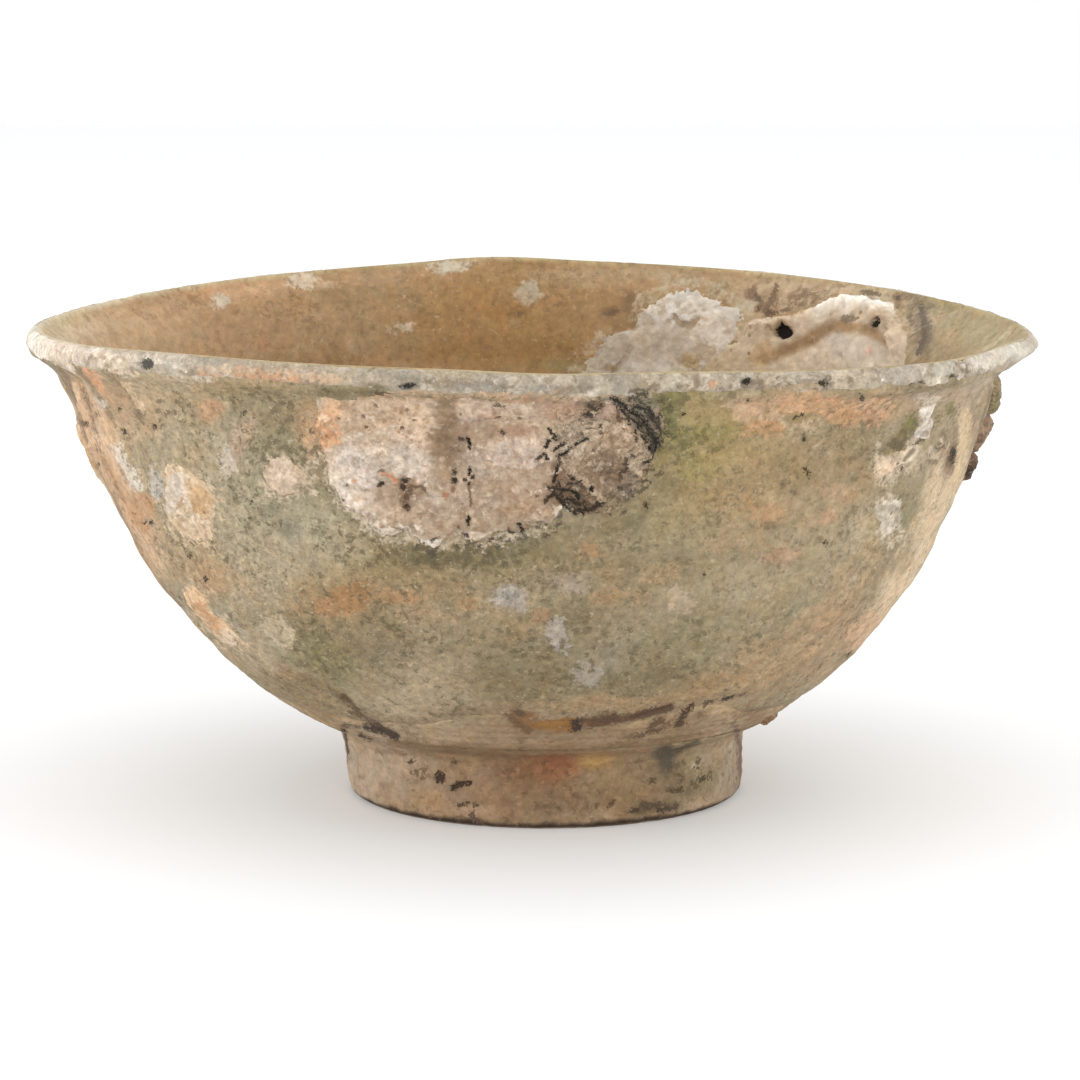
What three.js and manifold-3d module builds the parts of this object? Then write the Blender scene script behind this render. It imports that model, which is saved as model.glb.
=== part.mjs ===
// Footed stoneware bowl, wheel-thrown, with an everted lip, a luted foot ring,
// a glaze coat inside and outside, and the lime and shell crusts that grew on it.
// Millimetres, +Z up. The origin is on the table under the middle of the rim.
// Azimuth is counted from +X towards +Y, so the front of the bowl is at -90 degrees.
import * as THREE from 'three';
import { mergeVertices } from 'three/addons/utils/BufferGeometryUtils.js';
import Module from 'manifold-3d';

const wasm = await Module();
wasm.setup();

// ---- driving dimensions -------------------------------------------------------
const SEGMENTS = 48;            // facets round the bowl
const GLAZE = 0.43;             // glaze and lip-lime thickness
const BOND = 0.12;              // clearance that stands for a fused bond
const SEAT = 0.5;               // clearance under a crust on the faceted wall
const FOOT_OFFSET = 2.2;        // the foot ring sits off centre, towards +X
const GLAZE_END_Z = 19.0;       // the outside glaze stops above the foot
const GLAZE_END_R = 46.8;
const RIM_TILT = 0.67;          // first-order rise of the warped rim
const RIM_SADDLE = 1.43;        // second-order rise: front and back high, sides low
const WARP_START_Z = 30;
const WARP_FULL_Z = 81.6;

// Outside of the finished bowl above the foot joint, [radius, height].
const OUTSIDE = [
  [46.8, 19.0], [51.1, 22], [56, 27], [61, 33], [66.1, 40], [69.85, 48], [73.5, 56],
  [76.05, 63], [77.65, 68], [79.5, 72], [80.9, 74.5], [82.95, 76.5],
];
// Bare clay between the foot joint and the glaze edge.
const BARE = [[34.9, 12.75], [36.7, 13.5], [40.6, 15], [45.35, 18], [46.4, 18.72]];
// Outer face of the everted lip, from its underside to its crest.
const LIP = [[83.35, 76.8], [85.0, 78.0], [85.45, 79.4], [85.0, 80.7], [83.9, 81.5]];
const CREST = [83.2, 81.6];
// Inside of the finished bowl, from the middle of the floor to the lip.
const INSIDE = [
  [0, 16.2], [16, 16.6], [28, 18.2], [37.7, 20.5], [42.1, 22.8], [47.6, 26.1], [52.3, 30.35],
  [57.2, 35.95], [62.1, 42.3], [65.8, 49.9], [69.6, 57.7], [72.2, 64.3], [74.0, 69.4],
  [76.2, 73.65], [78.1, 76.6], [80.8, 79.0], [82.2, 80.4], [82.75, 81.1],
];
// Underside of the base inside the foot ring, and the cone that the ring is luted to.
const UNDERSIDE = [[0, 8.4], [25.7, 8.9], [34.6, 12.6]];
// Section of the foot ring, counter-clockwise from the inner edge of its resting face.
const FOOT = [
  [27.6, 0], [32.8, 0], [33.5, 0.7], [34.0, 3.0], [34.15, 8.5], [34.35, 12.2],
  [33.9, 12.12], [25.9, 8.78], [26.3, 1.0],
];
// Sideways lean of the wall with height.
const LEAN = [[0, 2.2], [12.6, 2.2], [18, 0.95], [30, 0.7], [45, 0.1], [60, -0.35], [72, -0.4], [78, -0.1], [84, 0]];

const rad = (d) => d * Math.PI / 180;
const clamp01 = (v) => Math.min(1, Math.max(0, v));
const smooth = (v) => { const t = clamp01(v); return t * t * (3 - 2 * t); };
const table = (rows, x) => {
  if (x <= rows[0][0]) return rows[0][1];
  for (let i = 1; i < rows.length; i++) {
    if (x <= rows[i][0]) {
      const k = (x - rows[i - 1][0]) / (rows[i][0] - rows[i - 1][0]);
      return rows[i - 1][1] + k * (rows[i][1] - rows[i - 1][1]);
    }
  }
  return rows[rows.length - 1][1];
};

// ---- kiln warp and lean, shared by every piece above the foot joint -------------
function settle(v) {
  const a = Math.atan2(v.y, v.x);
  const w = smooth((v.z - WARP_START_Z) / (WARP_FULL_Z - WARP_START_Z));
  const back = ((a * 180 / Math.PI - 95 + 540) % 360) - 180;
  const rise = -RIM_TILT * Math.cos(a + rad(5)) - RIM_SADDLE * Math.cos(2 * (a + rad(7)))
    + 0.6 * Math.exp(-((back / 8) ** 2));
  return new THREE.Vector3(v.x + table(LEAN, v.z), v.y, v.z + w * rise);
}

// ---- welded, closed geometry --------------------------------------------------
function weld(geometry) {
  geometry.deleteAttribute('normal');
  geometry.deleteAttribute('uv');
  const g = mergeVertices(geometry, 1e-4);
  const kept = [];
  const idx = g.getIndex().array;
  for (let i = 0; i < idx.length; i += 3) {
    const [a, b, c] = [idx[i], idx[i + 1], idx[i + 2]];
    if (a !== b && b !== c && c !== a) kept.push(a, b, c);
  }
  g.setIndex(kept);
  return g;
}
function eachPoint(g, move) {
  const p = g.getAttribute('position');
  const v = new THREE.Vector3();
  for (let i = 0; i < p.count; i++) {
    const q = move(v.fromBufferAttribute(p, i));
    p.setXYZ(i, q.x, q.y, q.z);
  }
  g.computeVertexNormals();
  return g;
}
function turned(section) {
  const g = new THREE.LatheGeometry(section.map(([r, z]) => new THREE.Vector2(r, z)), SEGMENTS);
  g.rotateX(Math.PI / 2);
  return weld(g);
}

// ---- profiles with normals ----------------------------------------------------
// side +1: the material lies on the axis side of the profile (outside of the bowl);
// side -1: the material lies on the far side (inside of the bowl).
function profile(points, side) {
  const n = points.length;
  const arc = [0];
  for (let i = 1; i < n; i++) arc.push(arc[i - 1] + Math.hypot(points[i][0] - points[i - 1][0], points[i][1] - points[i - 1][1]));
  const normals = points.map((p, i) => {
    const a = points[Math.max(0, i - 1)];
    const b = points[Math.min(n - 1, i + 1)];
    const dr = b[0] - a[0];
    const dz = b[1] - a[1];
    const l = Math.hypot(dr, dz);
    return [side * dz / l, -side * dr / l];
  });
  const at = (t) => {
    const x = Math.min(arc[n - 1], Math.max(0, t));
    let i = 1;
    while (i < n - 1 && arc[i] < x) i++;
    const k = (x - arc[i - 1]) / (arc[i] - arc[i - 1]);
    const mix = (u, v) => u + k * (v - u);
    const nr = mix(normals[i - 1][0], normals[i][0]);
    const nz = mix(normals[i - 1][1], normals[i][1]);
    const l = Math.hypot(nr, nz);
    return { r: mix(points[i - 1][0], points[i][0]), z: mix(points[i - 1][1], points[i][1]), nr: nr / l, nz: nz / l };
  };
  const inset = (d) => points.map((p, i) => [p[0] === 0 ? 0 : p[0] - normals[i][0] * d, p[1] - normals[i][1] * d]);
  return { points, arc, at, inset, length: arc[n - 1] };
}
const outside = profile(OUTSIDE, 1);
const inside = profile(INSIDE, -1);
const lip = profile(LIP, 1);
// The wall that outside crusts sit on: bare clay, glaze and lip as one line.
const outerWall = profile([...BARE.slice(0, 4), ...OUTSIDE, ...LIP], 1);
const arcAtHeight = (prof, z) => {
  const i = prof.points.findIndex((p, k) => k > 0 && p[1] >= z);
  const a = prof.points[i - 1];
  const b = prof.points[i];
  return prof.arc[i - 1] + (z - a[1]) / (b[1] - a[1]) * (prof.arc[i] - prof.arc[i - 1]);
};

// ---- thrown body, foot ring and coats -------------------------------------------
const coat = GLAZE + BOND;
const bodySection = [
  ...UNDERSIDE,
  ...BARE,
  ...outside.inset(coat),
  ...lip.inset(coat),
  [CREST[0] - 0.05, CREST[1] - coat],
  ...inside.inset(coat).reverse(),
];
const bodyGeometry = eachPoint(turned(bodySection), settle);

const footGeometry = turned([...FOOT, FOOT[0]]);
footGeometry.computeVertexNormals();

const outsideGlazeGeometry = eachPoint(
  turned([...outside.points, ...outside.inset(GLAZE).reverse(), outside.points[0]]), settle);

const insideGlazeGeometry = eachPoint(
  turned([...inside.inset(GLAZE), ...[...inside.points].reverse()]), settle);

const lipGeometry = eachPoint(
  turned([...lip.points, ...lip.inset(GLAZE).reverse(), lip.points[0]]), settle);

// ---- crusts ---------------------------------------------------------------------
// A crust is a flattened sphere laid on the wall: the lower half follows the wall at
// the seat clearance, the upper half rises to its thickness, and its outline is a
// list of radii (mm) at equal angles, from growing azimuth towards the upper edge.
function crust({ wall, azimuth, arc, outline, height, around = 20, rings = 8, seat = SEAT, edge = 0.35 }) {
  const radius = (angle) => {
    const n = outline.length;
    const f = ((angle / (2 * Math.PI)) % 1 + 1) % 1 * n;
    const i = Math.floor(f) % n;
    const k = f - Math.floor(f);
    return outline[i] * (1 - k) + outline[(i + 1) % n] * k;
  };
  const g = weld(new THREE.SphereGeometry(1, around, rings));
  return eachPoint(g, (p) => {
    const polar = Math.acos(Math.min(1, Math.max(-1, p.y)));
    const top = polar <= Math.PI / 2 + 1e-6;
    const rho = top ? polar / (Math.PI / 2) : (Math.PI - polar) / (Math.PI / 2);
    const angle = Math.atan2(-p.z, wall === inside ? -p.x : p.x);
    const R = radius(angle) * rho;
    const u = R * Math.cos(angle);
    const v = R * Math.sin(angle);
    const s = wall.at(arc + v);
    const a = rad(azimuth) + u / s.r;
    const level = Math.abs(rho - 1) < 1e-6 ? seat + edge * 0.5
      : top ? seat + edge + height(u, v, rho) : seat;
    const r = s.r + s.nr * level;
    return settle(new THREE.Vector3(r * Math.cos(a), r * Math.sin(a), s.z + s.nz * level));
  });
}
const dome = (h) => (u, v, rho) => h * Math.sqrt(Math.max(0, 1 - rho * rho));
const lumps = (h, k) => (u, v, rho) => h * Math.sqrt(Math.max(0, 1 - rho * rho))
  * (0.8 + 0.2 * Math.sin(u * k + 0.7) * Math.cos(v * k * 1.2 - 0.4));
// distance from a point to a broken line
const toLine = (line, u, v) => {
  let best = 1e9;
  for (let i = 1; i < line.length; i++) {
    const [ax, ay] = line[i - 1];
    const [bx, by] = line[i];
    const k = clamp01(((u - ax) * (bx - ax) + (v - ay) * (by - ay)) / ((bx - ax) ** 2 + (by - ay) ** 2));
    best = Math.min(best, Math.hypot(u - ax - k * (bx - ax), v - ay - k * (by - ay)));
  }
  return best;
};
const onWall = (z) => arcAtHeight(outerWall, z);
const onInside = (z) => arcAtHeight(inside, z);

const frontCoral = crust({
  wall: outerWall, azimuth: -100.8, arc: onWall(65.6), around: 32, rings: 10, height: lumps(1.5, 0.35),
  outline: [17.2, 16.8, 17.6, 18.2, 15.0, 12.4, 11.2, 10.6, 10.2, 10.2, 10.9, 12.4, 15.0, 19.0, 20.0, 19.3, 18.0, 17.9, 17.0, 16.1, 15.8, 14.0, 12.5, 13.3, 12.5, 11.8, 12.9, 13.8, 15.1, 16.6, 16.4, 16.6],
});
const oyster = crust({
  wall: outerWall, azimuth: -81.2, arc: onWall(67.2), around: 24, rings: 10,
  height: (u, v, rho) => 0.55 + 0.75 * Math.sin(Math.PI * Math.min(1, rho) ** 1.4),
  outline: [8.0, 8.9, 9.6, 10.2, 10.6, 10.2, 9.8, 9.7, 9.6, 8.8, 7.6, 6.6, 6.0, 5.8, 6.6, 8.0, 8.6, 9.0, 9.0, 8.6, 8.2, 7.7, 7.4, 7.5],
});
const insideCoral = crust({
  wall: inside, azimuth: 69.8, arc: onInside(68.0), around: 24, rings: 10, height: lumps(2.2, 0.3),
  outline: [12.0, 7.4, 7.8, 9.2, 9.6, 9.8, 10.2, 10.8, 11.2, 11.4, 12.4, 12.2, 11.0, 7.9, 7.4, 7.9, 9.6, 10.6, 12.0, 12.6, 13.6, 15.2, 17.0, 16.0],
});
const WORM_RIDGE = [[16, 3.6], [8.8, 4.6], [3.8, 6.2], [-0.8, 7.6], [-6.7, 7.8], [-13, 6.0], [-17, 2.0]];
const wormSolid = crust({
  wall: inside, azimuth: 45.2, arc: onInside(70.2), around: 32, rings: 12,
  height: (u, v, rho) => 0.8 * Math.sqrt(Math.max(0, 1 - rho * rho))
    + 2.4 * Math.exp(-((toLine(WORM_RIDGE, u, v) / 2.6) ** 2)) * smooth((1 - rho) * 4),
  outline: [15.6, 14.6, 11.0, 9.0, 8.8, 9.4, 9.8, 10.2, 11.4, 13.2, 16.0, 20.0, 23.0, 19.6, 15.0, 12.2, 10.8, 10.2, 10.4, 11.1, 12.8, 15.6, 18.6, 18.0],
});
// Two round worm burrows, blind, cut square to the wall into the ridge.
function toSolid(g) {
  return new wasm.Manifold(new wasm.Mesh({
    numProp: 3,
    vertProperties: new Float32Array(g.getAttribute('position').array),
    triVerts: new Uint32Array(g.getIndex().array),
  }));
}
function toGeometry(solid) {
  const m = solid.getMesh();
  const g = new THREE.BufferGeometry();
  g.setAttribute('position', new THREE.BufferAttribute(new Float32Array(m.vertProperties), 3));
  g.setIndex([...m.triVerts]);
  g.computeVertexNormals();
  return g;
}
function burrow(u, v, radius, floor) {
  const s = inside.at(onInside(70.2) + v);
  const a = rad(45.2) + u / s.r;
  const n = new THREE.Vector3(s.nr * Math.cos(a), s.nr * Math.sin(a), s.nz);
  const p = settle(new THREE.Vector3(s.r * Math.cos(a), s.r * Math.sin(a), s.z)).addScaledVector(n, SEAT + floor + 4);
  const g = weld(new THREE.CylinderGeometry(radius, radius * 0.8, 8, 12));
  g.applyQuaternion(new THREE.Quaternion().setFromUnitVectors(new THREE.Vector3(0, 1, 0), n));
  g.translate(p.x, p.y, p.z);
  return toSolid(g);
}
const wormCrust = toGeometry(toSolid(wormSolid)
  .subtract(burrow(8.4, 2.4, 1.3, 0.7))
  .subtract(burrow(-12.2, 5.4, 1.1, 0.7)));

const small = (azimuth, z, outline, h, extra = {}) => crust({
  wall: outerWall, azimuth, arc: onWall(z), outline, height: dome(h), around: 16, rings: 6, ...extra,
});
const rightShellUpper = small(-9, 71.6, [2.6, 2.8, 3.4, 3.8, 3.4, 2.8, 2.4, 2.4, 2.8, 3.4, 3.6, 3.0], 1.3);
const rightShellMiddle = small(-8, 64.8, [2.4, 2.6, 3.0, 3.0, 2.8, 2.4, 2.4, 2.4, 2.8, 3.2, 3.2, 2.6], 1.4);
const rightShellLower = small(-8.6, 58.4, [2.2, 2.2, 2.6, 2.8, 2.6, 2.2, 2.0, 2.2, 2.6, 3.2, 3.2, 2.6], 1.2);
const leftEdgeCrust = small(-171, 60.6, [4.0, 4.6, 5.4, 6.2, 5.6, 4.8, 4.4, 4.6, 5.6, 6.4, 5.6, 4.6], 0.8);
const leftUpperPatch = small(-137.6, 56.7, [5.6, 6.5, 6.5, 6.3, 6.6, 7.1, 6.0, 6.0, 7.2, 8.5, 8.9, 7.4, 6.5, 6.1, 4.8, 4.9], 0.6);
const frontLeftPatch = small(-120.2, 63.3, [4.4, 3.7, 3.4, 3.4, 3.7, 3.2, 3.2, 3.6, 4.0, 4.0, 4.2, 3.6, 3.5, 3.5, 2.6, 3.5], 0.6);
const leftLowerPatch = small(-147.8, 35.8, [3.2, 3.2, 4.4, 5.9, 6.2, 6.0, 6.3, 6.5, 6.6, 6.7, 7.8, 8.0, 7.0, 6.6, 6.9, 4.2], 0.5);
const rightUpperPatch = small(-34.4, 70.6, [1.7, 1.9, 2.4, 3.4, 3.7, 2.8, 2.0, 1.7, 1.6, 1.8, 2.4, 3.2, 3.0, 2.2, 1.8, 1.7], 0.5);
const rightMiddlePatch = small(-41.6, 64.6, [4.0, 3.6, 3.0, 2.2, 2.0, 2.0, 2.4, 2.8, 3.8, 4.2, 3.4, 2.4, 2.0, 2.0, 2.4, 3.4], 0.5);
const rightLowerPatch = small(-37.4, 54.6, [3.6, 2.9, 3.4, 3.6, 3.8, 4.4, 5.0, 4.4, 3.5, 2.8, 2.9, 3.3, 4.3, 4.7, 4.8, 4.7], 0.5);
const footLump = small(-24.8, 15.6, [3.0, 2.6, 1.9, 1.5, 1.5, 1.8, 2.6, 3.0, 2.8, 2.2, 1.5, 1.2, 1.2, 1.5, 2.0, 2.6], 1.2);
// The far side, out of sight in the only view of the bowl: three modest crusts.
const backCoral = small(64, 60, [9.0, 10.2, 9.4, 8.0, 7.6, 8.2, 9.6, 10.8, 11.4, 10.2, 8.4, 7.4, 7.0, 7.6, 8.8, 9.2], 1.3, { around: 24, rings: 8 });
const backLeftPatch = small(128, 52, [5.0, 5.6, 5.2, 4.2, 3.8, 4.2, 5.0, 5.6, 5.8, 5.0, 4.2, 3.8, 4.0, 4.8, 5.4, 5.2], 0.7);
const backLowPatch = small(98, 34, [4.2, 4.0, 3.4, 2.8, 2.6, 3.0, 3.8, 4.4, 4.6, 4.0, 3.2, 2.8, 2.8, 3.2, 3.8, 4.2], 0.5);

// ---- materials -------------------------------------------------------------------
const matte = (color, roughness) => new THREE.MeshStandardMaterial({ color, roughness, metalness: 0 });
const clay = matte(0xb99a78, 0.9);
const glazeOut = matte(0xa2967a, 0.75);
const glazeIn = matte(0xb08c5c, 0.45);
const lime = matte(0xd3cbbd, 0.95);
const coral = matte(0xd2b79c, 0.95);
const shell = matte(0x8a7866, 0.85);

// ---- scene graph -----------------------------------------------------------------
const bowl = new THREE.Group();
const put = (name, geometry, material, parent = bowl) => {
  const mesh = new THREE.Mesh(geometry, material);
  mesh.name = name;
  parent.add(mesh);
  return mesh;
};
const thrown = new THREE.Group();
put('bowl_body', bodyGeometry, clay, thrown);
const foot = new THREE.Group();
foot.position.set(FOOT_OFFSET, 0, 0);
put('foot_ring', footGeometry, clay, foot);
thrown.add(foot);
const coats = new THREE.Group();
put('outside_glaze', outsideGlazeGeometry, glazeOut, coats);
put('inside_glaze', insideGlazeGeometry, glazeIn, coats);
put('lip_lime_crust', lipGeometry, lime, coats);
const growth = new THREE.Group();
put('front_coral_crust', frontCoral, coral, growth);
put('front_oyster_shell', oyster, shell, growth);
put('inside_coral_crust', insideCoral, lime, growth);
put('inside_worm_crust', wormCrust, coral, growth);
put('right_shell_upper', rightShellUpper, shell, growth);
put('right_shell_middle', rightShellMiddle, shell, growth);
put('right_shell_lower', rightShellLower, shell, growth);
put('left_edge_crust', leftEdgeCrust, coral, growth);
put('left_upper_patch', leftUpperPatch, coral, growth);
put('front_left_patch', frontLeftPatch, coral, growth);
put('left_lower_patch', leftLowerPatch, coral, growth);
put('right_upper_patch', rightUpperPatch, lime, growth);
put('right_middle_patch', rightMiddlePatch, coral, growth);
put('right_lower_patch', rightLowerPatch, lime, growth);
put('foot_lump', footLump, shell, growth);
put('back_coral_crust', backCoral, coral, growth);
put('back_left_patch', backLeftPatch, lime, growth);
put('back_low_patch', backLowPatch, coral, growth);
bowl.add(thrown, coats, growth);

export default bowl;
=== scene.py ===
"""Weathered stoneware footed bowl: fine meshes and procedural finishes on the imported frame.

Lengths in the shape code are millimetres in the row frame and become metres when a mesh is made.
Azimuth runs from +X towards +Y, so the front of the bowl is at -90 degrees.
"""
import math

import bpy
import numpy as np
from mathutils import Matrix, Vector


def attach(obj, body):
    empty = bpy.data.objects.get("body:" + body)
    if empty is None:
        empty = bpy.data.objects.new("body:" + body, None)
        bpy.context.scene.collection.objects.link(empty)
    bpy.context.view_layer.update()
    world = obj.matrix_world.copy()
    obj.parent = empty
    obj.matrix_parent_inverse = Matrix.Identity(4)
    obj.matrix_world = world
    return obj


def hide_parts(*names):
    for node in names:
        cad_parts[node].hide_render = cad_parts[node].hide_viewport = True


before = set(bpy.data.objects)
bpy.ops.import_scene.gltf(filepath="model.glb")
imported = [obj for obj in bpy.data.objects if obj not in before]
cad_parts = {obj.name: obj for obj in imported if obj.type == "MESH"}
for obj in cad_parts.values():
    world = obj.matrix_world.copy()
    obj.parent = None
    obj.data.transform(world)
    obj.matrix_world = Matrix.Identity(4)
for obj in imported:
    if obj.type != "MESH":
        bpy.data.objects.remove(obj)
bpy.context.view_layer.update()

# ------------------------------------------------------------------ shape of the bowl
BARE = [(34.9, 12.4), (36.7, 13.1), (40.6, 14.6), (45.35, 17.7)]
WALL = [(51.1, 22), (56, 27), (61, 33), (66.1, 40), (69.85, 48), (73.5, 56), (76.05, 63),
        (77.65, 68), (79.5, 72), (80.9, 74.5), (82.95, 76.5)]
LIP = [(85.0, 78.0), (85.45, 79.4), (85.0, 80.7), (83.9, 81.5), (83.2, 81.6)]
INSIDE = [(0, 16.2), (16, 16.6), (28, 18.2), (37.7, 20.5), (42.1, 22.8), (47.6, 26.1), (52.3, 30.35),
          (57.2, 35.95), (62.1, 42.3), (65.8, 49.9), (69.6, 57.7), (72.2, 64.3), (74.0, 69.4),
          (76.2, 73.65), (78.1, 76.6), (80.8, 79.0), (82.2, 80.4), (82.75, 81.1), (83.2, 81.55)]
FOOT_OUT = [(32.6, 0), (33.5, 0.8), (34.0, 3.0), (34.2, 7.2), (34.4, 9.4), (34.95, 11.0), (36.1, 12.35), (37.8, 13.3), (39.6, 14.0), (41.0, 14.9)]
LEAN = np.array([(0, 2.2), (12.6, 1.7), (18, 0.95), (30, 0.7), (45, 0.1), (60, -0.35), (72, -0.4), (78, -0.1), (84, 0)])
FOOT_OFFSET = 2.2
FOOT_LEAN = np.array([(0, 2.25), (2, 2.2), (8, 1.8), (12.5, 1.5), (14.5, 1.5)])

# The fitted view: the camera stands in front of the bowl, a little above the rim.
CAM = np.array([0.0, -776.2, 169.6])
AIM = np.array([0.0, 0.0, 43.2])
FOCAL = 4587.0
CENTRE = (532.74, 540.0)


def sstep(a, b, x):
    t = np.clip((np.asarray(x, float) - a) / (b - a), 0, 1)
    return t * t * (3 - 2 * t)


def mix(a, b, w):
    w = np.asarray(w)[..., None] if np.ndim(w) else w
    return np.asarray(a, float) * (1 - w) + np.asarray(b, float) * w


def hermite(points, per=40):
    p = np.array(points, float)
    d = np.r_[0, np.cumsum(np.sqrt(np.hypot(*np.diff(p, axis=0).T)))]
    m = np.zeros_like(p)
    m[0] = (p[1] - p[0]) / (d[1] - d[0])
    m[-1] = (p[-1] - p[-2]) / (d[-1] - d[-2])
    for i in range(1, len(p) - 1):
        a, b = d[i] - d[i - 1], d[i + 1] - d[i]
        m[i] = ((p[i + 1] - p[i]) / b * a + (p[i] - p[i - 1]) / a * b) / (a + b)
    out = []
    for i in range(len(p) - 1):
        h = d[i + 1] - d[i]
        k = np.linspace(0, 1, per, endpoint=False)[:, None]
        out.append((2 * k**3 - 3 * k**2 + 1) * p[i] + (k**3 - 2 * k**2 + k) * h * m[i]
                   + (-2 * k**3 + 3 * k**2) * p[i + 1] + (k**3 - k**2) * h * m[i + 1])
    return np.vstack(out + [p[-1:]])


class Wall:
    """A turned profile by its arc length, with its normal on the open side."""

    def __init__(self, points, side):
        q = hermite(points)
        s = np.r_[0, np.cumsum(np.hypot(*np.diff(q, axis=0).T))]
        self.length = s[-1]
        self.t = np.linspace(0, s[-1], 3000)
        self.r, self.z = np.interp(self.t, s, q[:, 0]), np.interp(self.t, s, q[:, 1])
        dr, dz = np.gradient(self.r, self.t), np.gradient(self.z, self.t)
        k = np.hypot(dr, dz)
        self.nr, self.nz = side * dz / k, -side * dr / k

    def at(self, t):
        return tuple(np.interp(t, self.t, a) for a in (self.r, self.z, self.nr, self.nz))

    def at_z(self, z):
        return float(np.interp(z, self.z, self.t))


outer = Wall(BARE + WALL + LIP, 1)
inner = Wall(INSIDE, -1)
footw = Wall(FOOT_OUT, 1)


def settle(x, y, z):
    """Kiln warp of the rim and the wall's lean."""
    a = np.arctan2(y, x)
    w = sstep(30, 81.6, z)
    back = (np.degrees(a) - 95 + 540) % 360 - 180
    rise = -0.67 * np.cos(a + math.radians(5)) - 1.43 * np.cos(2 * (a + math.radians(7))) + 0.6 * np.exp(-(back / 8) ** 2)
    rise = rise - 0.38 * sstep(0.0, 0.5, np.sin(a)) * (1 - np.exp(-(back / 16) ** 2))
    dip = lambda m, wide: np.exp(-(((np.degrees(a) - m + 540) % 360 - 180) / wide) ** 2)
    rise = rise + 0.95 * dip(-21, 12) + 0.5 * dip(-133, 15) - 0.45 * dip(-88, 8) - 0.42 * dip(163, 20)
    return np.stack([x + np.interp(z, LEAN[:, 0], LEAN[:, 1]), y, z + w * rise], -1)


def place(wall, t, phi, d=0.0):
    """Points and normals at arc t and azimuth phi, d millimetres off the wall."""
    t, phi, d = np.broadcast_arrays(np.asarray(t, float), np.asarray(phi, float), np.asarray(d, float))
    r, z, nr, nz = wall.at(t)
    rr, zz = r + nr * d, z + nz * d
    c, s = np.cos(phi), np.sin(phi)
    if wall is footw:
        p = np.stack([rr * c + np.interp(zz, FOOT_LEAN[:, 0], FOOT_LEAN[:, 1]), rr * s, zz], -1)
    else:
        if wall is outer:
            # the neck under the lip is drawn in on the right
            rr = rr - 2.3 * np.exp(-((np.degrees(np.arctan2(s, c)) + 2) / 22) ** 2) * sstep(69, 76, zz) * sstep(79.8, 77.6, zz)
        p = settle(rr * c, rr * s, zz)
    return p, np.stack([nr * c, nr * s, nz], -1)


FW = (AIM - CAM) / np.linalg.norm(AIM - CAM)
RT = np.array([1.0, 0.0, 0.0])
UP = np.cross(RT, FW)


def in_view(p):
    """Where points fall in the 1080 x 1080 view."""
    d = p - CAM
    w = d @ FW
    return CENTRE[0] + FOCAL * (d @ RT) / w, CENTRE[1] - FOCAL * (d @ UP) / w


_seek = {}


def seek(wall, x, y):
    """Azimuth and arc of the point of a wall that shows at (x, y)."""
    key = id(wall)
    if key not in _seek:
        t = np.linspace(0, wall.length, 700)
        ph = np.radians(np.linspace(0, 180, 721) if wall is inner else np.linspace(-180, 0, 721))
        _seek[key] = t, ph, in_view(place(wall, t[:, None], ph[None])[0])
    t, ph, (qx, qy) = _seek[key]
    i, j = np.unravel_index(np.argmin((qx - x) ** 2 + (qy - y) ** 2), qx.shape)
    return ph[j], t[i]


# ------------------------------------------------------------------ noise
def _hash(x, y, z, seed):
    h = (x.astype(np.uint32) * np.uint32(374761393) + y.astype(np.uint32) * np.uint32(668265263)
         + z.astype(np.uint32) * np.uint32(2246822519) + np.uint32((seed * 3266489917 + 101) & 0xFFFFFFFF))
    h = (h ^ (h >> np.uint32(15))) * np.uint32(2246822519)
    h = (h ^ (h >> np.uint32(13))) * np.uint32(3266489917)
    return h ^ (h >> np.uint32(16))


def perlin(p, seed=0):
    i = np.floor(p).astype(np.int64)
    f = p - i
    u = f * f * f * (f * (f * 6 - 15) + 10)
    total = 0.0
    for dx in (0, 1):
        for dy in (0, 1):
            for dz in (0, 1):
                h = _hash(i[:, 0] + dx, i[:, 1] + dy, i[:, 2] + dz, seed)
                gx = (h & np.uint32(1023)).astype(float) / 511.5 - 1
                gy = ((h >> np.uint32(10)) & np.uint32(1023)).astype(float) / 511.5 - 1
                gz = ((h >> np.uint32(20)) & np.uint32(1023)).astype(float) / 511.5 - 1
                w = (u[:, 0] if dx else 1 - u[:, 0]) * (u[:, 1] if dy else 1 - u[:, 1]) * (u[:, 2] if dz else 1 - u[:, 2])
                total = total + w * (gx * (f[:, 0] - dx) + gy * (f[:, 1] - dy) + gz * (f[:, 2] - dz))
    return total * 1.5


def fbm(p, size, octaves=3, seed=0, gain=0.5):
    out, amp, norm = 0.0, 1.0, 0.0
    q = p / size
    for k in range(octaves):
        out = out + amp * perlin(q * 2.03**k + 17.3 * k, seed + 31 * k)
        norm += amp
        amp *= gain
    return out / norm * 1.25


def cells(p, size, seed=0):
    """Nearest and second nearest cell distance (in cells) and a number from 0 to 1 for the cell."""
    q = p / size
    i = np.floor(q).astype(np.int64)
    f1 = np.full(len(p), 9.0)
    f2 = np.full(len(p), 9.0)
    own = np.zeros(len(p))
    for dx in (-1, 0, 1):
        for dy in (-1, 0, 1):
            for dz in (-1, 0, 1):
                c = i + (dx, dy, dz)
                h = _hash(c[:, 0], c[:, 1], c[:, 2], seed)
                j = np.stack([(h & np.uint32(1023)), (h >> np.uint32(10)) & np.uint32(1023), (h >> np.uint32(20)) & np.uint32(1023)], -1) / 1023.0
                d = np.linalg.norm(c + j - q, axis=1)
                near = d < f1
                f2 = np.where(near, f1, np.minimum(f2, d))
                own = np.where(near, (h % np.uint32(997)) / 997.0, own)
                f1 = np.where(near, d, f1)
    return f1, f2, own


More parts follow.
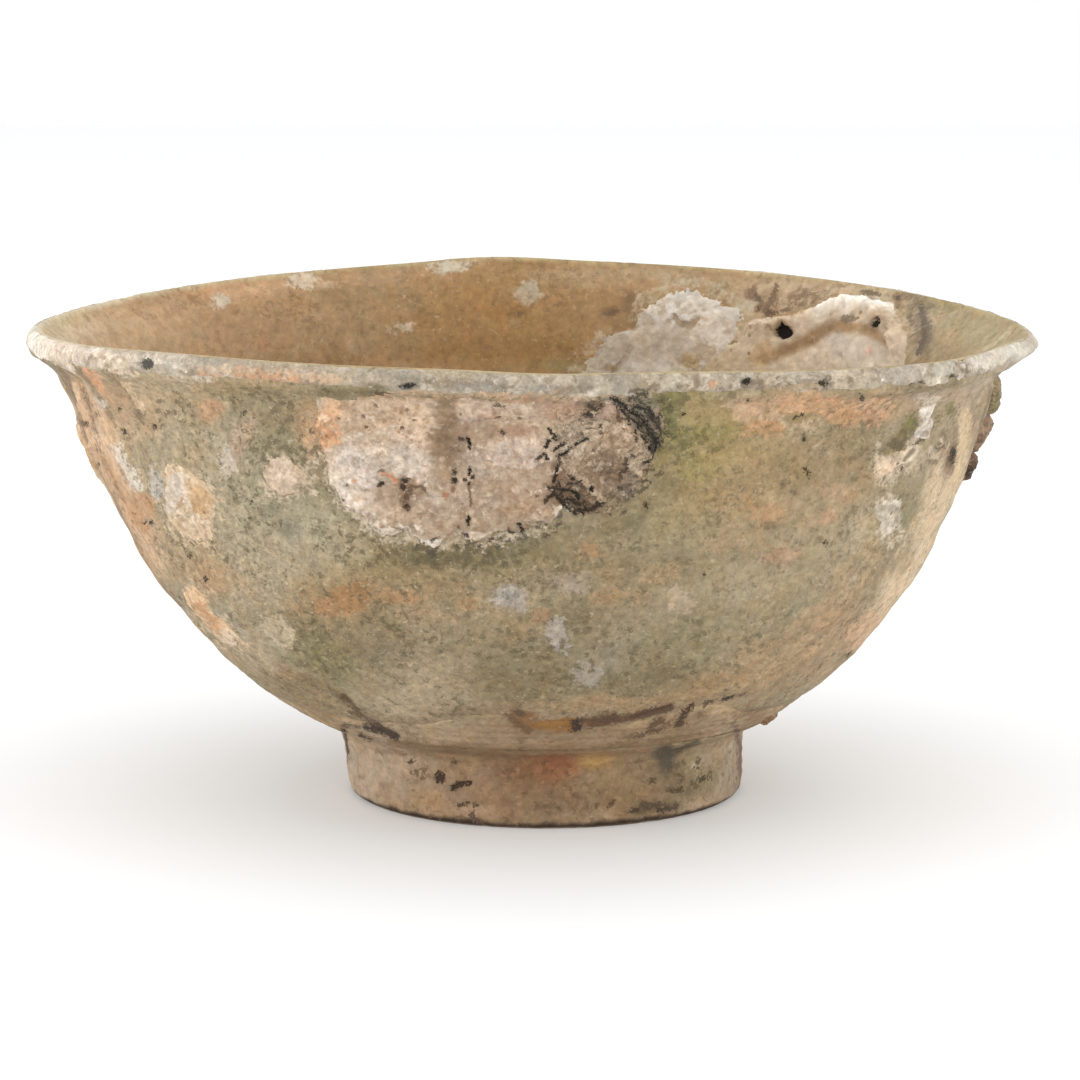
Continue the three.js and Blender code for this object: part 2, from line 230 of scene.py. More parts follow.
# ------------------------------------------------------------------ colours, as they look in even light
PAL = dict(
    ground=(160, 144, 114), groundpale=(178, 163, 135), greygreen=(150, 141, 116), olive=(150, 132, 92), moss=(137, 128, 78),
    mossdark=(122, 116, 74), yellowtan=(170, 145, 100), tan=(170, 146, 112), orange=(186, 143, 102), orangedeep=(168, 126, 84),
    orangehot=(206, 152, 110), peach=(208, 174, 139), peachpale=(222, 196, 162), cream=(222, 202, 176), limewhite=(226, 216, 202),
    greywhite=(200, 190, 176), lilac=(174, 163, 149), bluegrey=(186, 178, 166), pinkgrey=(178, 156, 132), pink=(190, 160, 134),
    brown=(118, 84, 52), browndark=(84, 62, 42), rust=(130, 92, 60), redbrown=(128, 92, 62), soot=(58, 50, 40), black=(30, 27, 23),
    umber=(100, 82, 60), green=(132, 121, 84), greendark=(112, 100, 64), clay=(166, 140, 112), claywarm=(148, 116, 86),
    coral=(204, 180, 154), coralpale=(224, 206, 186), coralpink=(190, 164, 140), mauve=(160, 134, 108), amber=(160, 124, 80),
    amberpale=(184, 152, 116), gold=(178, 154, 112), sand=(190, 164, 134), shell=(166, 144, 120), shellgrey=(150, 134, 112))


def rgb(c):
    return np.array(PAL[c] if isinstance(c, str) else c, float)


def linear(c):
    c = np.clip(np.asarray(c, float) / 255, 0, 1)
    return np.where(c <= 0.04045, c / 12.92, ((c + 0.055) / 1.055) ** 2.4)


class Canvas:
    """Colour and relief at a mesh's points, laid on as marks placed in the view.

    Clouds blend into the base tint. Blotches and dark marks keep a colour and a soft mask, which the finish cuts to a ragged edge.
    """

    def __init__(self, p, n, base, seed=0, fade=6.0, wrap=False):
        self.p = p
        self.x, self.y = in_view(p)
        to = CAM - p
        self.facing = np.einsum("ij,ij->i", n, to) / np.linalg.norm(to, axis=1)
        self.seen = sstep(-0.03, 0.1, self.facing)
        self.cloud = self.x, self.y, self.seen
        if wrap:
            # clouds run on past the limb and thin out there
            off = np.arctan2(p[:, 0], -p[:, 1])
            turn = np.sign(off) * np.minimum(np.abs(off), math.radians(81)) - off
            c, s = np.cos(turn), np.sin(turn)
            x, y = in_view(np.stack([p[:, 0] * c - p[:, 1] * s, p[:, 0] * s + p[:, 1] * c, p[:, 2]], -1))
            self.cloud = x, y, sstep(126, 84, np.degrees(np.abs(off)) + 16 * fbm(p, 11, 3, seed + 5))
        self.col = np.array(np.broadcast_to(base, p.shape), float)
        self.over = [[self.col.copy(), np.zeros(len(p))], [self.col.copy(), np.zeros(len(p))]]
        self.fade = fade
        self.h = np.zeros(len(p))
        self.tex = np.ones(len(p))
        self.mx, self.my = fbm(p, 6.5, 2, seed + 1), fbm(p, 6.5, 2, seed + 2)
        self.sx, self.sy = fbm(p, 1.9, 3, seed + 3), fbm(p, 1.9, 3, seed + 4)

    def spread(self, at, size, warp, x, y):
        return (x[at] + warp * size * (0.9 * self.mx[at] + 0.8 * self.sx[at]),
                y[at] + warp * size * (0.9 * self.my[at] + 0.8 * self.sy[at]))

    def blob(self, view, x, y, rx, ry, rot=0.0, edge=0.4, warp=0.5):
        """Points near an oval, their soft weight, and how far inside it they are in the view."""
        vx, vy, seen = view
        reach = max(rx, ry) * (1 + edge) * 1.5 + 2 * self.fade + 4
        at = np.nonzero((np.abs(vx - x) < reach) & (np.abs(vy - y) < reach) & (seen > 0))[0]
        gx, gy = self.spread(at, min(rx, ry), warp, vx, vy)
        c, s = math.cos(math.radians(rot)), math.sin(math.radians(rot))
        dx, dy = gx - x, gy - y
        d = np.hypot((dx * c + dy * s) / rx, (-dx * s + dy * c) / ry)
        return at, (1 - sstep(1 - edge, 1 + edge, d)) * seen[at], (1 - d) * min(rx, ry)

    def line(self, view, pts, width, edge=0.5, warp=0.5, broken=0.0):
        vx, vy, seen = view
        pts = np.array(pts, float)
        lo, hi = pts.min(0) - width * 2 - 2 * self.fade - 4, pts.max(0) + width * 2 + 2 * self.fade + 4
        at = np.nonzero((vx > lo[0]) & (vx < hi[0]) & (vy > lo[1]) & (vy < hi[1]) & (seen > 0))[0]
        gx, gy = self.spread(at, width, warp, vx, vy)
        d = np.full(len(at), 1e9)
        for a, b in zip(pts[:-1], pts[1:]):
            e = b - a
            k = np.clip(((gx - a[0]) * e[0] + (gy - a[1]) * e[1]) / (e @ e), 0, 1)
            d = np.minimum(d, np.hypot(gx - a[0] - k * e[0], gy - a[1] - k * e[1]))
        w = 1 - sstep(width * (1 - edge), width * (1 + edge), d)
        inside = width - d
        if broken:
            gap = 1 - sstep(-broken, broken * 0.4, self.sx[at] + 0.6 * self.my[at] + 0.12)
            w = w * (1 - gap)
            inside = inside - gap * width * 1.6
        return at, w * seen[at], inside

    def over_lay(self, layer, at, inside, colour, a):
        col, mask = self.over[layer - 1]
        f = np.clip(0.5 + inside / (2 * self.fade), 0, 1) * self.seen[at]
        win = f > mask[at]
        k = at[win]
        under = self.col[k]
        col[k] = under * (1 - a) + rgb(colour) * a
        mask[k] = f[win]

    def lay(self, marks):
        """Each mark is (kind, place..., colour, strength, {options}); options h and tex set relief and grain."""
        for m in marks:
            opt = m[-1] if isinstance(m[-1], dict) else {}
            m = m[:-1] if isinstance(m[-1], dict) else m
            shape = {k: v for k, v in opt.items() if k in ("edge", "warp", "broken")}
            colour, a = m[-2:]
            big = max(m[3], m[4]) if m[0] == "b" else m[2]
            dark = rgb(colour) @ (0.3, 0.59, 0.11) < 96
            layer = opt.get("layer", 2 if dark else 0 if opt.get("edge", 0.4) >= 0.6 or big >= 34 else 1)
            view = (self.x, self.y, self.seen) if layer else self.cloud
            at, w, inside = self.blob(view, *m[1:6], **shape) if m[0] == "b" else self.line(view, m[1], m[2], **shape)
            if layer:
                self.over_lay(layer, at, inside, colour, a)
            if layer == 2:
                k = (0.15 * a * sstep(-1.2 - 0.3 * min(big, 6), 0.8, inside) * self.seen[at])[:, None]
                self.col[at] = self.col[at] * (1 - k) + rgb(colour) * k
            elif not layer:
                k = (w * a)[:, None]
                self.col[at] = self.col[at] * (1 - k) + rgb(colour) * k
            if "h" in opt:
                self.h[at] += w * opt["h"]
            if "tex" in opt:
                self.tex[at] = self.tex[at] * (1 - w) + opt["tex"] * w

    def flecks(self, inside_mm, colour, a=0.9, layer=2):
        """Dark or pale flecks given by how far inside one each point is, in millimetres."""
        at = np.nonzero(inside_mm > -2.4 * self.fade / 5.9)[0]
        col, mask = self.over[layer - 1]
        f = np.clip(0.5 + inside_mm[at] * 5.9 / (2 * self.fade), 0, 1)
        win = f > mask[at]
        k = at[win]
        col[k] = self.col[k] * (1 - a) + rgb(colour) * a
        mask[k] = f[win]

    def scale(self, f):
        self.col *= f
        self.over[0][0] *= f

    def mottle(self, size, amount, seed, octaves=2, tint=(1.0, 1.0, 1.0)):
        self.scale(1 + amount * fbm(self.p, size, octaves, seed)[:, None] * np.array(tint))


def specks(x, y, rx, ry, n, r, seed, colour, a, **opt):
    """Small marks strewn over an oval in the view."""
    rng = np.random.default_rng(seed)
    out = []
    for _ in range(n):
        d, b, k = math.sqrt(rng.uniform(0, 1)), rng.uniform(0, 2 * math.pi), rng.uniform(*r)
        out.append(("b", x + rx * d * math.cos(b), y + ry * d * math.sin(b), k * rng.uniform(0.8, 1.7), k, rng.uniform(-40, 40), colour, a, dict(opt)))
    return out


def scratches(path, n, length, width, wide, turn, seed, colour, a, **opt):
    """Short curved strokes strewn along a path in the view."""
    rng = np.random.default_rng(seed)
    path = np.array(path, float)
    seg = np.r_[0, np.cumsum(np.hypot(*np.diff(path, axis=0).T))]
    out = []
    for _ in range(n):
        s = rng.uniform(0, seg[-1])
        x, y = np.interp(s, seg, path[:, 0]), np.interp(s, seg, path[:, 1])
        x2, y2 = np.interp(min(s + 3, seg[-1]), seg, path[:, 0]), np.interp(min(s + 3, seg[-1]), seg, path[:, 1])
        x1, y1 = np.interp(max(s - 3, 0), seg, path[:, 0]), np.interp(max(s - 3, 0), seg, path[:, 1])
        ang = math.atan2(y2 - y1, x2 - x1)
        off = rng.normal(0, wide * 0.5)
        x, y = x - math.sin(ang) * off, y + math.cos(ang) * off
        ang += math.radians(rng.normal(0, turn))
        half, bend = rng.uniform(*length) / 2, rng.normal(0, 0.35)
        pts = [(x - half * math.cos(ang - bend), y - half * math.sin(ang - bend)), (x, y), (x + half * math.cos(ang + bend), y + half * math.sin(ang + bend))]
        out.append(("s", pts, rng.uniform(*width), colour, a, dict(opt)))
    return out


def crumbs(path, n, r, wide, seed, colour, a, **opt):
    """Small crumbs strewn along a path in the view."""
    rng = np.random.default_rng(seed)
    path = np.array(path, float)
    seg = np.r_[0, np.cumsum(np.hypot(*np.diff(path, axis=0).T))]
    out = []
    for _ in range(n):
        s, k = rng.uniform(0, seg[-1]), rng.uniform(*r)
        x, y = np.interp(s, seg, path[:, 0]) + rng.normal(0, wide * 0.5), np.interp(s, seg, path[:, 1]) + rng.normal(0, wide * 0.5)
        out.append(("b", x, y, k * rng.uniform(0.8, 1.8), k, rng.uniform(-60, 60), colour, a * rng.uniform(0.7, 1.0), dict(opt)))
    return out


def worn(marks, k, seed):
    """The same marks with dark strokes thinned and of uneven depth."""
    rng = np.random.default_rng(seed)
    out = []
    for m in marks:
        m = list(m)
        at = -3 if isinstance(m[-1], dict) else -2
        if rgb(m[at]) @ (0.3, 0.59, 0.11) < 96 and not (isinstance(m[-1], dict) and m[-1].get("layer") == 0):
            m[at] = tuple(rgb(m[at]) * (0.78 + 0.45 * rng.random()))
            if m[0] == "s":
                m[2] = m[2] * k
        out.append(tuple(m))
    return out


# ------------------------------------------------------------------ meshes
def make_mesh(name, v, quads, tris=None, uv=None):
    me = bpy.data.meshes.new(name)
    tris = np.zeros((0, 3), np.int64) if tris is None else np.asarray(tris)
    quads = np.asarray(quads)
    me.vertices.add(len(v))
    me.vertices.foreach_set("co", (np.asarray(v) * 0.001).astype(np.float32).ravel())
    loops = np.concatenate([quads.ravel(), tris.ravel()]).astype(np.int32)
    me.loops.add(len(loops))
    me.loops.foreach_set("vertex_index", loops)
    starts = np.concatenate([np.arange(len(quads)) * 4, len(quads) * 4 + np.arange(len(tris)) * 3]).astype(np.int32)
    me.polygons.add(len(starts))
    me.polygons.foreach_set("loop_start", starts)
    me.update(calc_edges=True)
    me.polygons.foreach_set("use_smooth", np.ones(len(starts), bool))
    if uv is not None:
        layer = me.uv_layers.new(name="OFBake")
        layer.data.foreach_set("uv", np.asarray(uv, np.float32).ravel())
    me.validate()
    return me


def grid(rings, start=None, end=None, loop=False):
    """Points and faces of rings that close round the bowl, with a single point at either end, or closed on themselves."""
    rings = np.asarray(rings)
    R, N = rings.shape[:2]
    j = np.arange(N)
    nxt = (j + 1) % N
    quads, uvq = [], []
    rows = R if loop else R - 1
    for i in range(rows):
        a, b = i * N, ((i + 1) % R) * N
        quads.append(np.stack([a + j, a + nxt, b + nxt, b + j], -1))
        v0, v1 = (i + 0.5) / (R + 1), (i + 1.5) / (R + 1)
        u0, u1 = j / N, (j + 1) / N
        uvq.append(np.stack([np.stack([u0, np.full(N, v0)], -1), np.stack([u1, np.full(N, v0)], -1),
                             np.stack([u1, np.full(N, v1)], -1), np.stack([u0, np.full(N, v1)], -1)], 1))
    v = [rings.reshape(-1, 3)]
    tris, uvt = [], []
    count = R * N
    for pole, first in ((start, True), (end, False)):
        if pole is None:
            continue
        v.append(np.asarray(pole, float)[None])
        base = 0 if first else (R - 1) * N
        u = (j + 0.5) / N
        if first:
            tris.append(np.stack([np.full(N, count), base + nxt, base + j], -1))
            e, w = 0.0, 0.5 / (R + 1)
            uvt.append(np.stack([np.stack([u, np.full(N, e)], -1), np.stack([(j + 1) / N, np.full(N, w)], -1), np.stack([j / N, np.full(N, w)], -1)], 1))
        else:
            tris.append(np.stack([base + j, base + nxt, np.full(N, count)], -1))
            e, w = 1.0, (R - 0.5) / (R + 1)
            uvt.append(np.stack([np.stack([j / N, np.full(N, w)], -1), np.stack([(j + 1) / N, np.full(N, w)], -1), np.stack([u, np.full(N, e)], -1)], 1))
        count += 1
    quads = np.concatenate(quads)
    uv = np.concatenate(uvq).reshape(-1, 2)
    if tris:
        tris = np.concatenate(tris)
        uv = np.concatenate([uv, np.concatenate(uvt).reshape(-1, 2)])
    else:
        tris = None
    return np.concatenate(v), quads, tris, uv


def paint_of(c, order=None):
    """A canvas's arrays for the mesh: tint, blotches, dark marks, grain."""
    parts = [c.col, np.c_[c.over[0][0], c.over[0][1]], np.c_[c.over[1][0], c.over[1][1]], c.tex]
    return parts if order is None else [x[order] for x in parts]


def plain(n, colour):
    k = np.tile(rgb(colour), (n, 1))
    z = np.c_[k, np.zeros(n)]
    return [k, z, z, np.ones(n)]


def set_paint(me, parts, gain=(1.0, 1.0, 1.0)):
    tint, one, two, tex = (np.concatenate(x) for x in zip(*parts))
    for name, data in (("tint", np.c_[tint, np.ones(len(tint))]), ("blotch", one), ("dark", two)):
        out = np.ones((len(data), 4), np.float32)
        out[:, :3] = linear(data[:, :3]) * gain
        out[:, 3] = data[:, 3]
        me.attributes.new(name, "FLOAT_COLOR", "POINT").data.foreach_set("color", out.ravel())
    me.attributes.new("grain", "FLOAT", "POINT").data.foreach_set("value", np.asarray(tex, np.float32))


def add_piece(name, me, node, material):
    ob = bpy.data.objects.new(name, me)
    bpy.context.scene.collection.objects.link(ob)
    me.materials.append(material)
    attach(ob, "root")
    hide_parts(node)
    return ob


def front_dense(n, gain=1.6, middle=-90, spread=62):
    """n azimuths round the bowl, closer together on the front."""
    a = np.radians(np.linspace(-180, 180, 7201))
    off = (np.degrees(a) - middle + 540) % 360 - 180
    dens = 1 + gain * np.exp(-(off / spread) ** 4)
    cum = np.r_[0, np.cumsum((dens[1:] + dens[:-1]) / 2)]
    return np.interp(np.arange(n) / n * cum[-1], cum, a)


# ------------------------------------------------------------------ finishes
class Nodes:
    def __init__(self, name):
        self.mat = bpy.data.materials.new(name)
        self.mat.use_nodes = True
        self.t = self.mat.node_tree
        self.t.nodes.clear()
        self.out = self.t.nodes.new("ShaderNodeOutputMaterial")
        self.bsdf = self.t.nodes.new("ShaderNodeBsdfPrincipled")
        self.t.links.new(self.bsdf.outputs[0], self.out.inputs[0])
        grow = self.t.nodes.new("ShaderNodeMapping")
        grow.inputs["Scale"].default_value = (1.0, 0.72, 1.0)
        self.t.links.new(self.t.nodes.new("ShaderNodeTexCoord").outputs["Object"], grow.inputs["Vector"])
        self.pos = grow.outputs["Vector"]

    def link(self, a, b):
        self.t.links.new(a, b)

    def attr(self, name, out="Color"):
        n = self.t.nodes.new("ShaderNodeAttribute")
        n.attribute_name = name
        return n.outputs[out]

    def noise(self, size_mm, detail=2.0, rough=0.5, warp=0.0):
        n = self.t.nodes.new("ShaderNodeTexNoise")
        n.inputs["Scale"].default_value = 1000.0 / size_mm
        n.inputs["Detail"].default_value = detail
        n.inputs["Roughness"].default_value = rough
        n.inputs["Distortion"].default_value = warp
        self.link(self.pos, n.inputs["Vector"])
        return n.outputs["Fac"]

    def voronoi(self, size_mm, feature="F1", out="Distance"):
        n = self.t.nodes.new("ShaderNodeTexVoronoi")
        n.feature = feature
        n.inputs["Scale"].default_value = 1000.0 / size_mm
        self.link(self.pos, n.inputs["Vector"])
        return n.outputs[out]

    def math(self, op, a, b=None, c=None, clamp=False):
        n = self.t.nodes.new("ShaderNodeMath")
        n.operation = op
        n.use_clamp = clamp
        for i, v in enumerate((a, b, c)):
            if v is None:
                continue
            if isinstance(v, (int, float)):
                n.inputs[i].default_value = v
            else:
                self.link(v, n.inputs[i])
        return n.outputs[0]

    def ramp(self, v, a, b, lo=0.0, hi=1.0):
        n = self.t.nodes.new("ShaderNodeMapRange")
        n.interpolation_type = "SMOOTHSTEP"
        n.inputs["From Min"].default_value = a
        n.inputs["From Max"].default_value = b
        n.inputs["To Min"].default_value = lo
        n.inputs["To Max"].default_value = hi
        self.link(v, n.inputs["Value"])
        return n.outputs["Result"]

    def blend(self, a, b, fac, mode="MIX"):
        n = self.t.nodes.new("ShaderNodeMix")
        n.data_type = "RGBA"
        n.blend_type = mode
        n.clamp_factor = True
        fa, ca, cb = n.inputs[0], n.inputs[6], n.inputs[7]
        if isinstance(fac, (int, float)):
            fa.default_value = fac
        else:
            self.link(fac, fa)
        for sock, v in ((ca, a), (cb, b)):
            if isinstance(v, tuple):
                sock.default_value = (*linear(v), 1.0)
            else:
                self.link(v, sock)
        return n.outputs[2]

    def scaled(self, colour, factor):
        n = self.t.nodes.new("ShaderNodeVectorMath")
        n.operation = "SCALE"
        self.link(colour, n.inputs[0])
        self.link(factor, n.inputs["Scale"])
        return n.outputs[0]

    def bump(self, height, distance_mm, strength=1.0, normal=None):
        n = self.t.nodes.new("ShaderNodeBump")
        n.inputs["Strength"].default_value = strength
        n.inputs["Distance"].default_value = distance_mm * 0.001
        self.link(height, n.inputs["Height"])
        if normal is not None:
            self.link(normal, n.inputs["Normal"])
        return n.outputs[0]


def stone(name, sand=0.3, contrast=0.2, fine=0.2, dark=0.35, light=0.25, darkcol=(70, 60, 44), lightcol=(226, 212, 190),
          rough=(0.72, 0.95), bump=0.22, spec=0.3, grain=0.75, edge=0.5, pit=0.5, soft=(0.24, 0.72), hue=0.0, frag=1.2, cut=(0.42, 0.58)):
    """Sandy fired or grown surface: the laid-on tint and marks, cut to ragged edges and broken by grain and flecks, with matching relief."""
    k = Nodes(name)
    amp = k.attr("grain", "Fac")
    mid = k.noise(grain * 2.1, 3.0, 0.6)
    small = k.noise(grain, 2.0, 0.6)
    tiny = k.noise(grain * 0.5, 1.0, 0.5)
    cell = k.voronoi(grain * 1.1)
    speck = k.voronoi(grain * 0.72, out="Color")
    e = k.math("MULTIPLY", k.math("SUBTRACT", mid, 0.5), 0.9 * edge)
    e = k.math("MULTIPLY_ADD", k.math("SUBTRACT", small, 0.5), 1.2 * edge, e)
    e = k.math("MULTIPLY_ADD", k.math("SUBTRACT", tiny, 0.5), 0.6 * edge, e)
    w1 = k.ramp(k.math("ADD", k.attr("blotch", "Alpha"), e), soft[0], soft[1])
    bit = k.noise(grain * 0.42, 2.0, 0.65)
    eb = k.math("MULTIPLY_ADD", k.math("SUBTRACT", bit, 0.5), frag, k.math("MULTIPLY", e, 0.35))
    w2 = k.ramp(k.math("ADD", eb, k.attr("dark", "Alpha")), cut[0], cut[1])
    a = k.math("MULTIPLY", k.math("SUBTRACT", mid, 0.5), contrast * 1.1)
    a = k.math("MULTIPLY_ADD", k.math("SUBTRACT", small, 0.5), contrast * 1.7, a)
    a = k.math("MULTIPLY_ADD", k.math("SUBTRACT", tiny, 0.5), fine * 2.0, a)
    a = k.math("MULTIPLY_ADD", k.math("SUBTRACT", speck, 0.5), sand, a)
    a = k.math("MULTIPLY_ADD", a, amp, 1.0)
    a = k.math("MAXIMUM", a, 0.25)
    col = k.scaled(k.blend(k.attr("tint"), k.attr("blotch"), w1), a)
    spots = k.noise(grain * 1.15, 3.0, 0.7, 0.4)
    patchy = k.noise(grain * 8.0, 2.0, 0.6)
    thick = k.math("MULTIPLY_ADD", k.math("SUBTRACT", patchy, 0.5), 0.45, spots)
    wd = k.math("MULTIPLY", k.ramp(thick, 0.54, 0.70, 0.0, dark), amp, clamp=True)
    if hue:
        turn = k.noise(grain * 2.7, 2.0, 0.6)
        col = k.blend(col, (255, 236, 206), k.ramp(turn, 0.46, 0.66, 0.0, hue), "MULTIPLY")
        col = k.blend(col, (226, 240, 222), k.ramp(turn, 0.54, 0.34, 0.0, hue), "MULTIPLY")
    col = k.blend(col, darkcol, wd)
    pale = k.noise(grain * 0.95, 3.0, 0.65, 0.3)
    wl = k.math("MULTIPLY", k.ramp(pale, 0.58, 0.72, 0.0, light), amp, clamp=True)
    col = k.blend(col, lightcol, wl)
    col = k.blend(col, k.scaled(k.attr("dark"), k.math("MULTIPLY_ADD", bit, 1.6, 0.3)), w2)
    k.link(col, k.bsdf.inputs["Base Color"])
    k.link(k.ramp(mid, 0.3, 0.7, rough[1], rough[0]), k.bsdf.inputs["Roughness"])
    k.bsdf.inputs["Specular IOR Level"].default_value = spec
    hgt = k.math("MULTIPLY_ADD", mid, 0.7, k.math("MULTIPLY_ADD", small, 0.7, k.math("MULTIPLY", tiny, 0.35)))
    hgt = k.math("SUBTRACT", hgt, k.math("MULTIPLY", cell, 0.35))
    hgt = k.math("MULTIPLY", hgt, k.math("MINIMUM", amp, 1.5))
    hgt = k.math("MULTIPLY_ADD", w1, 0.12, hgt)
    hgt = k.math("MULTIPLY_ADD", w2, -pit, hgt)
    k.link(k.bump(hgt, bump, 1.0), k.bsdf.inputs["Normal"])
    return k.mat


M_WALL = stone("worn_outside_glaze", sand=0.28, contrast=0.32, fine=0.10, dark=0.6, light=0.34, darkcol=(82, 74, 52), lightcol=(200, 188, 160),
               rough=(0.62, 0.9), bump=0.26, spec=0.3, grain=1.0, edge=0.8, hue=0.2, frag=0.95)
M_IN = stone("inside_amber_glaze", sand=0.14, contrast=0.32, fine=0.05, dark=0.46, light=0.3, darkcol=(100, 74, 42), lightcol=(200, 172, 136),
             rough=(0.45, 0.72), bump=0.1, spec=0.4, grain=1.2, edge=0.6, hue=0.3, frag=0.7)
M_CLAY = stone("bare_clay", sand=0.14, contrast=0.24, fine=0.08, dark=0.45, light=0.2, darkcol=(86, 64, 44), lightcol=(200, 176, 146),
               rough=(0.75, 0.95), bump=0.18, spec=0.25, grain=1.05, edge=0.6, hue=0.22)
M_LIP = stone("lip_lime", sand=0.24, contrast=0.26, fine=0.18, dark=0.4, light=0.3, darkcol=(120, 108, 92), lightcol=(226, 216, 200),
              rough=(0.75, 0.95), bump=0.2, spec=0.25, grain=0.8, frag=0.6)
M_CORAL = stone("coral_crust", sand=0.26, contrast=0.36, fine=0.14, dark=0.5, light=0.45, darkcol=(146, 114, 86), lightcol=(232, 216, 198),
                rough=(0.85, 1.0), bump=0.3, spec=0.2, grain=1.05, edge=0.6, cut=(0.4, 0.6))
M_SHELL = stone("black_edged_shell", sand=0.34, contrast=0.4, fine=0.25, dark=0.5, light=0.3, darkcol=(60, 50, 38), lightcol=(206, 188, 162),
                rough=(0.7, 0.95), bump=0.28, spec=0.3, grain=0.8, edge=0.5, pit=-0.3, frag=1.5, cut=(0.4, 0.64))
M_CHALK = stone("inside_chalk_crust", sand=0.03, contrast=0.09, fine=0.02, dark=0.2, light=0.16, darkcol=(150, 132, 110), lightcol=(214, 202, 186),
                rough=(0.85, 1.0), bump=0.14, spec=0.2, grain=1.3, edge=0.7, frag=0.5)

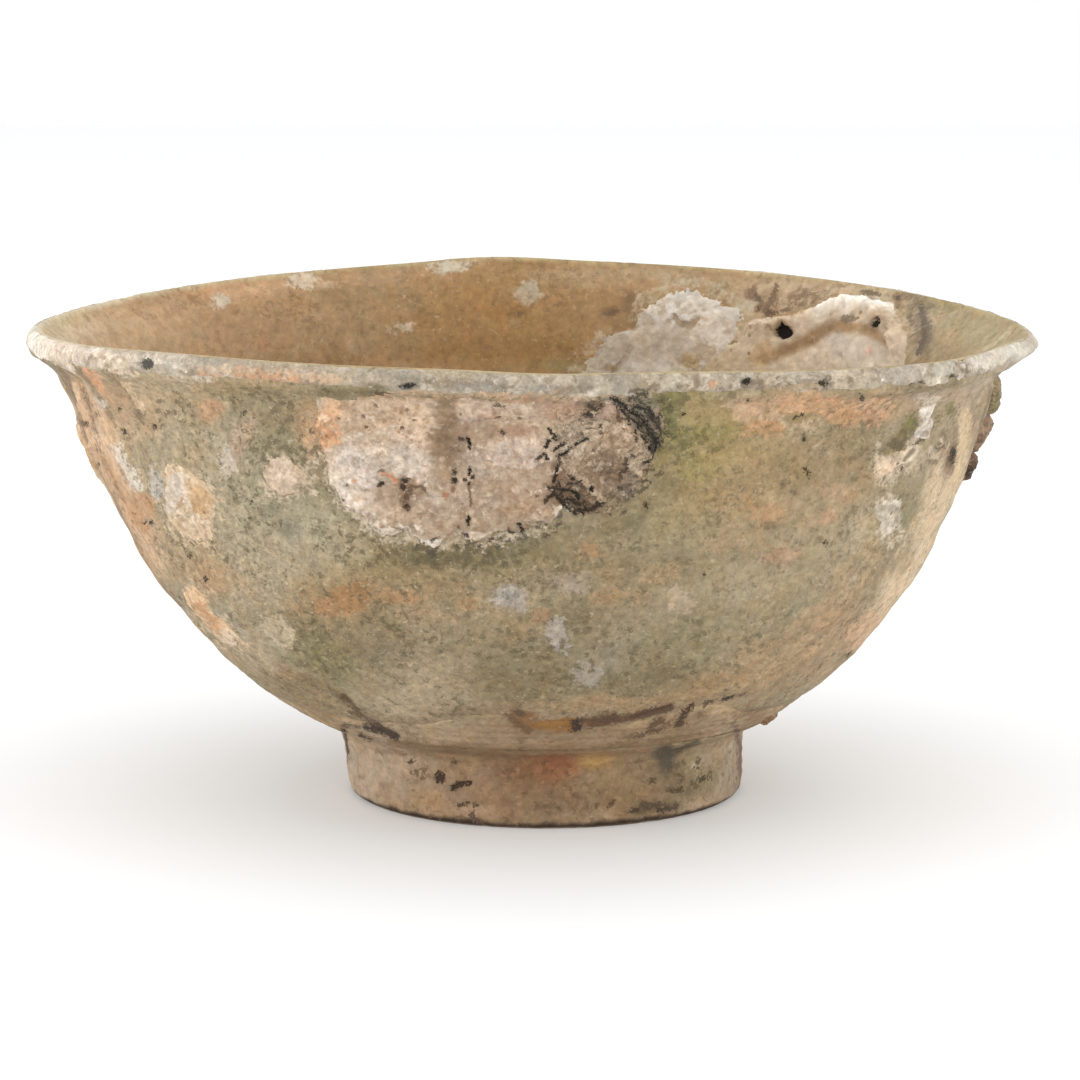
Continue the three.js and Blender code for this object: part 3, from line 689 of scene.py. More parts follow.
# ------------------------------------------------------------------ the outside wall: marks in the view
WALL_MARKS = [
    # broad clouds, left to right
    ("b", 150, 420, 60, 40, 30, "groundpale", 0.5), ("b", 235, 545, 70, 60, 0, "groundpale", 0.45),
    ("s", [(80, 392), (98, 440), (116, 490), (140, 535), (150, 560)], 20, (216, 180, 144), 0.9, {"edge": 0.8}),
    ("b", 200, 562, 46, 26, 20, "tan", 0.7, {"edge": 0.7}), ("b", 215, 580, 30, 14, 20, "orange", 0.35, {"edge": 0.8}),
    ("b", 300, 470, 60, 60, 0, "greygreen", 0.45, {"edge": 0.8}), ("b", 285, 425, 30, 34, 10, "olive", 0.55, {"edge": 0.7}),
    ("b", 180, 400, 50, 16, 8, "tan", 0.6, {"edge": 0.7}), ("b", 255, 395, 60, 12, 6, "olive", 0.5, {"edge": 0.7}),
    ("b", 320, 525, 44, 26, -8, (188, 178, 150), 0.6, {"edge": 0.7}), ("b", 300, 560, 60, 22, 0, "groundpale", 0.5, {"edge": 0.8}),
    ("b", 385, 560, 60, 24, 5, (156, 138, 98), 0.75, {"edge": 0.7}), ("b", 350, 605, 62, 32, -6, (160, 132, 94), 0.75, {"edge": 0.8}),
    # the dark band at (470, 556) is painted shadow under the big crust
    ("b", 470, 556, 70, 10, -4, (134, 116, 86), 0.75, {"edge": 0.7}), ("b", 515, 562, 44, 14, -4, (141, 130, 92), 0.7, {"edge": 0.7}),
    ("b", 440, 640, 70, 40, 0, (154, 136, 106), 0.6, {"edge": 0.9}), ("b", 330, 660, 40, 22, 30, "green", 0.8, {"edge": 0.8}),
    ("b", 300, 690, 46, 12, 28, (146, 124, 90), 0.8, {"edge": 0.7}), ("b", 425, 688, 58, 34, 10, (182, 162, 134), 0.8, {"edge": 0.8}),
    ("b", 370, 672, 26, 14, 30, (160, 144, 112), 0.6, {"edge": 0.8}), ("b", 510, 690, 54, 26, 0, (134, 119, 86), 0.85, {"edge": 0.7}),
    ("b", 600, 600, 90, 50, 0, (152, 134, 104), 0.5, {"edge": 0.9}), ("b", 650, 545, 70, 30, 0, (150, 136, 104), 0.7, {"edge": 0.8}), ("b", 600, 562, 60, 24, 0, (150, 131, 98), 0.7, {"edge": 0.8}),
    ("b", 600, 655, 80, 36, 0, (140, 127, 98), 0.6, {"edge": 0.8}), ("b", 690, 640, 50, 24, -6, (144, 132, 98), 0.65, {"edge": 0.8}),
    ("b", 640, 682, 70, 18, -6, (131, 116, 84), 0.8, {"edge": 0.7}), ("b", 695, 440, 50, 46, 0, "moss", 0.85, {"edge": 0.6}),
    ("b", 690, 500, 46, 34, 0, (158, 138, 96), 0.6, {"edge": 0.8}), ("b", 745, 465, 60, 34, 0, "yellowtan", 0.75, {"edge": 0.7}),
    ("b", 775, 505, 60, 30, 0, (174, 148, 112), 0.65, {"edge": 0.8}), ("b", 800, 560, 60, 30, 0, (166, 148, 118), 0.6, {"edge": 0.9}),
    ("b", 830, 462, 60, 36, 0, (154, 132, 98), 0.75, {"edge": 0.8}), ("b", 760, 600, 60, 34, 0, (158, 144, 112), 0.6, {"edge": 0.9}),
    ("b", 760, 668, 60, 24, -28, (176, 148, 112), 0.8, {"edge": 0.8}), ("b", 832, 630, 24, 50, 32, (186, 156, 122), 0.75, {"edge": 0.8}),
    ("b", 880, 560, 30, 36, 20, (172, 150, 116), 0.6, {"edge": 0.8}), ("b", 905, 520, 24, 40, 20, (150, 138, 108), 0.6, {"edge": 0.7}),
    ("s", [(948, 470), (934, 512), (915, 555), (893, 600), (866, 640)], 14.5, "peachpale", 0.9, {"edge": 0.8}),
    ("s", [(955, 400), (952, 440), (948, 480)], 12, (196, 172, 138), 0.7, {"edge": 0.8}),
    ("s", [(690, 414), (745, 410), (800, 404), (850, 408), (900, 402)], 12, (204, 166, 130), 0.85, {"edge": 0.8}),
    ("b", 940, 396, 44, 12, -10, "pinkgrey", 0.7, {"edge": 0.7}),
    # folds and shell strip at the edges
    # the first stroke, dark brown at the wall's left edge, is painted shade
    ("s", [(58, 370), (70, 388), (77, 402)], 4.4, (122, 102, 76), 0.75, {"layer": 1}), ("s", [(70, 358), (82, 367), (94, 376), (106, 390)], 4.2, (212, 158, 116), 0.85, {"layer": 1}), ("s", [(104, 388), (116, 404), (124, 418)], 4.0, (196, 152, 114), 0.6, {"layer": 1}),
    ("s", [(124, 384), (135, 399), (142, 414)], 3.6, (216, 188, 152), 0.8, {"layer": 1}), ("b", 103, 402, 6, 7, 20, (210, 196, 180), 0.8, {"layer": 1}), ("s", [(92, 372), (104, 386), (112, 400)], 2.6, (146, 120, 90), 0.6, {"layer": 1}),
    ("s", [(112, 378), (128, 396), (134, 412)], 2.4, (150, 122, 92), 0.6, {"layer": 1}), ("s", [(72, 388), (84, 414), (92, 444)], 4.0, (214, 178, 140), 0.75, {"layer": 1}), ("s", [(96, 446), (112, 478), (128, 506), (146, 528)], 3.4, (172, 130, 92), 0.6, {"layer": 1}),
    ("b", 64, 362, 14, 5, 34, (232, 218, 200), 0.8, {"layer": 1}), ("b", 112, 366, 20, 5, 18, (222, 204, 184), 0.75, {"layer": 1}), ("b", 190, 377, 20, 4, 6, (206, 190, 172), 0.7, {"layer": 1}), ("b", 86, 368, 8, 5, 30, (216, 164, 124), 0.8, {"layer": 1}),
    ("s", [(1000, 378), (994, 404), (986, 432), (972, 470)], 6, (132, 108, 80), 0.8, {"layer": 1}), ("s", [(966, 412), (963, 438), (958, 464), (950, 492)], 7, (216, 194, 160), 0.85, {"edge": 0.7, "layer": 0}), ("s", [(985, 392), (978, 418), (970, 446)], 4, (170, 148, 116), 0.7, {"layer": 1}),
    ("b", 953, 458, 5, 13, 12, (106, 86, 64), 0.9, {"edge": 0.6, "layer": 0, "h": -0.3}), ("s", [(954, 452), (953, 460)], 2.2, (44, 35, 26), 0.95), ("b", 951, 470, 6, 6, 0, (146, 116, 94), 0.7, {"layer": 1}), ("b", 949, 424, 6, 20, 6, (150, 136, 108), 0.7, {"layer": 1}),
    ("b", 951, 411, 3, 8, 10, (118, 114, 70), 0.8, {"layer": 1}), ("b", 938, 402, 26, 8, -20, (190, 166, 140), 0.75, {"edge": 0.8, "layer": 0}), ("b", 941, 441, 5, 10, 10, (200, 178, 154), 0.7, {"layer": 1}), ("b", 932, 447, 4, 8, 20, (206, 186, 166), 0.7, {"layer": 1}),
    ("b", 912, 425, 5, 12, 16, (110, 104, 56), 0.8, {"layer": 1}), ("b", 904, 438, 5, 8, 20, (88, 80, 52), 0.8, {"layer": 1}), ("s", [(916, 446), (908, 456)], 2.0, (120, 100, 80), 0.8), ("b", 858, 528, 8, 12, 10, (196, 178, 148), 0.5, {"layer": 1}),
    # painted shade along the lower edge of the big crust; dark grain in the hollows round it and low on the wall
    ("s", [(322, 462), (338, 500), (366, 532), (400, 548), (440, 558), (490, 552), (545, 544)], 9, (124, 112, 82), 0.55, {"edge": 0.9, "layer": 0}), ("b", 280, 440, 40, 34, 0, (138, 126, 98), 0.55, {"edge": 0.9, "layer": 0}),
    ("b", 250, 500, 40, 34, 0, (150, 140, 114), 0.4, {"edge": 0.9, "layer": 0}), ("b", 168, 414, 30, 18, 10, (176, 156, 124), 0.5, {"edge": 0.9, "layer": 0}), ("b", 560, 660, 90, 20, 0, (136, 122, 92), 0.5, {"edge": 0.9, "layer": 0}),
    # mid-size blotches
    ("s", [(106, 384), (122, 398), (138, 414)], 6, (180, 146, 112), 0.6), ("s", [(118, 448), (129, 470), (139, 486)], 5, "limewhite", 0.75, {"h": 0.12}),
    ("b", 141, 508, 13, 18, 30, (190, 146, 106), 0.8), ("b", 160, 484, 8, 18, -12, "bluegrey", 0.85, {"h": 0.1}),
    ("b", 213, 410, 13, 10, 0, (190, 150, 114), 0.75), ("b", 243, 440, 9, 22, 20, "pink", 0.7), ("b", 230, 462, 8, 15, 0, (204, 189, 172), 0.8),
    ("b", 309, 424, 11, 22, 6, (192, 154, 118), 0.7, {"edge": 0.7, "layer": 0}), ("b", 288, 530, 16, 11, 15, (142, 134, 112), 0.75), ("b", 268, 512, 12, 8, 0, (140, 132, 110), 0.6),
    ("b", 350, 597, 22, 15, -10, "orangedeep", 0.75), ("b", 328, 608, 14, 10, 0, (172, 128, 88), 0.7), ("b", 395, 598, 22, 8, -4, (168, 130, 92), 0.7),
    ("b", 468, 604, 10, 8, 0, (166, 131, 92), 0.75), ("b", 430, 618, 30, 8, 0, (168, 142, 110), 0.5), ("b", 440, 575, 26, 8, 0, (150, 128, 92), 0.5),
    ("b", 278, 631, 20, 11, 38, (198, 180, 152), 0.8), ("b", 262, 658, 18, 10, 30, (182, 164, 136), 0.6), ("b", 256, 598, 20, 12, 0, (176, 158, 130), 0.6),
    ("b", 511, 598, 17, 15, 0, "lilac", 0.95, {"h": 0.08, "edge": 0.22, "tex": 0.55}),
    ("b", 559, 634, 10, 18, -14, (172, 161, 148), 0.95, {"h": 0.08, "edge": 0.25, "tex": 0.55}),
    ("b", 588, 674, 17, 12, -12, (172, 161, 145), 0.9, {"h": 0.08, "edge": 0.3, "tex": 0.55}), ("b", 575, 580, 22, 12, 0, (166, 150, 130), 0.7),
    ("b", 683, 600, 13, 11, 0, (180, 160, 134), 0.85, {"edge": 0.3}), ("b", 632, 632, 16, 10, 0, (158, 146, 120), 0.6),
    ("b", 590, 553, 10, 7, 0, (172, 136, 98), 0.75), ("b", 542, 615, 10, 8, 0, (172, 138, 102), 0.75), ("b", 608, 598, 16, 6, 0, (168, 134, 96), 0.6),
    ("b", 660, 575, 20, 10, 0, (172, 144, 108), 0.6), ("b", 720, 545, 18, 8, 0, (174, 146, 112), 0.5), ("b", 640, 596, 16, 8, 0, (170, 142, 106), 0.5),
    ("b", 672, 410, 16, 18, 0, "mossdark", 0.75), ("b", 712, 420, 26, 20, 0, (150, 138, 88), 0.6), ("b", 700, 470, 22, 12, 0, (150, 136, 88), 0.6),
    ("b", 812, 404, 34, 10, -4, (204, 160, 118), 0.7), ("b", 765, 428, 22, 9, -6, "orange", 0.8), ("b", 741, 409, 24, 8, 0, (196, 166, 136), 0.75),
    ("b", 845, 418, 18, 8, -6, "orange", 0.7), ("b", 875, 415, 13, 10, 0, (190, 148, 114), 0.8), ("b", 800, 418, 20, 6, -6, (146, 130, 92), 0.7),
    ("b", 829, 516, 10, 7, 0, (184, 148, 116), 0.65), ("b", 782, 556, 17, 9, -6, (184, 148, 116), 0.7), ("b", 765, 512, 20, 10, 20, (180, 142, 104), 0.6),
    ("b", 838, 492, 16, 8, 0, (182, 148, 114), 0.6), ("b", 806, 472, 14, 8, 0, (146, 128, 90), 0.5), ("b", 765, 590, 16, 8, 0, (172, 150, 122), 0.5),
    ("b", 904, 433, 7, 17, 24, (112, 104, 62), 0.65), ("b", 888, 448, 9, 7, 0, (130, 114, 80), 0.6), ("b", 935, 425, 14, 26, 8, (158, 144, 112), 0.7),
    ("b", 953, 456, 6, 18, 14, (118, 96, 68), 0.7), ("b", 912, 500, 12, 18, 10, (146, 134, 104), 0.7), ("b", 868, 530, 10, 16, 10, (190, 170, 136), 0.6),
    ("b", 862, 635, 14, 24, 40, (206, 166, 130), 0.6), ("b", 815, 615, 30, 10, -30, (178, 148, 112), 0.5),
    # smears that join the crust patches on the right, with moss and folds round them
    ("s", [(926, 404), (938, 399)], 3.0, (214, 200, 182), 0.85, {"layer": 1}), ("s", [(924, 436), (915, 446), (906, 456)], 5.0, (200, 180, 154), 0.85, {"layer": 1, "warp": 0.9}), ("s", [(922, 452), (914, 462)], 5.0, (196, 178, 154), 0.8, {"layer": 1, "warp": 0.9}),
    ("s", [(880, 444), (878, 456), (880, 474)], 3.4, (206, 184, 156), 0.75, {"layer": 1}), ("s", [(925, 437), (916, 446), (905, 459)], 1.5, (92, 76, 60), 0.85, {"warp": 0.9}), ("b", 910, 424, 5, 8, 14, (112, 112, 54), 0.85, {"layer": 1}), ("b", 896, 443, 8, 8, 30, (104, 92, 58), 0.6, {"layer": 1, "warp": 1.0}),
    ("b", 939, 441, 11, 18, 8, (190, 168, 142), 0.7, {"edge": 0.7, "layer": 0}), ("b", 950, 411, 5, 9, 8, (118, 112, 68), 0.85, {"layer": 1}), ("s", [(936, 428), (944, 446), (948, 470)], 3.0, (158, 134, 106), 0.7, {"layer": 1}), ("b", 954, 398, 20, 7, -12, (186, 160, 130), 0.7, {"edge": 0.8, "layer": 0}),
    ("s", [(957, 428), (953, 446), (951, 466)], 3.0, (128, 106, 80), 0.7, {"layer": 1, "warp": 0.9}), ("s", [(954, 451), (953, 457)], 1.7, (60, 46, 36), 0.9), ("b", 896, 445, 7, 5, 30, (88, 78, 50), 0.8, {"warp": 1.0}), ("b", 902, 433, 4, 6, 20, (98, 94, 50), 0.75, {"layer": 1, "warp": 1.0}), ("b", 952, 468, 5, 4, 0, (142, 112, 92), 0.8, {"layer": 1}), ("s", [(966, 416), (962, 446), (955, 480)], 6, (210, 184, 146), 0.8, {"layer": 1}),
    ("b", 862, 524, 9, 12, 10, (198, 174, 142), 0.7, {"layer": 1}), ("b", 908, 518, 5, 10, 10, (132, 126, 92), 0.7, {"layer": 1}), ("b", 900, 534, 5, 3, 0, (118, 106, 82), 0.7, {"layer": 1}),
    ("b", 815, 548, 90, 70, 0, "tan", 0.0, {"edge": 0.8, "layer": 0, "tex": 0.72}), ("b", 262, 520, 100, 110, 0, "tan", 0.0, {"edge": 0.8, "layer": 0, "tex": 1.32}), ("b", 500, 600, 110, 60, 0, "tan", 0.0, {"edge": 0.8, "layer": 0, "tex": 1.2}), ("b", 640, 600, 110, 70, 0, "tan", 0.0, {"edge": 0.8, "layer": 0, "tex": 0.92}),
    # the dark olive line and dash at y 392 to 396 are painted shade just under the lip
    ("s", [(390, 393), (450, 393), (520, 393), (604, 394)], 3.4, (184, 158, 132), 0.85, {"layer": 1}), ("s", [(322, 392), (350, 392), (388, 394)], 2.6, (120, 106, 74), 0.75, {"layer": 1}), ("s", [(378, 394), (391, 396)], 1.6, (84, 66, 46), 0.85),
    ("s", [(60, 372), (68, 392), (78, 416), (88, 442)], 1.7, (112, 88, 62), 0.7, {"layer": 1, "warp": 0.8}), ("s", [(72, 362), (92, 382), (106, 404), (112, 420)], 2.0, (128, 104, 74), 0.75, {"layer": 1, "warp": 0.8}), ("s", [(104, 368), (122, 386), (138, 408)], 1.8, (128, 108, 78), 0.7, {"layer": 1, "warp": 0.8}),
    ("s", [(126, 388), (136, 400), (143, 413)], 2.8, (224, 194, 160), 0.85, {"layer": 1}), ("s", [(84, 366), (98, 376), (110, 392)], 3.0, (214, 166, 128), 0.8, {"layer": 1}), ("s", [(84, 440), (96, 466), (110, 492)], 1.6, (132, 106, 76), 0.65, {"layer": 1, "warp": 0.8}), ("b", 84, 424, 3.2, 2.4, 30, (84, 64, 46), 0.85),
    ("s", [(511, 716), (519, 723), (530, 729)], 4.2, (112, 82, 54), 0.85, {"layer": 1}), ("s", [(632, 716), (652, 713), (672, 709)], 2.6, (84, 58, 40), 0.88), ("s", [(592, 724), (604, 721), (618, 719)], 2.8, (88, 62, 44), 0.88),
    ("s", [(57, 370), (72, 396), (81, 432), (95, 473), (113, 497), (133, 537), (154, 578), (181, 606)], 1.8, (124, 96, 68), 0.65, {"layer": 1, "warp": 0.8}), ("s", [(64, 366), (80, 384), (90, 406), (96, 432)], 1.6, (104, 82, 58), 0.7, {"layer": 1, "warp": 0.8}), ("s", [(112, 372), (128, 394), (134, 410)], 1.5, (112, 92, 64), 0.65, {"layer": 1, "warp": 0.8}),
    # painted shade: the olive line under the lip on the right, and the dark tint at (436, 560) under the big crust
    ("s", [(905, 389), (930, 387), (955, 381)], 4, (128, 114, 82), 0.6, {"edge": 0.9, "layer": 0}), ("b", 436, 560, 40, 10, 0, (112, 102, 72), 0.5, {"edge": 0.9, "layer": 0}),
    ("b", 940, 454, 9, 14, 8, (208, 186, 158), 0.65, {"edge": 0.8, "layer": 0}), ("b", 966, 430, 6, 16, 10, (172, 147, 114), 0.55, {"edge": 0.8, "layer": 0}), ("b", 986, 385, 12, 9, -20, (200, 180, 154), 0.65, {"edge": 0.8, "layer": 0}), ("b", 268, 526, 15, 15, 0, (178, 162, 130), 0.4, {"edge": 0.9, "layer": 0}), ("b", 556, 622, 15, 15, 0, (132, 116, 84), 0.4, {"edge": 0.9, "layer": 0}),
    ("b", 800, 560, 140, 110, 0, "tan", 0.0, {"edge": 0.8, "layer": 0, "tex": 0.84}),
    *crumbs([(722, 408), (750, 412), (790, 420), (812, 430)], 46, (1.2, 3.2), 13, 106, (208, 184, 156), 0.5, layer=1), *crumbs([(730, 412), (790, 416), (850, 412), (890, 404)], 40, (1.0, 2.4), 16, 107, (140, 118, 86), 0.6, layer=1), *crumbs([(780, 406), (830, 404), (880, 402)], 30, (1.2, 3.0), 10, 110, (218, 172, 132), 0.55, layer=1),
    ("s", [(706, 690), (762, 662), (818, 616), (866, 560)], 1.3, (146, 121, 90), 0.5, {"layer": 1, "warp": 0.7}), ("s", [(742, 690), (792, 660), (846, 610), (884, 562)], 1.2, (150, 123, 92), 0.5, {"layer": 1, "warp": 0.7}), ("s", [(770, 688), (818, 654), (860, 612)], 1.2, (140, 114, 86), 0.5, {"layer": 1, "warp": 0.7}), ("s", [(726, 694), (780, 664), (836, 616), (880, 556)], 2.0, (198, 168, 132), 0.3, {"layer": 1, "warp": 0.7}), ("s", [(838, 596), (866, 562), (890, 520)], 1.4, (200, 172, 136), 0.45, {"layer": 1, "warp": 0.7}), ("s", [(896, 556), (918, 518), (936, 478)], 1.8, (200, 174, 136), 0.3, {"layer": 1, "warp": 0.7}), ("s", [(884, 574), (908, 536), (926, 500)], 1.2, (158, 132, 98), 0.5, {"layer": 1, "warp": 0.7}),
    # the first two dark brown strokes, along the shells' inner side, are painted shade where the shells stand off the
    # wall
    ("s", [(993, 388), (985, 408), (981, 430), (975, 452), (969, 476)], 3.2, (108, 84, 62), 0.65, {"layer": 1, "warp": 0.9}), ("s", [(982, 400), (974, 424), (970, 446)], 2.2, (132, 106, 80), 0.5, {"layer": 1, "warp": 0.9}), ("b", 880, 550, 16, 14, 20, (158, 138, 108), 0.4, {"edge": 0.9, "layer": 0}),
    # broad tints: warm left shoulder, pale left flank, painted shade under the shell, brighter right edge
    ("b", 132, 420, 24, 26, 20, (202, 168, 134), 0.6, {"edge": 0.9, "layer": 0}), ("b", 184, 384, 34, 10, 8, (196, 174, 141), 0.6, {"edge": 0.9, "layer": 0}), ("b", 250, 500, 30, 54, -8, (179, 166, 137), 0.5, {"edge": 0.9, "layer": 0}), ("b", 280, 406, 26, 16, 0, (168, 147, 117), 0.5, {"edge": 0.9, "layer": 0}),
    ("b", 340, 552, 26, 12, -6, (179, 163, 137), 0.5, {"edge": 0.9, "layer": 0}), ("b", 314, 440, 10, 26, 4, (206, 170, 136), 0.6, {"edge": 0.9, "layer": 0}), ("b", 604, 656, 26, 24, 0, (165, 150, 125), 0.6, {"edge": 0.9, "layer": 0}), ("b", 382, 652, 28, 22, 20, (132, 119, 91), 0.6, {"edge": 0.9, "layer": 0}),
    ("b", 892, 552, 18, 18, 0, (152, 136, 106), 0.65, {"edge": 0.9, "layer": 0}), ("b", 912, 528, 10, 20, 10, (156, 140, 112), 0.5, {"edge": 0.9, "layer": 0}), ("b", 892, 406, 15, 11, 0, (148, 130, 98), 0.5, {"edge": 0.9, "layer": 0}), ("b", 964, 418, 10, 18, 8, (178, 156, 126), 0.55, {"edge": 0.9, "layer": 0}),
    ("b", 458, 586, 42, 18, 0, (150, 122, 86), 0.5, {"edge": 0.9, "layer": 0}), ("b", 578, 606, 42, 20, 0, (146, 130, 97), 0.45, {"edge": 0.9, "layer": 0}), ("b", 556, 550, 22, 12, 0, (132, 118, 88), 0.5, {"edge": 0.9, "layer": 0}), ("b", 690, 478, 26, 16, 0, (145, 125, 88), 0.5, {"edge": 0.9, "layer": 0}), ("b", 748, 498, 24, 36, 0, (160, 136, 98), 0.5, {"edge": 0.9, "layer": 0}), ("b", 748, 512, 22, 28, 0, (162, 138, 104), 0.45, {"edge": 0.9, "layer": 0}), ("b", 460, 704, 32, 18, 4, (169, 151, 123), 0.6, {"edge": 0.9, "layer": 0}), ("s", [(572, 527), (604, 529), (640, 518)], 9, (126, 114, 84), 0.6, {"edge": 0.9, "layer": 0}),
    ("s", [(650, 505), (664, 492), (678, 474)], 9, (132, 116, 82), 0.6, {"edge": 0.9, "layer": 0}), ("b", 676, 404, 15, 13, 0, (168, 152, 118), 0.6, {"edge": 0.9, "layer": 0}), ("b", 940, 452, 14, 22, 6, (199, 177, 148), 0.7, {"edge": 0.9, "layer": 0}), ("b", 966, 454, 8, 24, 10, (202, 180, 151), 0.7, {"edge": 0.9, "layer": 0}),
    # the tints at (532, 741) and (628, 741) are painted light, lifting the shade in the crease above the foot
    ("b", 268, 646, 22, 12, 40, (187, 171, 147), 0.5, {"edge": 0.9, "layer": 0}), ("b", 102, 452, 9, 22, -18, (221, 191, 159), 0.55, {"edge": 0.9, "layer": 0}), ("b", 532, 741, 24, 7, 0, (156, 131, 104), 0.6, {"edge": 0.9, "layer": 0}), ("b", 628, 741, 26, 7, -6, (160, 137, 107), 0.6, {"edge": 0.9, "layer": 0}),
    # the glaze's last run above the foot: brown pooled line, streaks and a crease
    ("b", 590, 704, 80, 8, -3, (172, 144, 108), 0.8, {"edge": 0.7}), ("b", 700, 690, 50, 10, -20, (166, 136, 98), 0.6, {"edge": 0.7}),
    ("b", 523, 717, 15, 9, 24, (134, 98, 66), 0.85, {"layer": 1}), ("s", [(532, 725), (556, 726), (575, 725)], 5.2, (142, 100, 54), 0.92, {"warp": 0.7, "h": 0.15, "layer": 1}),
    ("s", [(585, 723), (602, 719), (625, 716), (650, 713), (672, 709)], 4.6, (112, 82, 54), 0.92, {"warp": 0.8, "h": 0.15, "layer": 1}), ("s", [(606, 720), (616, 717)], 3.6, (78, 58, 40), 0.85, {"warp": 0.8}),
    ("s", [(636, 715), (652, 712), (671, 708)], 2.6, (72, 53, 37), 0.9, {"warp": 0.6}), ("s", [(616, 723), (630, 719), (648, 717)], 1.8, (92, 68, 46), 0.8, {"warp": 0.8}),
    ("b", 519, 713, 5, 4, 20, (92, 70, 50), 0.85), ("b", 510, 719, 5, 1.6, 30, (96, 74, 54), 0.8), ("b", 577, 726, 6.4, 5.4, 0, (58, 46, 38), 0.96, {"h": 0.12}), ("b", 582, 722, 3, 2, 0, (70, 54, 42), 0.85),
    ("s", [(677, 725), (685, 715), (693, 706)], 2.2, (66, 48, 34), 0.92, {"warp": 0.7}), ("b", 680, 724, 5, 3, -30, (72, 54, 38), 0.85), ("s", [(706, 705), (711, 702)], 2.0, (84, 64, 46), 0.85), ("s", [(725, 699), (733, 696)], 2.2, (54, 42, 32), 0.92),
    ("s", [(651, 727), (656, 723), (662, 722)], 2.4, (86, 65, 46), 0.85, {"warp": 0.7}), ("s", [(648, 732), (656, 731), (664, 728)], 1.8, (88, 66, 48), 0.85, {"warp": 0.7}), ("s", [(636, 737), (643, 735)], 1.7, (80, 62, 46), 0.85), ("b", 667, 724, 3, 2, 0, (92, 70, 50), 0.8),
    ("b", 630, 738, 3, 1.4, 0, (100, 80, 60), 0.7), ("b", 700, 715, 3, 1.6, -20, (110, 84, 60), 0.75), ("b", 742, 694, 3, 1.6, -20, (78, 60, 44), 0.75), ("s", [(735, 716), (752, 712), (768, 708)], 2.4, (128, 100, 74), 0.6, {"layer": 1}),
    ("s", [(344, 697), (354, 709), (368, 721), (384, 731), (398, 738)], 3.0, (94, 76, 54), 0.85, {"h": -0.35, "warp": 0.4, "layer": 1}), ("s", [(366, 727), (380, 732), (397, 738)], 2.8, (62, 50, 42), 0.92, {"warp": 0.5}), ("s", [(376, 726), (388, 732)], 2.0, (66, 52, 42), 0.85),
    ("s", [(361, 735), (366, 738), (371, 740)], 1.8, (62, 48, 38), 0.88), ("b", 346, 726, 5, 1.8, 0, (76, 60, 46), 0.8), ("b", 357, 727, 3, 1.6, 0, (84, 66, 50), 0.8), ("s", [(300, 678), (335, 692), (350, 702)], 4, (112, 92, 64), 0.45, {"layer": 0}),
    # bare clay above the foot
    ("b", 470, 736, 60, 9, 4, (174, 152, 124), 0.85, {"edge": 0.7}), ("b", 590, 738, 70, 7, -4, (150, 124, 98), 0.7, {"edge": 0.7}),
    ("s", [(392, 741), (430, 747), (500, 751), (580, 750), (650, 743), (700, 735)], 3.0, (118, 92, 66), 0.6, {"warp": 0.4}),
    # pin-pricks
] + crumbs([(322, 450), (328, 472), (338, 494), (354, 512), (372, 530), (392, 540), (412, 534), (430, 548), (456, 540), (480, 544), (502, 540), (526, 534), (546, 528)], 110, (1.4, 3.6), 8, 71, (206, 190, 168), 0.85, layer=1) \
  + crumbs([(420, 546), (440, 552), (470, 540), (512, 536), (528, 534), (560, 518)], 40, (1.0, 2.2), 8, 72, (74, 66, 52), 0.85) + crumbs([(566, 520), (590, 518), (618, 510), (640, 494), (656, 470), (664, 446)], 46, (1.2, 2.8), 9, 73, (150, 132, 102), 0.8, layer=1) \
  + crumbs([(600, 516), (632, 500), (652, 476), (664, 448), (668, 420), (664, 398)], 34, (0.9, 2.0), 10, 74, (66, 58, 44), 0.8) + crumbs([(169, 466), (196, 474), (212, 490), (217, 512), (213, 540), (190, 542), (172, 524), (164, 500), (166, 476)], 60, (1.4, 3.4), 8, 75, (210, 184, 152), 0.8, layer=1) \
  + crumbs([(266, 464), (281, 452), (296, 460), (311, 476), (302, 495), (280, 496), (266, 484)], 40, (1.2, 2.8), 7, 76, (208, 186, 160), 0.8, layer=1) + crumbs([(183, 590), (206, 600), (231, 630), (246, 646), (226, 648), (198, 618), (184, 598)], 40, (1.3, 3.0), 8, 77, (216, 188, 152), 0.8, layer=1) \
  + crumbs([(918, 404), (936, 402), (935, 428), (926, 442), (914, 446), (900, 456), (880, 456), (878, 476), (894, 472), (912, 462), (924, 452)], 60, (1.2, 2.8), 7, 78, (214, 198, 176), 0.85, layer=1) + crumbs([(876, 506), (892, 498), (904, 504), (902, 526), (886, 541), (878, 528)], 40, (1.2, 2.8), 7, 79, (206, 192, 170), 0.85, layer=1) \
  + crumbs([(880, 448), (900, 440), (914, 430), (940, 420), (946, 440), (926, 460)], 26, (0.9, 1.7), 8, 80, (88, 76, 52), 0.8) + specks(282, 436, 40, 36, 34, (1.2, 2.2), 51, (104, 94, 70), 0.75) + specks(250, 500, 46, 40, 24, (1.2, 2.0), 52, (112, 104, 80), 0.7) + specks(168, 416, 30, 20, 14, (1.2, 2.0), 53, (104, 90, 66), 0.75) \
  + specks(440, 556, 110, 12, 44, (1.2, 2.4), 54, (98, 86, 60), 0.75) + specks(340, 530, 30, 24, 14, (1.2, 2.2), 55, (108, 98, 74), 0.7) + specks(360, 640, 60, 30, 30, (1.2, 2.0), 56, (108, 96, 70), 0.7) \
  + specks(560, 650, 100, 34, 50, (1.2, 2.2), 57, (104, 92, 66), 0.7) + specks(700, 650, 70, 30, 26, (1.2, 2.0), 58, (106, 94, 68), 0.7) + specks(690, 430, 36, 44, 18, (1.2, 2.2), 59, (100, 94, 58), 0.7) \
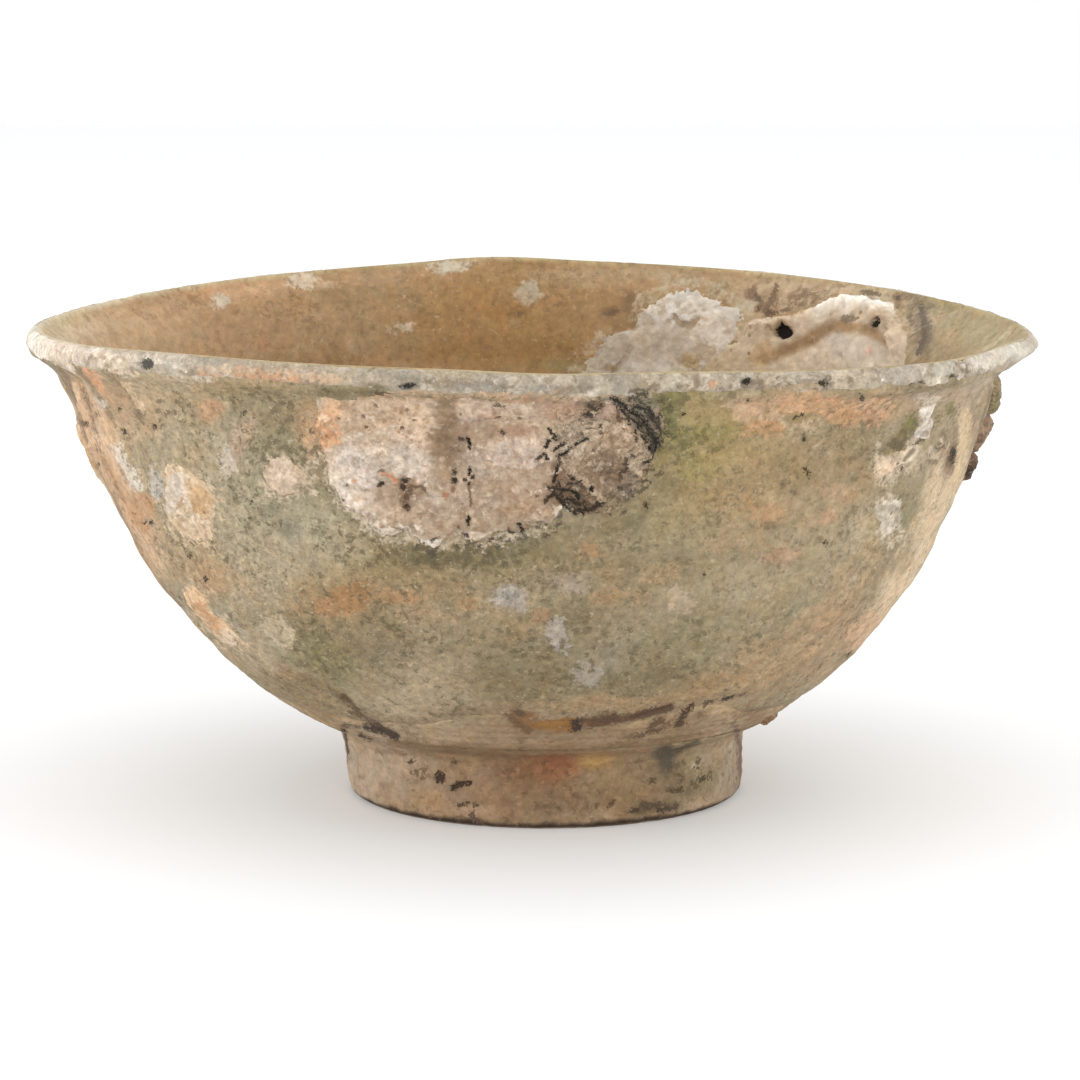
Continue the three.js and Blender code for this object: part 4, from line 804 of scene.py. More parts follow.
  + specks(840, 500, 60, 60, 26, (1.2, 2.0), 60, (112, 94, 66), 0.7) + specks(110, 450, 20, 70, 9, (1.0, 1.6), 61, (120, 92, 66), 0.7) + specks(600, 585, 80, 26, 24, (1.2, 2.0), 62, (110, 98, 72), 0.65) \
  + [("b", x, y, 1.5 * k, 2.1 * k, rot, (52, 40, 28), 0.9, {"edge": 0.35, "warp": 0.2, "h": -0.25}) for x, y, k, rot in (
    (87, 424, 1.2, -20), (121, 409, 0.8, 0), (124, 431, 1.1, -30), (155, 427, 1.1, 0), (98, 466, 0.9, 20), (152, 523, 1.0, 0), (146, 522, 0.8, 0),
    (190, 556, 1.0, 10), (207, 579, 1.1, 0), (245, 413, 1.0, 40), (252, 502, 0.8, 0), (640, 402, 0.8, 0), (748, 401, 0.8, 0), (862, 397, 0.9, 0),
    (809, 474, 0.9, 0), (806, 470, 0.7, 0), (903, 470, 0.8, 0), (955, 462, 1.2, 14), (647, 505, 1.1, 0), (705, 575, 0.6, 0), (684, 415, 1.0, 30), (797, 418, 1.2, 60),
    (803, 416, 0.9, 0), (805, 439, 1.0, 0), (825, 542, 0.7, 0), (851, 656, 1.9, 60))]

FOOT_MARKS = [
    ("b", 380, 770, 40, 40, 0, (174, 152, 130), 0.8, {"edge": 0.8}), ("b", 440, 800, 60, 20, 4, (157, 130, 104), 0.8, {"edge": 0.8}),
    ("b", 520, 780, 60, 40, 0, (132, 102, 76), 0.85, {"edge": 0.8}), ("b", 545, 765, 36, 15, -8, (134, 97, 68), 0.9, {"edge": 0.7}), ("b", 565, 762, 18, 9, -6, (140, 92, 62), 0.7, {"edge": 0.8}),
    ("b", 598, 761, 18, 9, -6, (166, 130, 80), 0.85, {"edge": 0.8}), ("b", 570, 800, 60, 18, 0, (136, 109, 81), 0.7, {"edge": 0.8}),
    ("b", 630, 780, 40, 28, 0, (136, 111, 82), 0.75, {"edge": 0.8}), ("b", 724, 762, 20, 36, 0, (166, 146, 122), 0.8, {"edge": 0.7}),
    ("b", 360, 790, 16, 12, 30, (186, 162, 144), 0.6, {"edge": 0.8}), ("b", 475, 812, 24, 6, 4, (186, 150, 118), 0.6, {"edge": 0.8}), ("b", 425, 800, 14, 8, 0, (164, 130, 94), 0.7, {"edge": 0.8}),
    ("b", 485, 790, 18, 10, 0, (160, 130, 102), 0.6, {"edge": 0.8}), ("b", 505, 810, 20, 8, 0, (150, 122, 96), 0.6, {"edge": 0.8}),
    # grey smear and its tail, clusters of dark grains round pale ones
    ("b", 668, 758, 8, 14, 8, (72, 64, 55), 0.9, {"edge": 0.7, "layer": 0}), ("b", 662, 752, 9, 8, 0, (92, 82, 70), 0.75, {"edge": 0.7, "layer": 0}), ("s", [(672, 754), (682, 748), (698, 742)], 3.0, (88, 76, 62), 0.8, {"edge": 0.8, "layer": 0}),
    ("b", 694, 774, 22, 18, 0, (126, 108, 82), 0.75, {"edge": 0.8, "layer": 0}), ("s", [(690, 780), (689, 792)], 3.0, (96, 84, 66), 0.75, {"edge": 0.8, "layer": 0}), ("b", 655, 807, 24, 5, -2, (104, 86, 66), 0.7, {"edge": 0.8, "layer": 0}),
    # the tints at (532, 745) and (628, 743) are painted light, lifting the shade in the crease above the foot
    ("b", 532, 745, 34, 7, 0, (160, 136, 108), 0.7, {"edge": 0.9, "layer": 0}), ("b", 628, 743, 34, 7, -6, (166, 143, 113), 0.7, {"edge": 0.9, "layer": 0}), ("b", 678, 781, 26, 20, 0, (112, 95, 74), 0.5, {"edge": 0.9, "layer": 0}), ("b", 732, 788, 10, 20, 0, (148, 130, 112), 0.6, {"edge": 0.9, "layer": 0}), ("b", 346, 766, 8, 24, 0, (196, 178, 158), 0.6, {"edge": 0.9, "layer": 0}), ("b", 695, 767, 2.2, 2.0, 0, (182, 166, 138), 0.7, {"layer": 1}), ("b", 698, 775, 2.0, 2.0, 0, (176, 160, 134), 0.65, {"layer": 1}), ("b", 557, 767, 19, 12, -6, (148, 98, 68), 0.85, {"edge": 0.8, "layer": 0}), ("b", 596, 760, 17, 7, -4, (180, 144, 94), 0.85, {"edge": 0.8, "layer": 0}), ("b", 667, 760, 8, 14, 6, (88, 78, 66), 0.8, {"edge": 0.7, "layer": 0}), ("b", 700, 770, 16, 22, 0, (142, 128, 98), 0.6, {"edge": 0.8, "layer": 0}), ("b", 706, 760, 6, 5, 0, (172, 152, 126), 0.6, {"layer": 0}),
    ("b", 653, 781, 3.4, 2.4, -20, (74, 60, 48), 0.85), ("b", 671, 790, 3.2, 2.2, 0, (70, 60, 40), 0.85), ("b", 679, 789, 3.4, 2.6, -20, (66, 56, 38), 0.85), ("b", 702, 778, 3.4, 2.2, 10, (62, 54, 40), 0.85), ("b", 708, 777, 2.2, 1.8, 0, (70, 60, 46), 0.8),
    ("b", 636, 810, 4.4, 2.4, 0, (66, 54, 42), 0.9), ("s", [(642, 804), (650, 806), (660, 805)], 2.2, (78, 64, 50), 0.85, {"warp": 0.9}), ("b", 661, 811, 3.4, 2.4, 0, (62, 52, 40), 0.88), ("b", 669, 808, 3, 2.6, 0, (66, 56, 44), 0.85), ("b", 676, 807, 1.8, 3.4, 0, (76, 62, 48), 0.85),
    ("s", [(609, 807), (612, 804), (614, 801)], 1.5, (78, 60, 44), 0.85), ("b", 597, 806, 2.2, 1.8, 0, (88, 68, 50), 0.85), ("s", [(735, 726), (739, 742), (741, 765), (743, 788)], 2.6, (104, 82, 74), 0.8, {"layer": 1}), ("b", 741, 788, 3, 4, 0, (92, 74, 64), 0.8, {"layer": 1}),
    # pits and dashes on the left
    ("s", [(343, 732), (344, 742), (346, 752)], 3.0, (62, 50, 40), 0.92, {"h": -0.3}), ("b", 347, 760, 2, 5, 0, (110, 90, 70), 0.7, {"layer": 1}),
    ("b", 439, 778, 4.8, 5.2, 0, (64, 48, 38), 0.95, {"h": -0.6, "edge": 0.35, "warp": 0.3}), ("s", [(453, 788), (460, 785), (469, 783)], 2.6, (62, 47, 35), 0.95, {"h": -0.5, "warp": 0.5}),
    ("b", 424, 771, 2.4, 2.2, 0, (104, 82, 58), 0.8), ("b", 423, 778, 2.2, 1.6, 20, (92, 72, 52), 0.8), ("b", 429, 776, 2.0, 1.4, 0, (110, 88, 64), 0.7), ("b", 411, 762, 2.2, 2.0, 0, (74, 58, 42), 0.9), ("b", 455, 762, 2.0, 2.2, 30, (78, 62, 46), 0.9),
    ("b", 360, 777, 2.8, 2.2, 0, (112, 92, 76), 0.75), ("b", 384, 787, 5, 4, 0, (132, 112, 96), 0.6, {"layer": 0, "edge": 0.8}), ("s", [(415, 783), (420, 780)], 1.4, (128, 104, 80), 0.6),
    ("s", [(459, 805), (468, 804)], 1.4, (70, 54, 40), 0.88), ("b", 476, 805, 2.2, 1.9, 0, (72, 56, 42), 0.9), ("s", [(472, 814), (474, 820), (481, 822)], 1.9, (84, 66, 54), 0.88), ("b", 508, 821, 2.8, 2.4, 0, (100, 80, 62), 0.8), ("b", 524, 826, 4, 1.8, 0, (72, 58, 46), 0.85),
    ("s", [(503, 771), (513, 770)], 1.4, (104, 78, 56), 0.75), ("b", 525, 794, 2.2, 1.8, 0, (100, 78, 58), 0.8), ("b", 523, 777, 1.8, 1.6, 0, (104, 80, 58), 0.75), ("b", 404, 755, 1.6, 1.4, 0, (110, 88, 64), 0.7),
    ("s", [(404, 746), (440, 751), (480, 753)], 2.0, (116, 96, 72), 0.6, {"broken": 0.4, "layer": 1}), ("s", [(376, 751), (430, 757), (470, 759)], 1.3, (136, 112, 86), 0.5, {"layer": 1}), ("s", [(520, 756), (600, 753), (650, 748)], 1.6, (130, 98, 70), 0.5, {"layer": 1}),
] + specks(694, 772, 18, 16, 14, (0.9, 1.6), 5, (82, 68, 50), 0.8) + specks(655, 806, 22, 4, 10, (0.9, 1.6), 6, (74, 60, 46), 0.8) + specks(560, 785, 60, 24, 14, (0.8, 1.3), 9, (96, 76, 56), 0.75) + specks(440, 818, 70, 4, 8, (0.9, 1.5), 10, (96, 78, 60), 0.7)

LIP_MARKS = [
    ("b", 46, 343, 34, 20, 0, (248, 239, 226), 0.95, {"edge": 0.6}), ("b", 96, 352, 46, 12, 8, (231, 212, 196), 0.9, {"edge": 0.7}),
    ("b", 180, 362, 50, 9, 6, (184, 170, 153), 0.85, {"edge": 0.7}), ("b", 300, 372, 70, 8, 4, (178, 160, 137), 0.75, {"edge": 0.8}), ("b", 160, 368, 18, 4, 6, (168, 154, 138), 0.7), ("b", 174, 357, 20, 4, 6, (200, 188, 172), 0.7),
    ("b", 110, 348, 30, 4, 8, (180, 168, 152), 0.6), ("b", 215, 359, 30, 4, 5, (160, 148, 132), 0.7), ("b", 430, 380, 50, 8, 2, (148, 138, 124), 0.85, {"edge": 0.7}), ("b", 450, 374, 24, 2.4, 2, (176, 160, 132), 0.7),
    ("b", 520, 384, 60, 7, 1, (171, 156, 137), 0.75, {"edge": 0.7}), ("b", 480, 386, 20, 4, 0, (152, 144, 134), 0.7), ("b", 545, 388, 16, 4, 0, (164, 156, 146), 0.7),
    ("b", 690, 383, 60, 7, -1, (178, 163, 145), 0.8, {"edge": 0.7}), ("b", 800, 381, 60, 8, -4, (152, 137, 119), 0.9, {"edge": 0.7}), ("b", 640, 384, 26, 7, 0, (162, 152, 134), 0.7, {"edge": 0.7}), ("b", 790, 375, 30, 2.4, -3, (190, 176, 156), 0.7),
    ("b", 905, 372, 26, 9, -8, (184, 172, 156), 0.85, {"edge": 0.35, "h": 0.12}), ("b", 944, 367, 14, 9, -8, (184, 177, 163), 0.85, {"edge": 0.35, "h": 0.1}), ("b", 940, 361, 20, 3, -10, (206, 194, 176), 0.7),
    ("b", 986, 358, 26, 10, -14, (214, 205, 192), 0.85, {"edge": 0.4, "h": 0.12}), ("b", 1018, 346, 20, 12, -20, (230, 221, 208), 0.85, {"edge": 0.6}), ("b", 1030, 338, 10, 12, 0, (184, 168, 150), 0.6, {"layer": 0}),
    ("s", [(200, 375), (213, 377)], 3.0, (206, 158, 122), 0.6, {"layer": 0, "edge": 0.8}), ("s", [(236, 374), (262, 377), (296, 381)], 3.6, (196, 156, 122), 0.6, {"layer": 0, "edge": 0.8}), ("b", 250, 365, 34, 5, 5, (176, 160, 140), 0.75),
    ("b", 330, 380, 14, 4, 4, (204, 170, 138), 0.7), ("b", 712, 384, 6, 4, 0, (198, 150, 116), 0.8), ("b", 800, 387, 30, 3, -5, (168, 144, 114), 0.7),
    ("b", 148, 364, 6.5, 5.5, 0, (74, 72, 66), 0.95, {"h": -0.5, "edge": 0.3, "warp": 0.3}), ("b", 409, 386, 7.5, 2.6, -3, (44, 40, 34), 0.98, {"h": -0.6, "edge": 0.3, "warp": 0.3}),
    ("b", 747, 381, 4.4, 3.8, 0, (40, 34, 28), 0.98, {"h": -0.6, "edge": 0.3, "warp": 0.3}), ("b", 824, 383, 4.6, 2.8, -8, (56, 46, 36), 0.95, {"h": -0.4, "edge": 0.3}),
    ("b", 912, 386, 4, 3, 0, (66, 56, 40), 0.95, {"h": -0.4}), ("b", 922, 384, 4, 3, 0, (76, 64, 46), 0.9, {"h": -0.3}), ("b", 954, 378, 4, 3.4, 0, (76, 68, 48), 0.95, {"h": -0.4}),
    ("b", 697, 384, 4, 8, 0, (140, 122, 104), 0.8, {"h": -0.35}), ("b", 888, 374, 3, 10, 0, (156, 140, 124), 0.8, {"h": -0.3}), ("b", 931, 368, 3, 9, 10, (160, 148, 132), 0.8, {"h": -0.3}),
    # the dark marks at (380, 388), (350, 389) and (642, 391) are painted shade under the lip's lower edge
    ("b", 960, 365, 3, 10, 16, (164, 150, 132), 0.8, {"h": -0.3}), ("b", 1000, 368, 14, 4, -40, (150, 132, 110), 0.6), ("b", 380, 388, 10, 3, 10, (110, 98, 72), 0.7, {"h": -0.3}),
    ("b", 350, 389, 18, 3, 3, (146, 134, 98), 0.7), ("b", 505, 386, 3, 6, 20, (132, 124, 112), 0.7, {"h": -0.25}), ("b", 590, 388, 5, 3, 0, (118, 104, 88), 0.7),
    ("b", 642, 391, 10, 2, 0, (84, 75, 62), 0.75), ("b", 560, 390, 14, 3, 0, (160, 136, 112), 0.6), ("b", 60, 366, 8, 4, 40, (166, 140, 116), 0.6),
    ("b", 856, 381, 30, 7, -5, (216, 198, 173), 0.7, {"edge": 0.9, "layer": 0}), ("b", 376, 383, 22, 7, 4, (190, 172, 150), 0.6, {"edge": 0.9, "layer": 0}), ("b", 460, 381, 26, 7, 2, (150, 130, 106), 0.75, {"edge": 0.9, "layer": 0}), ("b", 304, 381, 22, 6, 4, (188, 150, 117), 0.6, {"edge": 0.9, "layer": 0}), ("b", 88, 357, 28, 8, 10, (216, 191, 167), 0.6, {"edge": 0.9, "layer": 0}), ("b", 720, 384, 50, 6, -1, (166, 149, 128), 0.35, {"edge": 0.9, "layer": 0}), ("b", 676, 383, 20, 7, 0, (200, 184, 161), 0.6, {"edge": 0.9, "layer": 0})] + crumbs([(198, 376), (217, 378)], 10, (1.4, 3.0), 4, 82, (208, 154, 116), 0.75, layer=1) + crumbs([(233, 372), (262, 377), (297, 381)], 30, (1.2, 2.8), 7, 83, (206, 152, 114), 0.75, layer=1) \
  + crumbs([(640, 378), (700, 381), (780, 379), (860, 374)], 40, (1.4, 3.6), 8, 84, (206, 193, 174), 0.6, layer=1) + crumbs([(640, 386), (700, 388), (780, 386), (870, 381)], 44, (1.2, 3.2), 7, 85, (118, 103, 85), 0.85, layer=1) + crumbs([(420, 378), (500, 383), (600, 384)], 34, (1.4, 3.6), 7, 86, (196, 184, 168), 0.7, layer=1) + crumbs([(420, 386), (500, 389), (600, 390)], 34, (1.2, 3.0), 5, 87, (130, 120, 104), 0.65, layer=1) \
  + crumbs([(60, 349), (150, 362), (190, 366)], 34, (1.1, 2.8), 7, 95, (240, 228, 212), 0.65, layer=1) + crumbs([(190, 366), (250, 371), (330, 376)], 24, (1.0, 2.4), 7, 99, (226, 198, 170), 0.6, layer=1) + crumbs([(200, 370), (280, 374), (335, 378)], 20, (1.0, 2.2), 6, 100, (206, 152, 112), 0.55, layer=1) + crumbs([(90, 358), (160, 368), (250, 375), (330, 380)], 46, (0.9, 2.2), 6, 96, (132, 117, 98), 0.75, layer=1) + crumbs([(880, 378), (930, 371), (985, 360), (1024, 348)], 40, (1.1, 2.8), 8, 97, (232, 222, 208), 0.65, layer=1) + crumbs([(880, 382), (930, 376), (985, 366)], 30, (0.9, 2.2), 7, 98, (124, 110, 90), 0.75, layer=1)

INSIDE_MARKS = [
    ("b", 120, 325, 90, 26, 8, (196, 163, 127), 0.9, {"edge": 0.8}), ("b", 240, 286, 60, 12, -6, (208, 165, 129), 0.8, {"edge": 0.8}),
    ("b", 190, 312, 50, 10, 0, (190, 154, 118), 0.6, {"edge": 0.8}), ("b", 60, 322, 24, 12, -20, (206, 186, 146), 0.8, {"edge": 0.7}),
    ("b", 270, 330, 70, 22, 3, (172, 138, 102), 0.7, {"edge": 0.9}), ("b", 380, 275, 80, 10, -3, (178, 145, 111), 0.8, {"edge": 0.8}),
    ("b", 370, 320, 60, 26, 0, (164, 136, 100), 0.7, {"edge": 0.9}), ("b", 500, 320, 80, 40, 0, (163, 122, 70), 0.9, {"edge": 0.8}),
    ("b", 520, 352, 90, 18, 2, (156, 118, 66), 0.85, {"edge": 0.8}), ("b", 450, 330, 40, 20, 0, (162, 124, 78), 0.6, {"edge": 0.9}),
    ("b", 570, 300, 50, 22, 0, (156, 122, 80), 0.7, {"edge": 0.8}), ("b", 600, 275, 60, 9, 0, (172, 144, 110), 0.8, {"edge": 0.8}),
    ("b", 570, 366, 40, 6, 1, (150, 132, 88), 0.8, {"edge": 0.8}), ("b", 680, 274, 60, 7, 4, (176, 150, 118), 0.8, {"edge": 0.8}),
    ("b", 735, 285, 40, 12, 8, (172, 146, 112), 0.8, {"edge": 0.8}), ("b", 810, 288, 60, 12, 10, (178, 148, 112), 0.8, {"edge": 0.7}),
    ("b", 770, 300, 24, 10, 0, (154, 126, 97), 0.85, {"layer": 0, "edge": 0.8}), ("b", 802, 300, 26, 9, -8, (166, 142, 114), 0.8, {"layer": 0, "edge": 0.8}), ("b", 842, 288, 34, 7, 2, (190, 166, 144), 0.8, {"layer": 0, "edge": 0.8}),
    ("b", 745, 299, 16, 8, 0, (188, 162, 136), 0.8, {"layer": 0, "edge": 0.8}), ("b", 722, 291, 18, 7, 8, (172, 150, 118), 0.7, {"layer": 0, "edge": 0.8}), ("b", 880, 291, 24, 5, 8, (176, 152, 128), 0.7, {"layer": 0, "edge": 0.8}),
    ("s", [(764, 311), (768, 306), (772, 296), (774, 290)], 2.4, (104, 80, 58), 0.85), ("b", 768, 312, 7, 3, -8, (70, 54, 40), 0.9), ("s", [(748, 292), (752, 296), (756, 299)], 2.0, (96, 74, 54), 0.85), ("b", 757, 308, 3, 4, 10, (86, 66, 48), 0.85),
    ("b", 786, 309, 6, 2.6, -10, (104, 80, 58), 0.8), ("b", 800, 304, 5, 2.4, -10, (110, 84, 62), 0.75), ("s", [(812, 302), (818, 297)], 1.8, (128, 88, 64), 0.8), ("b", 792, 297, 5, 2, 0, (120, 94, 70), 0.7), ("b", 830, 294, 5, 1.8, 0, (120, 98, 76), 0.7),
    ("b", 626, 300, 8, 8, 0, (128, 100, 68), 0.7, {"layer": 0, "edge": 0.8}), ("b", 612, 312, 10, 5, -10, (116, 88, 56), 0.7, {"layer": 0, "edge": 0.8}),
    ("b", 945, 325, 50, 24, 14, (180, 163, 130), 0.9, {"edge": 0.7}), ("b", 985, 335, 40, 16, 20, (178, 162, 128), 0.8, {"edge": 0.7}),
    ("b", 921, 330, 10, 28, -2, (134, 117, 97), 0.75, {"layer": 0, "edge": 0.8}), ("s", [(921, 306), (924, 322), (923, 340), (918, 354)], 2.6, (92, 80, 66), 0.85, {"warp": 0.9}), ("s", [(930, 322), (929, 340)], 1.8, (106, 94, 78), 0.75), ("b", 922, 346, 20, 6, 0, (134, 118, 97), 0.75, {"layer": 0, "edge": 0.8}), ("b", 905, 300, 16, 9, 20, (152, 128, 102), 0.75, {"layer": 0, "edge": 0.8}),
    ("s", [(915, 300), (917, 316), (916, 332)], 1.6, (112, 100, 84), 0.6, {"warp": 1.2}), ("s", [(926, 318), (925, 336), (921, 350)], 1.4, (118, 104, 86), 0.55, {"warp": 1.2}), *crumbs([(912, 294), (919, 316), (922, 348)], 30, (0.8, 2.0), 10, 104, (98, 86, 70), 0.7, layer=1), *crumbs([(908, 296), (916, 316), (918, 340)], 18, (1.4, 3.2), 14, 105, (206, 190, 164), 0.5, layer=1), ("b", 910, 318, 3, 5, 0, (104, 88, 70), 0.75), ("b", 930, 306, 5, 2, 20, (118, 100, 80), 0.7),
    ("b", 950, 338, 14, 8, 0, (190, 158, 122), 0.6, {"layer": 0, "edge": 0.8}),
    ("b", 950, 350, 16, 5, 0, (172, 150, 116), 0.6), ("b", 940, 318, 8, 5, 0, (196, 168, 134), 0.6), ("s", [(984, 350), (1000, 338), (1014, 330)], 1.8, (206, 186, 152), 0.8),
    # pale lime spots and dark flecks
    ("b", 219, 301, 9, 6, 0, (208, 190, 170), 0.9, {"edge": 0.3}), ("b", 304, 281, 14, 8, 0, (210, 195, 176), 0.95, {"edge": 0.3, "h": 0.06}), ("b", 325, 285, 10, 3, 0, (196, 176, 152), 0.6),
    ("b", 450, 266, 17, 6, -4, (200, 190, 174), 0.95, {"edge": 0.3, "h": 0.06}), ("b", 527, 294, 11, 14, 20, (184, 168, 148), 0.85, {"edge": 0.35}),
    ("b", 515, 322, 6, 5, 0, (170, 150, 116), 0.5), ("b", 404, 326, 7, 4, -10, (206, 188, 168), 0.9, {"edge": 0.3}), ("b", 392, 330, 6, 3, 0, (190, 170, 146), 0.6),
    ("b", 517, 314, 6, 2.6, -8, (112, 84, 56), 0.85), ("b", 612, 313, 8, 2.4, -14, (98, 74, 48), 0.85), ("b", 630, 304, 5, 10, 8, (128, 100, 70), 0.8),
    ("b", 620, 325, 16, 8, 0, (140, 108, 68), 0.6), ("b", 262, 340, 5, 12, 0, (180, 132, 94), 0.6), ("b", 355, 352, 14, 5, 0, (160, 140, 108), 0.5), ("b", 540, 266, 4, 4, 0, (122, 98, 70), 0.6),
    ("b", 750, 294, 4, 8, 30, (112, 86, 62), 0.8), ("b", 774, 294, 3, 10, 6, (108, 82, 60), 0.85), ("b", 770, 313, 8, 3, -10, (92, 70, 50), 0.9), ("b", 759, 306, 3, 7, 10, (120, 94, 68), 0.7),
    ("b", 870, 293, 9, 3, 6, (108, 90, 70), 0.85), ("b", 897, 297, 5, 5, 0, (124, 100, 76), 0.8), ("b", 912, 294, 12, 4, 16, (130, 110, 88), 0.7), ("b", 655, 266, 20, 2.5, 3, (150, 124, 94), 0.5),
    ("b", 747, 311, 13, 9, 0, (216, 198, 178), 0.9, {"layer": 0, "edge": 0.7}), ("b", 770, 287, 28, 7, 6, (196, 171, 142), 0.75, {"layer": 0, "edge": 0.9}), ("b", 798, 287, 24, 6, 8, (196, 172, 145), 0.7, {"layer": 0, "edge": 0.9}), ("b", 916, 312, 9, 14, 0, (176, 156, 132), 0.6, {"layer": 0, "edge": 0.9}), ("b", 290, 311, 46, 14, 0, (182, 147, 109), 0.5, {"layer": 0, "edge": 0.9}), ("b", 76, 333, 22, 10, -14, (213, 194, 169), 0.6, {"layer": 0, "edge": 0.9}),
    ("b", 712, 356, 30, 20, -20, (190, 168, 140), 0.9, {"layer": 0, "edge": 0.6}), ("b", 734, 338, 22, 16, -30, (182, 158, 128), 0.9, {"layer": 0, "edge": 0.6}), ("b", 750, 322, 16, 10, -10, (178, 152, 122), 0.85, {"layer": 0, "edge": 0.6}), ("b", 800, 301, 38, 9, -14, (168, 142, 112), 0.8, {"layer": 0, "edge": 0.7}),
    ("b", 872, 293, 26, 6, 6, (208, 190, 167), 0.8, {"layer": 0, "edge": 0.7}), ("b", 908, 330, 9, 26, 0, (178, 152, 122), 0.8, {"layer": 0, "edge": 0.7}), ("s", [(752, 290), (755, 296), (759, 300)], 1.8, (88, 68, 50), 0.85), ("s", [(797, 300), (803, 294), (806, 290)], 1.6, (112, 88, 66), 0.8), ("b", 869, 293, 5, 2.2, 10, (70, 56, 42), 0.9), ("b", 898, 297, 3, 3, 0, (84, 68, 52), 0.88),
] + crumbs([(572, 373), (582, 357), (594, 345), (601, 333), (618, 331), (630, 326), (633, 316), (640, 299), (657, 292), (674, 284), (696, 283), (710, 287), (720, 297), (744, 306), (755, 314)], 120, (1.2, 2.8), 6, 81, (188, 172, 152), 0.8, layer=1) \
  + crumbs([(690, 350), (712, 344), (730, 336), (744, 324)], 40, (1.4, 3.4), 12, 88, (198, 182, 160), 0.75, layer=1) + crumbs([(700, 362), (724, 350), (744, 334)], 26, (1.2, 2.6), 14, 89, (146, 118, 86), 0.75, layer=1) + crumbs([(760, 312), (790, 306), (815, 299), (834, 291), (856, 289)], 60, (1.2, 3.0), 8, 90, (196, 174, 146), 0.75, layer=1) \
  + crumbs([(764, 306), (790, 300), (822, 292)], 26, (1.0, 2.2), 9, 92, (112, 88, 64), 0.8) + crumbs([(894, 300), (904, 318), (912, 338), (914, 356)], 34, (1.2, 2.8), 8, 93, (196, 174, 148), 0.75, layer=1)


# how the finishes are weighed against each other in the scene's light
G_WALL, G_CLAY, G_IN, G_LIP, G_CRUST, G_CHALK = (0.80, 0.795, 0.805), (0.9, 0.92, 0.92), (0.78, 0.77, 0.72), (0.79, 0.79, 0.77), (0.78, 0.78, 0.78), (0.95, 0.98, 1.0)


def ground(c, seed):
    """Worn grey-green glaze with soft olive, orange and pale clouds, fuller on the sides that no mark reaches."""
    p = c.p
    full = 1 - 0.6 * c.seen
    n1, n2 = fbm(p, 24, 3, seed), fbm(p, 9, 3, seed + 5)
    c.col = mix((151, 137, 107), (174, 157, 127), sstep(-0.45, 0.45, n1 * 0.8 + n2 * 0.5))
    c.col = mix(c.col, rgb("olive"), 0.75 * full * sstep(0.1, 0.5, fbm(p, 17, 3, seed + 9)))
    c.col = mix(c.col, rgb("orange"), 0.7 * full * sstep(0.22, 0.5, fbm(p, 8, 3, seed + 13)))
    c.col = mix(c.col, rgb("groundpale"), 0.6 * full * sstep(0.2, 0.5, fbm(p, 7, 3, seed + 17)))
    c.col = mix(c.col, rgb("lilac"), 0.7 * full * sstep(0.36, 0.46, fbm(p, 5.5, 2, seed + 21)))
    # the far side: broad runs of moss, peach and brown, lime spots and pin holes
    far = 1 - c.cloud[2]
    run = p * (1.0, 1.0, 0.55)
    c.col = mix(c.col, rgb("moss"), 0.6 * far * sstep(0.05, 0.4, fbm(p, 30, 3, seed + 25)))
    c.col = mix(c.col, rgb("peach"), 0.6 * far * sstep(0.12, 0.42, fbm(run, 22, 3, seed + 27)))
    c.col = mix(c.col, (126, 108, 80), 0.6 * far * sstep(0.14, 0.4, fbm(run, 17, 3, seed + 29)))
    f1, _, own = cells(p, 9.0, seed + 31)
    c.flecks((np.where(own > 0.72, 0.26 * own - f1 + 0.3 * fbm(p, 3.0, 3, seed + 33), -9) * 9.0) - 40 * (1 - far), (204, 190, 168), 0.85, 1)
    f1, _, own = cells(p, 5.0, seed + 35)
    c.flecks((np.where(own > 0.8, 0.10 - f1 + 0.05 * fbm(p, 1.5, 2, seed + 37), -9) * 5.0) - 40 * (1 - far), (60, 48, 34), 0.9)


def grade(c, seed, amount=1.0):
    c.mottle(3.6, 0.06 * amount, seed, 2, (0.9, 1.0, 1.12))
    c.mottle(1.5, 0.09 * amount, seed + 3, 2, (1.0, 1.0, 1.05))
    warm = fbm(c.p, 4.8, 3, seed + 7)[:, None]
    c.scale(1 + amount * warm * np.array([0.02, -0.005, -0.045]))


def inside_relief(p, t):
    return 0.22 * fbm(p, 12, 3, 412) + 0.05 * fbm(p, 3.0, 3, 413) + 0.07 * np.sin(t * 2 * np.pi / 6.5)


def wall_relief(p, t, seed):
    rings = 0.10 * np.sin(t * 2 * np.pi / 7.5 + 1.5 * fbm(p, 30, 2, seed)) * (0.6 + fbm(p, 40, 2, seed + 1))
    lumps = 0.42 * fbm(p, 9, 3, seed + 2) + 0.10 * fbm(p, 3.2, 3, seed + 3)
    return rings + lumps + 0.05 * fbm(p, 1.3, 2, seed + 5)


def glaze_edge(phi):
    """Height of the outside glaze's lower edge."""
    d = np.degrees(phi)
    off = lambda m: (d - m + 540) % 360 - 180
    z = 19.4 + 1.0 * np.sin(3 * phi + 0.6) + 0.7 * np.sin(7 * phi + 2.0) + 0.35 * np.sin(17 * phi)
    z = z + 1.6 * np.exp(-(off(-88) / 16) ** 2) + 2.6 * np.exp(-(off(-58) / 12) ** 2) - 1.6 * np.exp(-(off(-118) / 10) ** 2)
    return z


def bare_clay(p):
    col = mix((150, 126, 98), (176, 152, 122), sstep(-0.4, 0.4, fbm(p, 12, 3, 330)))
    return mix(col, rgb("claywarm"), 0.6 * sstep(0.12, 0.45, fbm(p, 8, 3, 331)))


def outside_paint(p, n):
    c = Canvas(p, n, rgb("ground"), 11, wrap=True)
    ground(c, 40)
    c.lay(WALL_MARKS)
    return c


